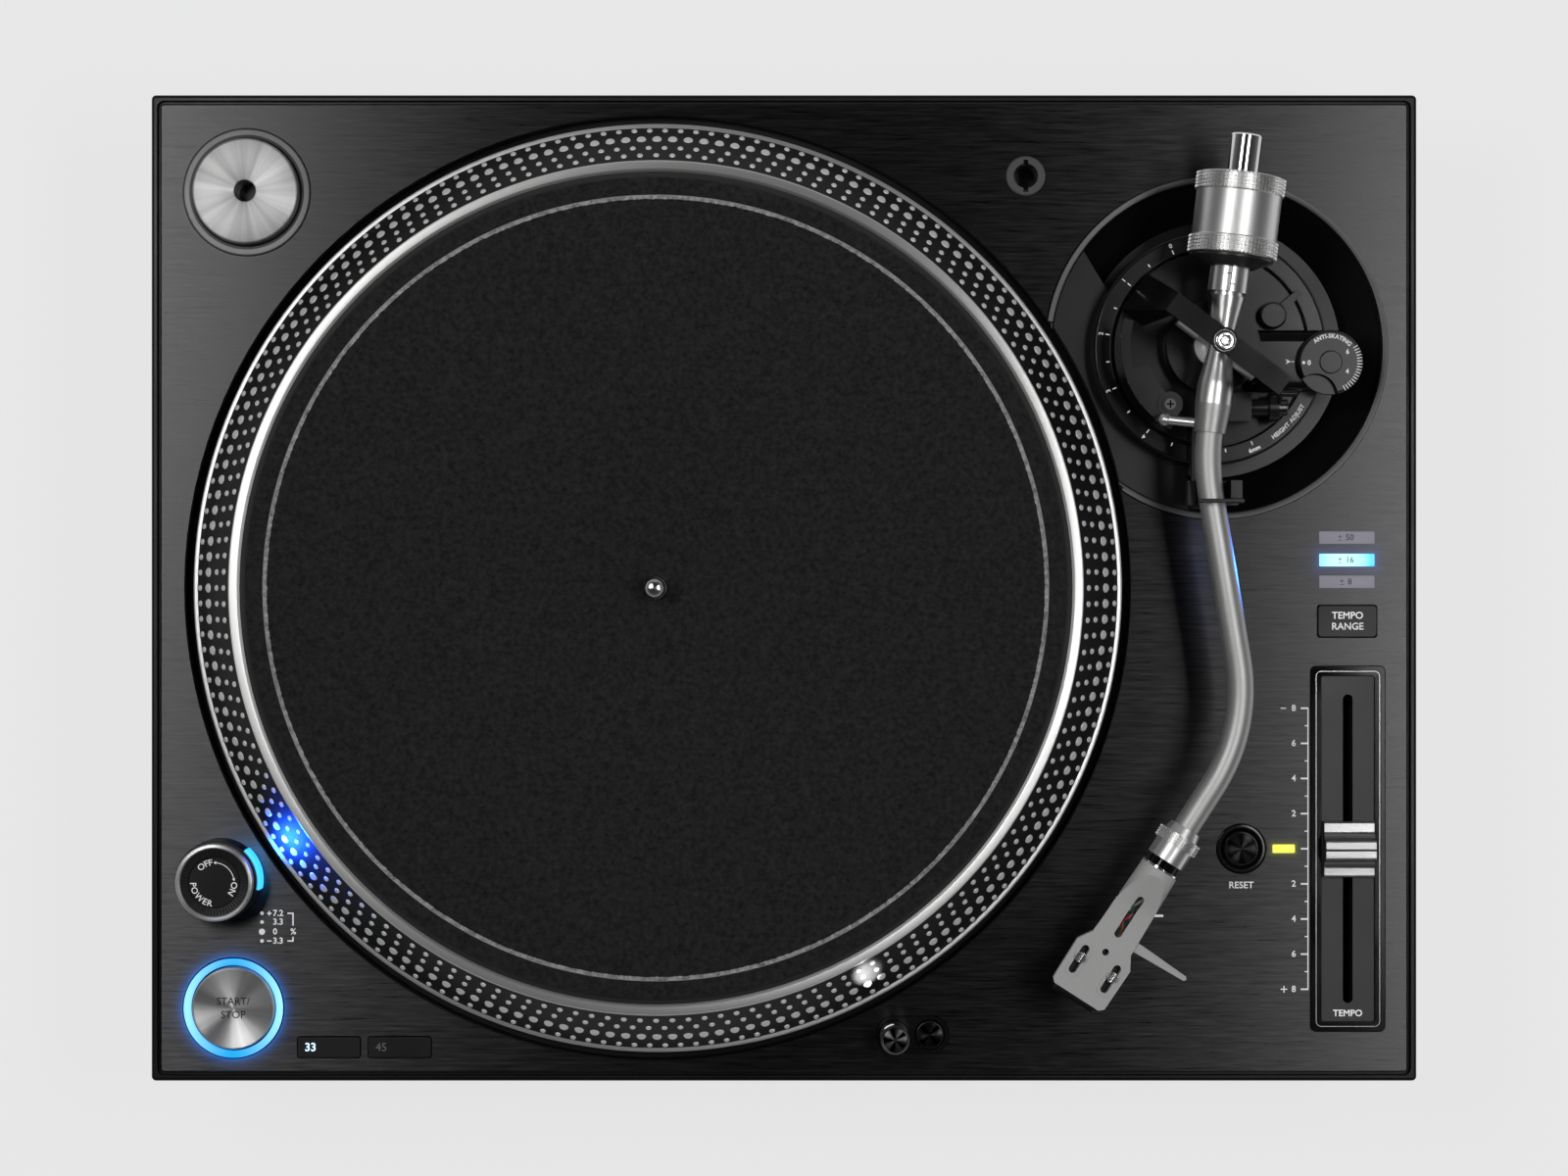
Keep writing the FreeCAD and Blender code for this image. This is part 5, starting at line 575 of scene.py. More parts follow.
def noise(tree, place, scale, detail, **more):
    inputs = {"Vector": place, "Scale": scale, "Detail": detail}
    inputs.update({key.capitalize(): value for key, value in more.items()})
    return node(tree, "TexNoise", inputs).outputs[0]


def swung(tree, base, amount, swing):
    """Value that rises and falls about its base as an amount does about one half."""
    return calc(tree, "ADD", base, calc(tree, "MULTIPLY", calc(tree, "SUBTRACT", amount, 0.5), swing))


def shade(tree, base, amount, contrast):
    """Base colour made lighter and darker by a value about one half."""
    return vmath(tree, "SCALE", base, scale=swung(tree, 1.0, amount, contrast))


def parts_of(tree, place):
    return node(tree, "SeparateXYZ", {0: place}).outputs


def from_axis(tree, place):
    """Parts of a place, its level part, and how far it lies from the upright axis."""
    parts = parts_of(tree, place)
    level = node(tree, "CombineXYZ", {0: parts[0], 1: parts[1]}).outputs[0]
    return parts, level, vmath(tree, "LENGTH", level, output="Value")


def colour_mix(tree, share, first, second):
    return node(tree, "Mix", {0: share, 6: first, 7: second}, data_type="RGBA").outputs[2]


def grain_group(name, inputs):
    """Group that takes a place and a colour and gives a colour, a roughness and a normal."""
    return new_group(name, [("Vector", "V", None), ("Colour", "C", None), *inputs],
                     [("Colour", "C"), ("Roughness", "F"), ("Normal", "V")])


def close_grain(tree, source, sink, tone, rough, height):
    """Send a grain's colour and roughness out of its group, with relief from a height."""
    relief = node(tree, "Bump", {"Strength": 1.0, "Distance": source.outputs["Relief"], "Height": height})
    for name, value in (("Colour", tone), ("Roughness", rough), ("Normal", relief.outputs[0])):
        tree.links.new(value, sink.inputs[name])
    return tree


def brushed_group():
    """Straight brush lines along X: colour, roughness and relief."""
    tree, source, sink = grain_group("Brushed grain", [
        ("Contrast", "F", 2.2), ("Roughness", "F", 0.35), ("Relief", "F", 0.00002)])
    fine, broad = [node(tree, "Mapping", {"Vector": source.outputs["Vector"], "Scale": scale}).outputs[0]
                   for scale in ((105, 2700, 2700), (42, 980, 980))]
    lines = noise(tree, fine, 1.0, 3.0, roughness=0.65)
    both = calc(tree, "ADD", calc(tree, "MULTIPLY", lines, 0.6),
                calc(tree, "MULTIPLY", noise(tree, broad, 1.0, 2.0), 0.4))
    tone = shade(tree, source.outputs["Colour"], both, source.outputs["Contrast"])
    return close_grain(tree, source, sink, tone, swung(tree, source.outputs["Roughness"], both, 0.5), both)


def turned_group():
    """Fine rings left by a lathe about the origin of the vector, and painted highlights: bright sunburst
    wedges and petals round the axis.
    """
    tree, source, sink = grain_group("Turned grain with painted sunburst", [
        ("Contrast", "F", 0.3), ("Roughness", "F", 0.3), ("Pitch", "F", 5200.0), ("Relief", "F", 0.000006),
        ("Wedges", "F", 0.25), ("Petals", "F", 0.0), ("Petal Depth", "F", 0.0)])
    given = source.outputs
    parts, level, reach = from_axis(tree, given["Vector"])
    place = calc(tree, "ADD", calc(tree, "MULTIPLY", reach, given["Pitch"]),
                 calc(tree, "MULTIPLY", parts[2], given["Pitch"]))
    rings = node(tree, "TexNoise", {"W": place, "Scale": 1.0, "Detail": 2.0},
                 noise_dimensions="1D").outputs[0]
    # Painted highlights: sunburst wedges and petals lighten and darken the colour by direction round the axis
    painted_sunburst = noise(tree, vmath(tree, "NORMALIZE", level), 2.6, 3.0, roughness=0.6)
    turn = calc(tree, "MULTIPLY", calc(tree, "ARCTAN2", parts[1], parts[0]), given["Petals"])
    painted_petal = calc(tree, "ADD", calc(tree, "MULTIPLY", calc(tree, "COSINE", turn), 0.5), 0.5)
    tone = given["Colour"]
    for amount, contrast in ((rings, "Contrast"), (painted_sunburst, "Wedges"), (painted_petal, "Petal Depth")):
        tone = shade(tree, tone, amount, given[contrast])
    return close_grain(tree, source, sink, tone, swung(tree, given["Roughness"], rings, 0.25), rings)


def speckled_group():
    """Fine grain of paint or moulded plastic, with a faint smudge."""
    tree, source, sink = grain_group("Speckled skin", [
        ("Contrast", "F", 0.4), ("Roughness", "F", 0.45), ("Grain", "F", 2600.0), ("Relief", "F", 0.00002)])
    given = source.outputs
    grain = noise(tree, given["Vector"], given["Grain"], 2.0)
    smudge = noise(tree, given["Vector"], 26.0, 4.0)
    tone = shade(tree, given["Colour"], grain, given["Contrast"])
    return close_grain(tree, source, sink, tone, swung(tree, given["Roughness"], smudge, 0.22), grain)


def halo_group():
    """Light that fades with the distance from a lit shape with a round or square outline."""
    tree, source, sink = new_group("Halo", [
        ("Vector", "V", None), ("Centre", "V", None), ("Half Size", "V", None), ("Radius", "F", 0.0),
        ("Reach", "F", 0.002), ("Colour", "C", None)], [("Glow", "C")])
    given = source.outputs
    offset = vmath(tree, "SUBTRACT", given["Vector"], given["Centre"])
    beyond = vmath(tree, "SUBTRACT", vmath(tree, "ABSOLUTE", offset), given["Half Size"])
    reach = vmath(tree, "LENGTH", vmath(tree, "MAXIMUM", beyond, (0, 0, 0)), output="Value")
    away = calc(tree, "MAXIMUM", calc(tree, "SUBTRACT", reach, given["Radius"]), 0.0)
    fade = calc(tree, "EXPONENT", calc(tree, "MULTIPLY", calc(tree, "DIVIDE", away, given["Reach"]), -1.0))
    tree.links.new(vmath(tree, "SCALE", given["Colour"], scale=fade), sink.inputs["Glow"])
    return tree


def felt_group():
    """Felt: matted fibres with a soft nap and one printed ring."""
    tree, source, sink = grain_group("Felt", [
        ("Ring Colour", "C", None), ("Ring", "F", 0.1378), ("Ring Width", "F", 0.00165),
        ("Relief", "F", 0.0005)])
    given = source.outputs
    fibres = noise(tree, given["Vector"], 1900.0, 4.0, roughness=0.7, distortion=1.2)
    clumps = noise(tree, given["Vector"], 560.0, 3.0)
    nap = calc(tree, "ADD", calc(tree, "MULTIPLY", fibres, 0.5), calc(tree, "MULTIPLY", clumps, 0.5))
    ragged = swung(tree, from_axis(tree, given["Vector"])[2], nap, 0.0011)
    away = calc(tree, "ABSOLUTE", calc(tree, "SUBTRACT", ragged, given["Ring"]))
    inside = calc(tree, "SUBTRACT", calc(tree, "DIVIDE", given["Ring Width"], 2.0), away)
    mask = node(tree, "Clamp", {0: calc(tree, "MULTIPLY", inside, 6000.0)}).outputs[0]
    tone = shade(tree, colour_mix(tree, mask, given["Colour"], given["Ring Colour"]), nap, 4.6)
    rough = calc(tree, "ADD", 0.85, calc(tree, "MULTIPLY", nap, 0.15))
    return close_grain(tree, source, sink, tone, rough, nap)


MAKERS = {"brushed": brushed_group, "turned": turned_group, "speckled": speckled_group, "halo": halo_group,
          "felt": felt_group}
GROUPS = {}
FINISHES = {}


def group(kind):
    """Shared node group, made once."""
    if kind not in GROUPS:
        GROUPS[kind] = MAKERS[kind]()
    return GROUPS[kind]


# Finishes

def principled(material):
    return material.node_tree.nodes["Principled BSDF"]


def object_place(tree, centre):
    """Object coordinates about a place in millimetres."""
    coordinates = node(tree, "TexCoord")
    return node(tree, "Mapping", {"Vector": coordinates.outputs["Object"],
                                  "Location": tuple(value * MM for value in centre)},
                vector_type="TEXTURE").outputs[0]


def finish(name, kind, base, centre=(0, 0, 0), metallic=0.0, specular=0.5, **values):
    """Material whose grain comes from a shared group, made once per name; a single number is a grey."""
    if name in FINISHES:
        return FINISHES[name]
    material = bpy.data.materials.new(name)
    material.use_nodes = True
    tree, shader = material.node_tree, principled(material)
    shader.inputs["Metallic"].default_value = metallic
    shader.inputs["Specular IOR Level"].default_value = specular
    tint = (base,) * 3 if isinstance(base, float) else base
    grain = node(tree, "Group", {}, node_tree=group(kind))
    tree.links.new(object_place(tree, centre), grain.inputs["Vector"])
    for key, value in {"Colour": (*tint, 1), **values}.items():
        grain.inputs[key.replace("_", " ")].default_value = value
    for entry, output in (("Base Color", "Colour"), ("Roughness", "Roughness"), ("Normal", "Normal")):
        tree.links.new(grain.outputs[output], shader.inputs[entry])
    FINISHES[name] = material
    return material


def skin(name, base, roughness=0.45, contrast=0.4, relief=0.00002, grain=2600.0, **more):
    """Paint, plastic or plain metal with a fine grain."""
    return finish(name, "speckled", base, Roughness=roughness, Contrast=contrast, Relief=relief, Grain=grain,
                  **more)


def metal(name, base, roughness, contrast=0.12, relief=0.000004, metallic=1.0):
    return skin(name, base, roughness, contrast, relief, metallic=metallic)


def sheen_black(name, roughness, base=None):
    return skin(name, base or colours().moulding, roughness, 0.3, 0.000006, specular=0.3)


def turned_metal(name, base, place, roughness=0.4, contrast=0.25, painted_sunburst=0.0, painted_petals=(0, 0.0)):
    """Lathe-turned metal about an upright line; the sunburst amount and the petals, given by number and
    depth, are painted highlights.
    """
    if name in FINISHES:
        return FINISHES[name]
    material = finish(name, "turned", base, (place.x, place.y, 0), metallic=1.0, Roughness=roughness,
                      Contrast=contrast, Wedges=painted_sunburst, Petals=painted_petals[0], Petal_Depth=painted_petals[1])
    tree, shader = material.node_tree, principled(material)
    shader.inputs["Anisotropic"].default_value = 0.85
    shader.inputs["Anisotropic Rotation"].default_value = 0.25
    tangent = node(tree, "Tangent", direction_type="RADIAL", axis="Z")
    tree.links.new(tangent.outputs[0], shader.inputs["Tangent"])
    return material


def lit(material, tint, strength=1.0):
    """Give a material light of its own, from a colour or a socket."""
    shader = principled(material)
    if isinstance(tint, bpy.types.NodeSocket):
        material.node_tree.links.new(tint, shader.inputs["Emission Color"])
    else:
        shader.inputs["Emission Color"].default_value = (*tint, 1)
    shader.inputs["Emission Strength"].default_value = strength
    return material


def glowing(name, base, strength):
    """Lit lamp, whose paint is half as bright as its light's colour."""
    return lit(skin(name, tuple(value * 0.5 for value in base), grain=900.0), base, strength)


def colours():
    return bpy.context.scene.deck_colours


def sizes():
    return bpy.context.scene.deck_sizes


def black_gloss():
    return skin("black gloss", colours().gloss, 0.10, 0.2, 0.000003, specular=0.2)


def bright_metal():
    return metal("bright metal", colours().bright, 0.14, 0.05, 0.000001)


def white_print():
    """White ink with a faint light of its own, so that it reads in the deck's dim corners."""
    return lit(skin("white print", colours().print_white, 0.5, 0.1, 0.000002), (1, 1, 1), 0.22)


def brushed_black():
    """Brushed and blackened sheet: long streaks, with highlights drawn out across them."""
    if "brushed black" in FINISHES:
        return FINISHES["brushed black"]
    material = finish("brushed black", "brushed", colours().panel, metallic=1.0)
    tree, shader = material.node_tree, principled(material)
    shader.inputs["Anisotropic"].default_value = 0.9
    along = node(tree, "CombineXYZ", {1: 1.0})
    tree.links.new(along.outputs[0], shader.inputs["Tangent"])
    lamp = Vector((RANGE_LAMP_X, RANGE_LAMP_Y[1], DECK))
    zero = Vector((ZERO_LAMP_X, middle("reset_button").y, DECK))
    return haloed(material, [
        (middle("start_stop_ring"), (0, 0), width("start_stop_ring") / 2, 1.3, (0.0, 0.10, 0.42, 1)),
        (middle("strobe_window"), (2, 2), 3.0, 3.0, (0.0, 0.05, 0.16, 1)),
        (lamp, (9.9, 2.2), 0.0, 1.5, (0.01, 0.03, 0.15, 1)),
        (zero, (4, 1.5), 0.0, 0.7, (0.12, 0.12, 0.0, 1))])


def haloed(material, halos):
    """Add light spill round lamps, from (place, half size, radius, reach, colour) rows in millimetres."""
    tree = material.node_tree
    coordinates = node(tree, "TexCoord")
    total = None
    for place, half, radius, reach, tint in halos:
        halo = node(tree, "Group", {}, node_tree=group("halo"))
        tree.links.new(coordinates.outputs["Object"], halo.inputs["Vector"])
        for key, value in (("Centre", tuple(part * MM for part in place)),
                           ("Half Size", (half[0] * MM, half[1] * MM, 1.0)), ("Radius", radius * MM),
                           ("Reach", reach * MM), ("Colour", tint)):
            halo.inputs[key].default_value = value
        glow = halo.outputs["Glow"]
        total = glow if total is None else vmath(tree, "ADD", total, glow)
    return lit(material, total)


class Undoable:
    """What Blender may do with each of the makers below."""
    bl_options = {"REGISTER", "UNDO"}


# The case

class DECK_OT_case(Undoable, bpy.types.Operator):
    """Finish the base, the chassis, the top panel and what lies inside them"""
    bl_idname = "deck.case"
    bl_label = "Case"

    def execute(self, context):
        casting = colours().casting
        painted("isolation_base", skin("base skin", casting, 0.55, relief=0.00004))
        painted("bottom_cover", skin("cover sheet", (0.03, 0.03, 0.031), 0.5))
        painted("chassis_casting", skin("painted casting", casting, 0.34, relief=0.000008, specular=0.25))
        painted("deck_plate", brushed_black())
        painted("circuit_boards", skin("board", (0.02, 0.12, 0.05), 0.4))
        for name, label, base, roughness in (
                ("case_screws", "screw steel", 0.5, 0.3),
                ("signal_jacks", "jack plating", (0.72, 0.60, 0.34), 0.22),
                ("power_supply", "supply tin", (0.55, 0.55, 0.54), 0.4),
                ("bearing_housing", "bearing brass", (0.6, 0.48, 0.28), 0.35),
                ("motor_stator", "stator steel", (0.35, 0.34, 0.33), 0.45),
                ("rotor_magnet", "magnet", (0.16, 0.16, 0.165), 0.5)):
            painted(name, metal(label, base, roughness))
        for name, label, roughness, base in (
                ("jack_panel", "panel plastic", 0.5, None), ("power_inlet", "inlet plastic", 0.38, None),
                ("fader_unit", "fader plastic", 0.5, 0.003), ("tonearm_well", "well paint", 0.30, casting)):
            painted(name, sheen_black(label, roughness, base))
        # A grey metal ring over the well's black lip is a painted highlight along its rounded edge.
        lip = top("tonearm_well")
        ring = spun([(58.8, lip - 1.2), (59.3, lip - 0.25), (60.1, lip + 0.02), (61.15, lip + 0.02),
                     (61.15, lip - 0.1), (59.7, lip - 1.2)], 160, closed=True)
        near = [vert for vert in ring.verts
                if math.hypot(vert.co.x + WELL[0] - PLATTER.x, vert.co.y + WELL[1] - PLATTER.y) < PLATTER_GAP]
        bmesh.ops.delete(ring, geom=near, context="VERTS")
        piece(ring, "well_lip_highlight", "case", slot_of("tonearm_well"), metal("lip grey", (0.11, 0.11, 0.112), 0.5),
              place=WELL)
        strobe_legend()
        deck_print([bar(132.4, -117.3, 135.7, -117.3, 0.85)], "rest_tick")
        return {"FINISHED"}


def flat_dot(radius, x, y, steps):
    half = PAINT_THICK / 2
    return moved(spun([(0, -half), (radius, -half), (radius, half), (0, half)], steps), at(x, y))


def strobe_legend():
    """What the four rows of dots stand for, printed on the top panel."""
    parts = [word("%", 2.1, -175.6, -123.0, bold=0.05)]
    for y, digits, sign, dot in ((-116.4, "7.2", "+", 0.66), (-119.5, "3.3", "", 0.66),
                                 (-123.0, "0", "", 1.1), (-126.3, "3.3", "-", 0.66)):
        parts += [flat_dot(dot, -186.8, y, 24), word(digits, 2.15, -182.9, y, "LEFT", 0.07)]
        if sign:
            parts.append(bar(-185.0, y, -183.4, y, 0.45))
        if sign == "+":
            parts.append(bar(-184.2, y - 0.8, -184.2, y + 0.8, 0.45))
    for line in ((-177.7, -116.4, -175.5, -116.4), (-175.7, -116.2, -175.7, -120.8),
                 (-175.7, -124.8, -175.7, -126.5), (-177.7, -126.3, -175.5, -126.3)):
        parts.append(bar(*line, 0.5))
    deck_print(parts, "strobe_legend")


# The platter

def felt():
    ring = sizes().mat_ring, sizes().mat_ring_width
    cloth = finish("black felt", "felt", colours().felt, PLATTER, specular=0.2,
                   Ring_Colour=(*colours().print_grey, 1), Ring=ring[0] * MM, Ring_Width=ring[1] * MM)
    principled(cloth).inputs["Sheen Weight"].default_value = 0.06
    principled(cloth).inputs["Sheen Roughness"].default_value = 0.5
    return cloth


class DECK_OT_platter(Undoable, bpy.types.Operator):
    """Make the platter with its four rows of strobe dots and its spindle"""
    bl_idname = "deck.platter"
    bl_label = "Platter"

    def execute(self, context):
        flange = bottom("platter")
        rim = top("platter")
        radius = depth("platter") / 2
        web = rim - 5.5
        cone_base, cone_top = radius - 1.5, radius - 15.4
        cone_low = flange + 3.8
        profile = [(4.05, web - 2.5), (14, web - 2.5), (14, web), (cone_top - 6.5, web),
                   (cone_base - 8, cone_low), (cone_base - 8, flange), (radius - 0.4, flange),
                   (radius, flange + 0.4), (radius, cone_low - 0.5), (radius - 0.5, cone_low),
                   (cone_base, cone_low), (cone_top + 0.25, rim - 0.32), (cone_top - 0.12, rim - 0.06),
                   (cone_top - 0.4, rim), (cone_top - 2.45, rim), (cone_top - 2.75, rim - 0.1),
                   (cone_top - 3.6, rim - 1), (4.05, rim - 1)]
        black = skin("platter black", (0.008, 0.008, 0.009), 0.5, 1.6, 0.00003, 1300.0, specular=0.3)
        bright = turned_metal("platter rim", colours().bright, PLATTER, 0.42, 0.08)
        disc = stand_in(spun(profile, 288, closed=True), "platter_turned", "platter", [black, bright],
                        smooth=math.radians(20), place=PLATTER)
        for face in disc.data.polygons:
            place = face.center / MM - PLATTER
            reach, height = math.hypot(place.x, place.y), face.center.z / MM
            on_top = cone_top - 3.7 < reach < cone_top + 0.3 and height > rim - 1.2
            on_flange = reach > cone_base and height > flange + 0.3
            face.material_index = 1 if on_top or on_flange else 0

        lean = math.pi / 2 - math.atan2(rim - cone_low, cone_base - cone_top)
        big, small, stand = sizes().dot_big, sizes().dot_small, sizes().dot_height
        rows = []
        # How far up the bevel a row lies, how many dots it has, and how wide they are
        for share, count, across in ((0.0917, 186, small), (0.3597, 180, big), (0.6187, 174, small),
                                     (0.8417, 168, small)):
            half = across / 2
            dot = spun([(0, stand), (half * 0.72, stand), (half, stand * 0.35), (half, -0.5)], 12)
            place = at(cone_base + (cone_top - cone_base) * share, 0, cone_low + (rim - cone_low) * share)
            rows.append(all_round(moved(dot, place @ Matrix.Rotation(lean, 4, "Y")), count))
        piece(merged(*rows), "strobe_dots", "platter", "bright_steel",
              metal("dot metal", 0.86, 0.5, metallic=0.45), place=PLATTER)

        low, tip, mat_top = bottom("spindle"), top("spindle"), top("slipmat")
        pin = spun([(0, low), (3.6, low), (4, low + 0.4), (4, mat_top - 0.4), (3.6, mat_top),
                    (3.6, tip - 2.6), (3.45, tip - 1.6), (3.0, tip - 0.8), (2.2, tip - 0.25),
                    (1.1, tip - 0.04), (0, tip)], 48)
        place = middle("spindle")
        piece(pin, "spindle_pin", "platter", "bright_steel",
              turned_metal("spindle steel", colours().bright, place, 0.16, 0.05), ["spindle"], place=place)
        return {"FINISHED"}


class DECK_OT_slipmat(Undoable, bpy.types.Operator):
    """Lay the felt slipmat on the platter"""
    bl_idname = "deck.slipmat"
    bl_label = "Slipmat"

    def execute(self, context):
        low, high = bottom("slipmat"), top("slipmat")
        radius = depth("slipmat") / 2
        hole = 4.3
        profile = [(hole, low), (radius - 0.3, low), (radius, low + 0.5), (radius, high - 0.75),
                   (radius - 0.25, high - 0.22), (radius - 0.75, high), (hole + 0.4, high),
                   (hole, high - 0.4)]
        mat = stand_in(spun(profile, 240, closed=True), "slipmat_felt", "slipmat", felt(),
                       smooth=math.radians(60), place=middle("slipmat"))
        return {"FINISHED"}


# The adapter

class DECK_OT_adapter(Undoable, bpy.types.Operator):
    """Make the large-hole adapter and the cup it lies in"""
    bl_idname = "deck.adapter"
    bl_label = "Adapter"

    def execute(self, context):
        low, high = bottom("adapter_45"), top("adapter_45")
        radius = depth("adapter_45") / 2
        bore = 3.8
        profile = [(bore, low), (radius - 0.3, low), (radius, low + 0.3), (radius, high - 1.0),
                   (radius - 0.12, high - 0.5), (radius - 0.45, high - 0.14), (radius - 0.9, high),
                   (bore + 0.6, high), (bore + 0.15, high - 0.15), (bore, high - 0.6)]
        place = middle("adapter_45")
        # The adapter's metal carries painted sunburst highlights.
        stand_in(spun(profile, 128, closed=True), "adapter_turned", "adapter_45",
                 turned_metal("adapter metal", (0.30, 0.30, 0.298), place, 0.4, 0.12, 1.4), place=place)
        floor, high = bottom("adapter_cup"), top("adapter_cup")
        outer = width("adapter_cup") / 2
        profile = [(0, floor), (21.4, floor), (21.4, DECK - 2), (outer, DECK - 2), (outer, high - 0.15),
                   (outer - 0.15, high), (outer - 0.6, high), (outer - 0.75, high - 0.12),
                   (20.6, high - 0.12), (20.45, high), (19.6, high), (19.4, high - 0.2),
                   (19.4, floor + 2.5), (0, floor + 2.5)]
        place = middle("adapter_cup")
        stand_in(spun(profile, 128), "adapter_cup_ring", "adapter_cup", sheen_black("cup plastic", 0.4),
                 place=place)
        ring = spun([(20.5, high - 0.2), (22.2, high - 0.2), (22.2, high), (20.5, high)], 128, closed=True)
        piece(ring, "adapter_trim", "case", "dark_metal", metal("trim grey", (0.12, 0.12, 0.122), 0.45),
              place=place)
        return {"FINISHED"}


# Power and strobe tower

def ribs(inner, outer, low, high, count, share):
    """Radial ribs on a level face."""
    reach = (inner + outer) / 2
    return all_round(block(reach, 0, outer - inner, math.tau * reach / count * share, low, high), count)


def sector_block(inner, outer, start, end, low, high, step=4):
    """Upright block between two radii and two directions in degrees."""
    steps = max(6, int(abs(end - start) / step))
    angles = [math.radians(start + (end - start) * index / steps) for index in range(steps + 1)]
    near, far = [[(reach * math.cos(angle), reach * math.sin(angle)) for angle in angles]
                 for reach in (inner, outer)]
    return slab(near + far[::-1], low, high)


def arrow_arc(radius, start, end, wide, head, low, high):
    """Arc with an arrow head at both ends, from a start to an end direction in degrees."""
    parts = [sector_block(radius - wide / 2, radius + wide / 2, start, end, low, high, 5)]
    onward = 1 if end > start else -1
    for direction, way in ((start, -onward), (end, onward)):
        angle = math.radians(direction)
        side = Vector((math.cos(angle), math.sin(angle)))
        along = Vector((-side.y, side.x)) * way
        corners = [side * (radius - head * 0.6), side * (radius + head * 0.6), side * radius + along * head]
        parts.append(slab([tuple(corner) for corner in corners], low, high))
    return merged(*parts)


class DECK_OT_power(Undoable, bpy.types.Operator):
    """Make the strobe tower, its lit window and the turning power knob"""
    bl_idname = "deck.power"
    bl_label = "Power knob"

    def execute(self, context):
        place = joint_place("power_turn")
        low, high = KNOB_LOW, top("power_knob")
        radius = width("power_knob") / 2
        profile = [(0, low), (radius - 0.3, low), (radius, low + 0.3), (radius, high - 0.6),
                   (radius - 0.25, high - 0.18), (radius - 0.7, high), (radius - 1.25, high),
                   (radius - 1.5, high - 0.2), (radius - 1.75, high - 0.7)]
        shaft = spun([(0, KNOB_SHAFT_LOW), (3, KNOB_SHAFT_LOW), (3, low), (0, low)], 32)
        knob = merged(spun(profile, 128), shaft)
        stand_in(knob, "power_knob_ring", "power_knob", turned_metal("knob metal", 0.6, place, 0.38, 0.1),
                 place=place)
        face = spun([(radius - 1.7, high - 0.45), (radius - 1.9, high - 0.5), (11.8, high - 0.75),
                     (9.2, high - 0.95), (8.9, high - 0.75), (0, high - 0.7)], 128)
        face = merged(face, ribs(9.4, 11.9, high - 1.2, high - 0.55, 60, 0.42))
        piece(face, "power_knob_face", "power_knob", "black_gloss",
              sheen_black("knob black", 0.3, (0.004, 0.004, 0.0045)), place=place)
        words = [on_arc(word("OFF", 2.2, bold=0.03), 7.1, 117), on_arc(word("ON", 2.2, bold=0.03), 7.0, -18),
                 on_arc(word("POWER", 2.2, bold=0.03, spacing=1.05), 7.5, 222, inward=True),
                 arrow_arc(7.1, 84, 12, 0.26, 0.95, -PAINT_THICK / 2, PAINT_THICK / 2)]
        printed(words, high - 0.7, "power_lettering", "power_knob", "black_gloss", place=place)
        painted("power_tower", sheen_black("tower plastic", 0.34))

        low, high = bottom("strobe_window"), top("strobe_window")
        lens = ease(sector_block(12.6, 15.5, -12, 48, low + 0.3, high - 0.3), 0.35, 2, 40)
        stand_in(lens, "strobe_lens", "strobe_window", glowing("window blue", (0.05, 0.56, 1.0), 1.25),
                 place=place)
        ahead = Matrix.Rotation(math.radians(STROBE_WAY), 3, "Z") @ Vector((1, 0, 0))
        beam = soft_box("strobe beam", Vector((place.x, place.y, high - 3)) * MM + ahead * 15.9 * MM,
                        Vector((place.x, place.y, high - 1)) * MM + ahead * 60 * MM, 0.008, 0.006, 0.04,
                        (0.01, 0.08, 1.0))
        beam.data.spread = math.radians(110)
        return {"FINISHED"}


# Start and stop

class DECK_OT_start_stop(Undoable, bpy.types.Operator):
    """Make the start and stop button in its lit ring"""
    bl_idname = "deck.start_stop"
    bl_label = "Start and stop"

    def execute(self, context):
        place = middle("start_stop_button")
        low, high = bottom("start_stop_button"), top("start_stop_button")
        radius = width("start_stop_button") / 2
        body = spun([(0, KEY_LOW), (radius, KEY_LOW), (radius, high - 0.5), (radius - 0.12, high - 0.22),
                     (radius - 0.4, high), (radius - 0.9, high), (radius - 1.1, high - 0.1),
                     (0, high - 0.1)], 128)
        # The button's metal carries painted sunburst highlights.
        stand_in(merged(body, stem(low)), "start_stop_cap", "start_stop_button",
                 turned_metal("button metal", 0.5, place, 0.4, 0.15, 0.8), place=place)
        cap = sizes().letter
        words = [word(text, cap, place.x, place.y + up, bold=0.03)
                 for text, up in (("START/", 2.4), ("STOP", -2.4))]
        printed(words, high - 0.1, "start_stop_lettering", "start_stop_button", "dark_metal",
                sheen_black("dark print", 0.5, (0.02, 0.02, 0.022)))
        low, high = bottom("start_stop_ring"), top("start_stop_ring")
        inner, outer = 15.3, width("start_stop_ring") / 2
        lamp = spun([(inner, high - 2.2), (outer - 0.35, high - 2.2), (outer - 0.35, high - 0.2),
                     (outer - 0.7, high), (inner + 0.3, high), (inner, high - 0.3)], 128, closed=True)
        stand_in(lamp, "start_stop_light", "start_stop_ring", lit_ring_material(place), place=place)
        collar = spun([(inner, low), (17, low), (17, DECK - 2), (outer, DECK - 2), (outer, high - 0.35),
                       (outer - 0.3, high - 0.2), (outer - 0.34, high - 2.3), (inner, high - 2.3)], 128,
                      closed=True)
        piece(collar, "start_stop_collar", "case", "black_gloss", black_gloss(), place=place)
        return {"FINISHED"}


def lit_ring_material(place):
    """Blue ring, paler towards its two sides."""
    material = skin("ring blue", colours().blue, grain=900.0)
    tree = material.node_tree
    parts = parts_of(tree, object_place(tree, (place.x, place.y, 0)))
    sideways = calc(tree, "ABSOLUTE", calc(tree, "DIVIDE", parts[0], 0.0165))
    share = calc(tree, "POWER", sideways, 1.6)
    return lit(material, colour_mix(tree, share, (0.004, 0.26, 0.80, 1), (0.36, 0.76, 0.95, 1)))


# Small controls

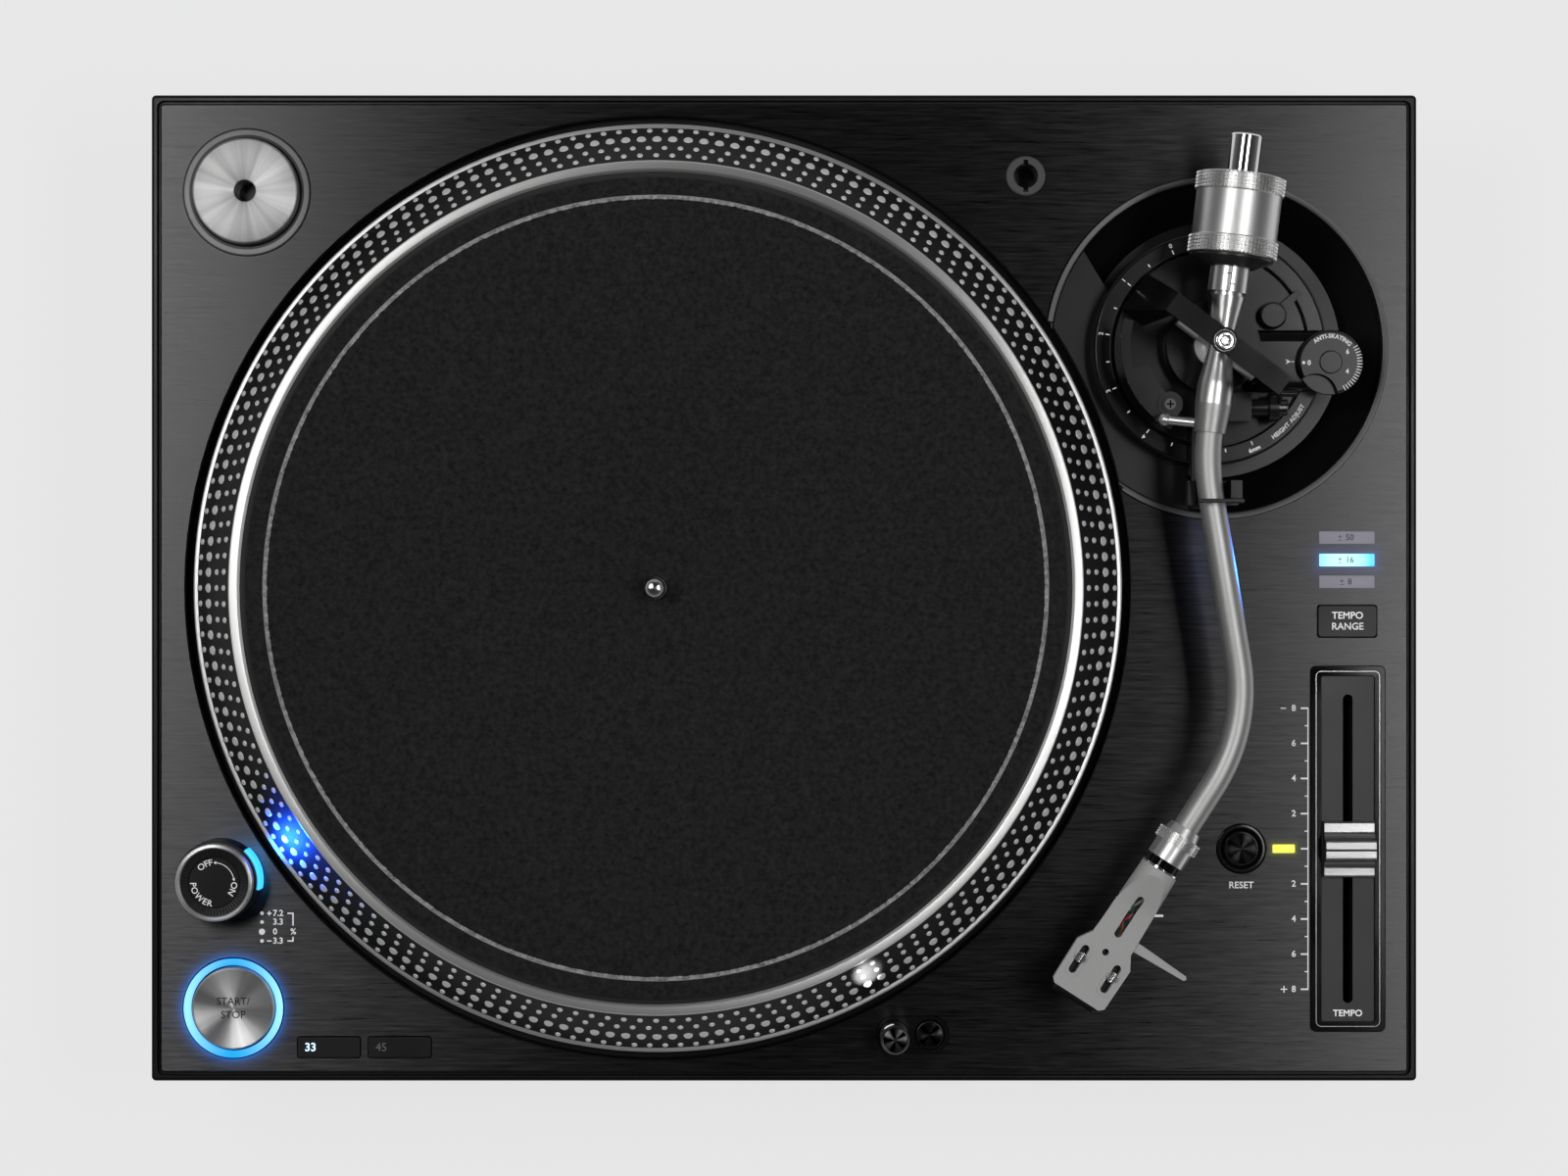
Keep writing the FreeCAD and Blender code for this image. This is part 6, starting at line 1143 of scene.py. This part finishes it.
def stem(low):
    """Round stem below a button's cap, about the origin."""
    return spun([(0, low), (STEM_RADIUS, low), (STEM_RADIUS, KEY_LOW + 0.5), (0, KEY_LOW + 0.5)], 24)


def key_cap(node_name, name, finish_material, corner=1.0):
    """Rectangular button with soft edges and its stem."""
    low, high = box_of(node_name)
    cap = block(0, 0, high.x - low.x, high.y - low.y, KEY_LOW, high.z, corner, 5)
    ease(cap, sizes().edge, 2, 50)
    return stand_in(merged(cap, stem(low.z)), name, node_name, finish_material, weighted=True,
                    place=middle(node_name))


class DECK_OT_speed(Undoable, bpy.types.Operator):
    """Make the two speed buttons"""
    bl_idname = "deck.speed"
    bl_label = "Speed buttons"

    def execute(self, context):
        face = sheen_black("key black", 0.4, (0.007, 0.007, 0.008))
        lit_white = glowing("lit white", (0.62, 0.84, 1.0), 1.1)
        grey_print = skin("grey print", (0.17, 0.17, 0.175), 0.5)
        for digits, bold, ink in (("33", 0.09, lit_white), ("45", 0.0, grey_print)):
            name = "button_" + digits
            key_cap(name, "key_" + digits, face)
            printed([word(digits, 2.9, -6.5, 0, bold=bold)], top(name), "lettering_" + digits, name,
                    "black_button", ink, place=middle(name))
        return {"FINISHED"}


class DECK_OT_target_light(Undoable, bpy.types.Operator):
    """Make the rising lamp, its plate and its button"""
    bl_idname = "deck.target_light"
    bl_label = "Target light"

    def execute(self, context):
        post, button = middle("target_light"), middle("target_light_button")
        dressed("target_light_plate", sheen_black("plate black", 0.2), 0.35, 3)
        dressed("target_light_button", sheen_black("lamp button", 0.25), 0.3, 3)
        painted("target_light", turned_metal("post metal", (0.10, 0.10, 0.102), post, 0.25, 0.4))
        high = top("target_light")
        # The post's face has painted highlights: five bright petals of a sunburst.
        cap = spun([(0, high + 0.02), (4.1, high + 0.02), (4.35, high - 0.1), (4.35, high - 0.2)], 64)
        piece(cap, "target_light_face", "target_light", slot_of("target_light"),
              turned_metal("post face", (0.05, 0.05, 0.051), post, 0.3, 0.35, painted_petals=(5, 2.6)), place=post)
        # The button's face has painted highlights: four bright petals of a sunburst.
        high = top("target_light_button")
        dish = spun([(0, high + 0.01), (2.6, high + 0.012), (4.3, high + 0.02), (4.6, high - 0.1)], 64)
        piece(dish, "target_button_face", "target_light_button", slot_of("target_light_button"),
              turned_metal("button face", (0.020, 0.020, 0.021), button, 0.25, 0.4, painted_petals=(4, 2.4)),
              place=button)
        lamp = Vector((post.x, post.y, TARGET_LAMP_HEIGHT))
        toward = (TARGET_AIM - lamp).normalized()
        level = Vector((toward.x, toward.y, 0))
        lens_at = lamp + level.normalized() * 4.9
        lens = spun([(0, 0.35), (1.2, 0.3), (1.9, 0), (1.9, -0.4), (0, -0.4)], 32)
        piece(moved(lens, pointing(lens_at, level)), "target_lens", "target_light", "lit_blue",
              glowing("lens white", (0.95, 0.97, 1.0), 0.6))
        beam = spot_beam("target beam", lens_at + toward * 1.5, TARGET_SPOT, 0.07, 36)
        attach(beam, "target_light")
        return {"FINISHED"}


class DECK_OT_holder(Undoable, bpy.types.Operator):
    """Finish the spare headshell's holder"""
    bl_idname = "deck.holder"
    bl_label = "Headshell holder"

    def execute(self, context):
        dressed("headshell_holder", sheen_black("holder grey", 0.38, (0.085, 0.085, 0.087)), 0.25, 3)
        return {"FINISHED"}


# Tempo

class DECK_OT_tempo(Undoable, bpy.types.Operator):
    """Make the tempo fader with its scale"""
    bl_idname = "deck.tempo"
    bl_label = "Tempo fader"

    def execute(self, context):
        place = middle("tempo_bezel")
        high, slot = top("tempo_bezel"), slot_of("tempo_bezel")
        dressed("tempo_bezel", black_gloss(), 0.3, 3)
        plate = ringed(rounded(0, 0, 18.7, 123.4, 0.5), rounded(0, 0, 3.5, 110.5, 1.74), DECK,
                       DECK + PAINT_LIFT)
        piece(plate, "tempo_plate", "case", slot, skin("grey face", colours().grey_face, 0.5), place=place)
        # A thin grey ring just inside the bezel's rim is a painted highlight line along the glossy frame's
        # edge.
        line = ringed(rounded(0, 0, 22.9, 127.2, 1.9), rounded(0, 0, 22.5, 126.8, 1.7), high - 0.1,
                      high + 0.03)
        piece(line, "tempo_highlight_line", "case", slot, metal("painted highlight line", (0.35, 0.35, 0.36), 0.3), place=place)
        printed([word("TEMPO", 2.3, place.x, -152.2, bold=0.06)], DECK + PAINT_LIFT, "tempo_lettering",
                "case", slot)
        tempo_scale(middle("reset_button").y)
        cap = finish("cap metal", "brushed", 0.34, metallic=1.0, Contrast=0.25, Roughness=0.32,
                     Relief=0.000004)
        dressed("fader_knob", cap, 0.25, 3)
        # A black strip on the floor of the cap's centre groove is painted shade in the groove.
        high = top("fader_knob")
        groove = block(middle("fader_knob").x, middle("reset_button").y, width("fader_knob") - 0.1, 0.45,
                       high - 0.6, high - 0.36)
        piece(groove, "cap_groove_shade", "fader", "black_gloss", black_gloss())
        return {"FINISHED"}


def tempo_scale(zero, step=FADER_STEP):
    """Ticks, figures and signs beside the fader, whose travel has its middle at the zero."""
    up, down = zero + 4 * step, zero - 4 * step
    parts = [bar(187.5, up, 187.5, down, 0.4), bar(177.7, up, 179.7, up, 0.4),
             bar(177.7, down, 180.1, down, 0.4), bar(178.9, down - 1.2, 178.9, down + 1.2, 0.4)]
    for index in range(-8, 9):
        y = zero + index * step / 2
        whole = index % 2 == 0
        parts.append(bar(187.6, y, 184.9 if whole else 186.3, y, 0.6 if whole else 0.4))
        if whole and index:
            parts.append(word(str(abs(index)), 2.2, 182.4, y, bold=0.06))
    deck_print(parts, "tempo_scale")


class DECK_OT_lamps(Undoable, bpy.types.Operator):
    """Make the reset button, the lamps and the range button"""
    bl_idname = "deck.lamps"
    bl_label = "Reset and lamps"

    def execute(self, context):
        button, ring = middle("reset_button"), middle("reset_ring")
        low, high = bottom("reset_ring"), top("reset_ring")
        outer = width("reset_ring") / 2
        profile = [(outer - 1, low), (outer - 1, DECK - 2), (outer, DECK), (outer - 0.15, high - 0.1),
                   (outer - 0.4, high), (outer - 1.2, high), (outer - 1.5, high - 0.2),
                   (outer - 2.1, high - 0.9), (outer - 2.1, low)]
        stand_in(spun(profile, 96, closed=True), "reset_collar", "reset_ring",
                 sheen_black("reset ring black", 0.18), place=ring)
        dressed("reset_button", sheen_black("reset black", 0.14), 0.4, 3)
        high = top("reset_button")
        # The button's face has painted highlights: six bright petals of a sunburst.
        dish = spun([(0, high + 0.012), (3.5, high + 0.014), (5.4, high + 0.02), (5.7, high - 0.1)], 96)
        piece(dish, "reset_face", "reset_button", slot_of("reset_button"),
              turned_metal("reset face", (0.010, 0.010, 0.0105), button, 0.30, 0.2, painted_petals=(6, 1.6)),
              place=button)
        deck_print([word("RESET", 2.35, button.x, -106.4, bold=0.05)], "reset_lettering")

        low, high = bottom("indicator_lamps"), top("indicator_lamps")
        zero = block(ZERO_LAMP_X, button.y, *ZERO_LAMP, low, high, 0.5, 4)
        piece(ease(zero, 0.12, 2, 50), "zero_lamp", "case", "lit_blue",
              glowing("zero yellow", colours().lamp_zero, 0.95), ["indicator_lamps"])
        unlit = skin("lamp off", colours().lamp_off, 0.45, 0.15, specular=0.4)
        dark = sheen_black("lamp print", 0.5, (0.06, 0.06, 0.07))
        for y, text, material in zip(RANGE_LAMP_Y, ("50", "16", "8"), (unlit, lit_lamp_material(), unlit)):
            lens = block(RANGE_LAMP_X, y, *RANGE_LAMP, low, high, 0.3, 3)
            piece(ease(lens, 0.12, 2, 50), "range_lamp_" + text, "case", "lit_blue", material)
            sign = moved(plus_minus(1.5, 0.22), at(RANGE_LAMP_X - 1.25 - 0.6 * len(text), y))
            printed([sign, word(text, 2.15, RANGE_LAMP_X + 1.0, y, bold=0.03)], high, "range_print_" + text,
                    "case", "lit_blue", dark)
        name = "tempo_range_button"
        key_cap(name, "range_key", sheen_black("range black", 0.4, (0.007, 0.007, 0.008)), 1.4)
        printed([word("TEMPO", 2.45, 0, 2.0, bold=0.06), word("RANGE", 2.45, 0, -1.9, bold=0.06)], top(name),
                "range_lettering", name, slot_of(name), place=middle(name))
        lamp = Vector((RANGE_LAMP_X, RANGE_LAMP_Y[1], DECK))
        beam = soft_box("range beam", (lamp + Vector((-12, 0, 1))) * MM, (lamp + Vector((-46, 0, 41))) * MM,
                        0.004, 0.012, 0.007, (0.02, 0.14, 1.0))
        beam.data.spread = math.radians(50)
        return {"FINISHED"}


def plus_minus(wide, line):
    """Plus over minus, made about the origin."""
    return merged(bar(-wide / 2, 0.3, wide / 2, 0.3, line), bar(0, -0.45, 0, 1.05, line),
                  bar(-wide / 2, -0.95, wide / 2, -0.95, line))


def lit_lamp_material():
    """Lit lens: near white in the middle, blue towards its right end."""
    material = skin("range blue", colours().pale_blue, grain=900.0)
    tree = material.node_tree
    coordinates = node(tree, "TexCoord")
    parts = parts_of(tree, coordinates.outputs["Object"])
    across = calc(tree, "DIVIDE", calc(tree, "SUBTRACT", parts[0], RANGE_LAMP_X * MM), 0.0099)
    share = calc(tree, "POWER", calc(tree, "ABSOLUTE", calc(tree, "ADD", across, 0.15)), 2.5)
    return lit(material, colour_mix(tree, share, (0.62, 0.98, 1.0, 1), (0.07, 0.50, 0.95, 1)))


# Tonearm

ARM_AHEAD = -REARWARD


def arm_frame():
    """Frame at the arm's pivot with X ahead along the arm."""
    return level_frame(PIVOT, ARM_AHEAD)


def shell_frame():
    """Frame at the tube's end with X ahead along the headshell."""
    return level_frame(SOCKET, SHELL_AHEAD)


class DECK_OT_arm_base(Undoable, bpy.types.Operator):
    """Finish the arm's base with its height ring, dials and levers"""
    bl_idname = "deck.arm_base"
    bl_label = "Arm base"

    def execute(self, context):
        arm_black = (0.004, 0.004, 0.0045)
        for name, label, roughness, base, radius, segments in (
                ("height_ring", "ring black", 0.2, arm_black, 0.35, 3),
                ("arm_base", "arm base black", 0.2, arm_black, 0.35, 2),
                ("gimbal_bridge", "bridge black", 0.16, arm_black, 0.35, 3),
                ("arm_rest", "rest black", 0.3, None, 0.3, 2),
                ("anti_skate_dial", "dial black", 0.24, None, 0.3, 2),
                ("lock_lever", "lock black", 0.3, None, 0.3, 2),
                ("cue_lever", "cue black", 0.2, (0.012, 0.012, 0.0125), 0.25, 2),
                ("lift_bar", "lift black", 0.18, (0.014, 0.014, 0.0145), 0.4, 3),
                ("rest_latch", "latch black", 0.25, None, 0.25, 2)):
            dressed(name, sheen_black(label, roughness, base), radius, segments)
        height_scale()
        skate_scale()
        printed([on_arc(word("LOCK", 1.35), 2.5, 90)], top("lock_lever"), "lock_lettering", "lock_lever",
                slot_of("lock_lever"), skin("faint print", 0.10, 0.5), place=joint_place("lock_turn"))
        high = top("gimbal_bridge")
        collar = spun([(3.3, high - 0.9), (3.45, high - 0.55), (4.0, high - 0.55), (4.3, high - 0.9),
                       (4.3, high - 1.4), (3.3, high - 1.4)], 64, closed=True)
        piece(collar, "bridge_collar", "arm_base", "bright_steel", bright_metal(), place=PIVOT)
        head = ringed(circle(0, 0, 3.05, 48), circle(0, 0, 1.75, 48, 6), high - 0.7, high + 0.04)
        ease(head, 0.18, 2, 50)
        floor = spun([(0, high - 0.35), (2.4, high - 0.35), (2.4, high - 0.6), (0, high - 0.6)], 32)
        piece(merged(head, floor), "bridge_screw", "arm_base", "bright_steel",
              metal("screw metal", (0.78, 0.78, 0.77), 0.22), place=PIVOT)
        boss = top("lift_bar")
        screw = spun([(0, boss + 0.02), (1.9, boss + 0.02), (2.3, boss - 0.25), (2.3, boss - 0.5),
                      (0, boss - 0.5)], 40)
        piece(screw, "lift_screw", "lift_bar", "bright_steel", metal("grey steel", 0.07, 0.3),
              place=LIFT_BOSS)
        # A black cross laid on the screw head is painted shade in its cross slot.
        cross = [block(0, 0, across, along, boss - 0.1, boss + 0.05)
                 for across, along in ((2.6, 0.6), (0.6, 2.6))]
        piece(merged(*cross), "lift_screw_slot_shade", "lift_bar", "dark_metal", black_gloss(), place=LIFT_BOSS)
        axis = joint_place("cue_lever_turn")
        knob = spun([(0, 0), (2.9, 0), (2.9, 3.0), (2.6, 3.35), (0, 3.35)], 40)
        piece(moved(knob, pointing((PIVOT.x + 22.65, axis.y, axis.z), (1, 0, 0))), "cue_knob", "cue_lever",
              "dark_metal", metal("cue knob metal", (0.10, 0.10, 0.102), 0.25))
        return {"FINISHED"}


def height_scale():
    """Millimetre scale on the height ring."""
    parts = []
    for half in range(13):
        azimuth = FIRST_MARK + MARK_PITCH * half / 2
        whole = half % 2 == 0
        parts.append(moved(bar(35.9, 0, 37.4 if whole else 37.1, 0, 0.4), at(0, 0, 0, azimuth)))
        if whole:
            text = "6mm" if half == 12 else str(half // 2)
            parts.append(on_arc(word(text, 1.5, bold=0.05), 39.0, azimuth, inward=half == 12))
    parts.append(on_arc(word("HEIGHT ADJUST", 1.5, bold=0.05, spacing=1.05), 38.6, 317, inward=True))
    printed(parts, top("height_ring"), "height_lettering", "height_ring", slot_of("height_ring"),
            place=PIVOT)


def skate_scale():
    """Lettering and ticks on the side-force dial, and its index mark."""
    dial = joint_place("anti_skate_turn")
    parts = [on_arc(word("ANTI-SKATING", 1.45, bold=0.05, spacing=1.02), 9.1, 85),
             word("0", 1.7, -7.6, -0.3, bold=0.06), flat_dot(0.55, -9.5, -0.2, 20),
             word("6", 1.6, 5.9, 3.6, bold=0.06), word("4", 1.6, 5.8, -3.3, bold=0.06)]
    for index in range(17):
        parts.append(moved(bar(9.3, 0, 11.1, 0, 0.28), at(0, 0, 0, 32 - index * 5.9)))
    printed(parts, top("anti_skate_dial") - 0.6, "skate_lettering", "anti_skate_dial",
            slot_of("anti_skate_dial"), place=dial)
    arrow = slab([(0, -0.9), (1.9, 0), (0, 0.9), (0.6, 0)], -PAINT_THICK / 2, PAINT_THICK / 2)
    printed([arrow, bar(2.2, 0, 3.0, 0, 0.3)], PIVOT.z - 21, "skate_index", "arm_base", slot_of("arm_base"),
            place=(dial.x - 15.3, dial.y + 0.4))


class DECK_OT_arm(Undoable, bpy.types.Operator):
    """Finish the tonearm and its counterweight"""
    bl_idname = "deck.arm"
    bl_label = "Tonearm"

    def execute(self, context):
        painted("arm_tube", metal("tube satin", (0.50, 0.50, 0.495), 0.5))
        dressed("gimbal_yoke", metal("yoke metal", (0.72, 0.72, 0.715), 0.42), 0.3, 2)
        arm = arm_frame()
        back = arm.inverted()
        sleeve = dressed("arm_sleeve", [metal("sleeve metal", (0.62, 0.62, 0.615), 0.3),
                                        metal("shaft chrome", 0.66, 0.10),
                                        metal("band metal", (0.40, 0.40, 0.395), 0.42)], 0.15, 2)
        # The shaft lies behind, and the band holds the tube in front
        for face in sleeve.data.polygons:
            place = back @ (face.center / MM)
            if place.x < -28:
                face.material_index = 1
            elif place.x > 21.5 and abs(place.y) < 7.5:
                face.material_index = 2
        painted("weight_bush", bright_metal())
        dressed("counterweight", metal("weight metal", (0.64, 0.64, 0.635), 0.36), 0.3, 2)
        painted("weight_dial", sheen_black("weight dial", 0.3, 0.02))
        painted("headshell_nut", metal("nut metal", (0.70, 0.70, 0.695), 0.36))
        grip = metal("knurl metal", (0.56, 0.56, 0.555), 0.38)
        rings = [knurls(15.12, start, start + 6, 5, 72, 0.42) for start in (-36.1, -58.1)]
        piece(moved(merged(*rings), arm), "weight_knurls", "counterweight", slot_of("counterweight"), grip)
        piece(moved(knurls(7.62, -11.3, -7.3, 4, 44, 0.32), shell_frame()), "nut_knurls", "headshell_nut",
              slot_of("headshell_nut"), grip)
        marks = [patch(-22.5, 0, 9.6, 0.3, 1), patch(-20.0, 0.9, 0.35, 1.6), patch(-23.6, -0.9, 0.35, 1.6)]
        marks = merged(*[on_barrel(mark, 6.82) for mark in marks])
        piece(moved(marks, arm), "sleeve_marks", "arm", "dark_metal", sheen_black("mark black", 0.5, 0.01))
        return {"FINISHED"}


class DECK_OT_headshell(Undoable, bpy.types.Operator):
    """Finish the headshell and its cartridge"""
    bl_idname = "deck.headshell"
    bl_label = "Headshell"

    def execute(self, context):
        ahead = shell_frame()
        back = ahead.inverted()
        plate = skin("shell grey", colours().shell, 0.5, 0.3, 0.00001, 3200.0, specular=0.4)
        flank = metal("shell flank", 0.50, 0.28)
        shell = dressed("headshell", [plate, flank, black_gloss(), bright_metal()], 0.3, 3)
        # A black seal and a bright collar lie at the plug, and the flanks are bare metal
        for face in shell.data.polygons:
            place = back @ (face.center / MM)
            if place.x < 1.75:
                face.material_index = 2
            elif place.x < 2.5:
                face.material_index = 3
            elif place.z < 0.2 and place.x < 33 and abs(face.normal.z) < 0.97:
                face.material_index = 1
        dressed("headshell_screws", bright_metal(), 0.2, 2)
        painted("cartridge", sheen_black("cartridge black", 0.3))
        leads = (("grey", 14.6, (0.35, 0.35, 0.33)), ("green", 17.6, (0.01, 0.10, 0.05)),
                 ("red", 21.4, (0.42, 0.02, 0.04)), ("brown", 25.2, (0.14, 0.06, 0.03)))
        for order, (name, start, tint) in enumerate(leads):
            path = []
            for step in range(9):
                share = step / 8
                sway = math.cos(math.pi * share + order * 0.3) * (-1) ** order
                path.append((start - 0.8 + 6.4 * share, sway, -1.5 + 0.35 * math.sin(math.tau * share)))
            piece(moved(tube(path, 0.42), ahead), "lead_" + name, "headshell", "black_gloss",
                  skin("lead " + name, tint, 0.4))
        return {"FINISHED"}


class DECK_OT_feet(Undoable, bpy.types.Operator):
    """Finish the four feet"""
    bl_idname = "deck.feet"
    bl_label = "Feet"

    def execute(self, context):
        for name in ("foot_front_left", "foot_front_right", "foot_rear_left", "foot_rear_right"):
            painted(name, skin("rubber", colours().rubber, 0.7, grain=1500.0))
        return {"FINISHED"}


# Stage

def lamp_object(name, lamp, place, target):
    """Set a lamp at a place in metres, facing a point."""
    holder = bpy.data.objects.new(name, lamp)
    bpy.context.scene.collection.objects.link(holder)
    holder.location = place
    holder.rotation_euler = (Vector(target) - Vector(place)).to_track_quat("-Z", "Y").to_euler()
    return holder


def soft_box(name, place, target, across, tall, power, tint=(1, 1, 1)):
    """Area lamp that faces a point."""
    lamp = bpy.data.lights.new(name, "AREA")
    lamp.shape = "RECTANGLE"
    lamp.size = across
    lamp.size_y = tall
    lamp.energy = power
    lamp.color = tint
    return lamp_object(name, lamp, place, target)


def spot_beam(name, place, target, power, angle):
    """Narrow lamp, with its places in millimetres."""
    lamp = bpy.data.lights.new(name, "SPOT")
    lamp.energy = power
    lamp.spot_size = math.radians(angle)
    lamp.spot_blend = 0.6
    lamp.shadow_soft_size = 0.001
    return lamp_object(name, lamp, place * MM, target * MM)


class DECK_OT_stage(Undoable, bpy.types.Operator):
    """Set up the camera, the lamps, the room and the floor"""
    bl_idname = "deck.stage"
    bl_label = "Stage"

    def execute(self, context):
        scene = context.scene
        stage = scene.deck_stage
        lens = bpy.data.cameras.new("camera")
        lens.lens = stage.lens
        lens.sensor_width = 36
        lens.clip_start = 0.05
        lens.clip_end = 20
        camera = bpy.data.objects.new("camera", lens)
        scene.collection.objects.link(camera)
        camera.location = (0, 0, DECK * MM + stage.camera_height)
        scene.camera = camera
        scene.view_settings.view_transform = "Standard"

        world = bpy.data.worlds.new("room")
        scene.world = world
        world.use_nodes = True
        tree = world.node_tree
        tree.nodes.clear()
        coordinates = node(tree, "TexCoord")
        parts = parts_of(tree, coordinates.outputs["Generated"])
        climb = calc(tree, "POWER", calc(tree, "ABSOLUTE", parts[2]), 0.25)
        fade = colour_mix(tree, climb, (1, 1, 1, 1), (0.04, 0.04, 0.041, 1))
        room = node(tree, "Background", {"Color": fade, "Strength": stage.world})
        plain = node(tree, "Background", {"Color": (0.86, 0.86, 0.86, 1), "Strength": 1.0})
        rays = node(tree, "LightPath")
        both = node(tree, "MixShader", {0: rays.outputs["Is Camera Ray"], 1: room.outputs[0],
                                        2: plain.outputs[0]})
        out = node(tree, "OutputWorld")
        tree.links.new(both.outputs[0], out.inputs["Surface"])

        soft_box("left box", (-0.575, 0.27, 1.51), (-0.1, 0, 0.1), 0.6, 0.3, stage.side_lamp)
        soft_box("right box", (0.585, 0.05, 1.51), (0.1, 0, 0.1), 0.7, 0.3, stage.side_lamp)
        soft_box("back box", (0, 1.5, 1.0), (0, 0, 0.1), 1.4, 0.5, stage.back_lamp)

        bm = bmesh.new()
        bmesh.ops.create_grid(bm, x_segments=1, y_segments=1, size=6)
        mesh = bpy.data.meshes.new("floor")
        bm.to_mesh(mesh)
        bm.free()
        floor = bpy.data.objects.new("floor", mesh)
        scene.collection.objects.link(floor)
        mesh.materials.append(floor_material())
        return {"FINISHED"}


def floor_material():
    """Pale floor: seen as a plain tone that keeps a soft shadow."""
    material = bpy.data.materials.new("pale floor")
    material.use_nodes = True
    tree = material.node_tree
    tree.nodes.clear()
    paint = node(tree, "BsdfDiffuse", {"Color": (0.80, 0.80, 0.80, 1)})
    glow = node(tree, "Emission", {"Color": (0.88, 0.88, 0.885, 1), "Strength": 1.0})
    rays = node(tree, "LightPath")
    seen = calc(tree, "MAXIMUM", rays.outputs["Is Camera Ray"],
                calc(tree, "MAXIMUM", rays.outputs["Is Glossy Ray"], rays.outputs["Is Transmission Ray"]))
    share = calc(tree, "MULTIPLY", seen, 0.85)
    both = node(tree, "MixShader", {0: share, 1: paint.outputs[0], 2: glow.outputs[0]})
    out = node(tree, "OutputMaterial")
    tree.links.new(both.outputs[0], out.inputs["Surface"])
    return material


OPERATORS = (DECK_OT_case, DECK_OT_platter, DECK_OT_slipmat, DECK_OT_adapter, DECK_OT_power,
             DECK_OT_start_stop, DECK_OT_speed, DECK_OT_target_light, DECK_OT_holder, DECK_OT_tempo,
             DECK_OT_lamps, DECK_OT_arm_base, DECK_OT_arm, DECK_OT_headshell, DECK_OT_feet, DECK_OT_stage)


class DECK_PT_panel(bpy.types.Panel):
    """Lists the deck's makers in the sidebar"""
    bl_idname = "DECK_PT_panel"
    bl_label = "DJ Turntable"
    bl_space_type = "VIEW_3D"
    bl_region_type = "UI"
    bl_category = "Turntable"

    def draw(self, context):
        layout = self.layout
        for operator in OPERATORS:
            layout.operator(operator.bl_idname)
        for group_name in ("deck_colours", "deck_sizes", "deck_stage"):
            settings = getattr(context.scene, group_name)
            column = layout.column()
            for key in settings.bl_rna.properties.keys():
                if key not in ("rna_type", "name"):
                    column.prop(settings, key)


CLASSES = (DeckColours, DeckSizes, DeckStage, *OPERATORS, DECK_PT_panel)


def register():
    for item in CLASSES:
        bpy.utils.register_class(item)
    bpy.types.Scene.deck_colours = PointerProperty(type=DeckColours)
    bpy.types.Scene.deck_sizes = PointerProperty(type=DeckSizes)
    bpy.types.Scene.deck_stage = PointerProperty(type=DeckStage)


def unregister():
    del bpy.types.Scene.deck_stage
    del bpy.types.Scene.deck_sizes
    del bpy.types.Scene.deck_colours
    for item in reversed(CLASSES):
        bpy.utils.unregister_class(item)


def main():
    register()
    for operator in OPERATORS:
        family, action = operator.bl_idname.split(".")
        getattr(getattr(bpy.ops, family), action)()


if __name__ == "__main__":
    main()
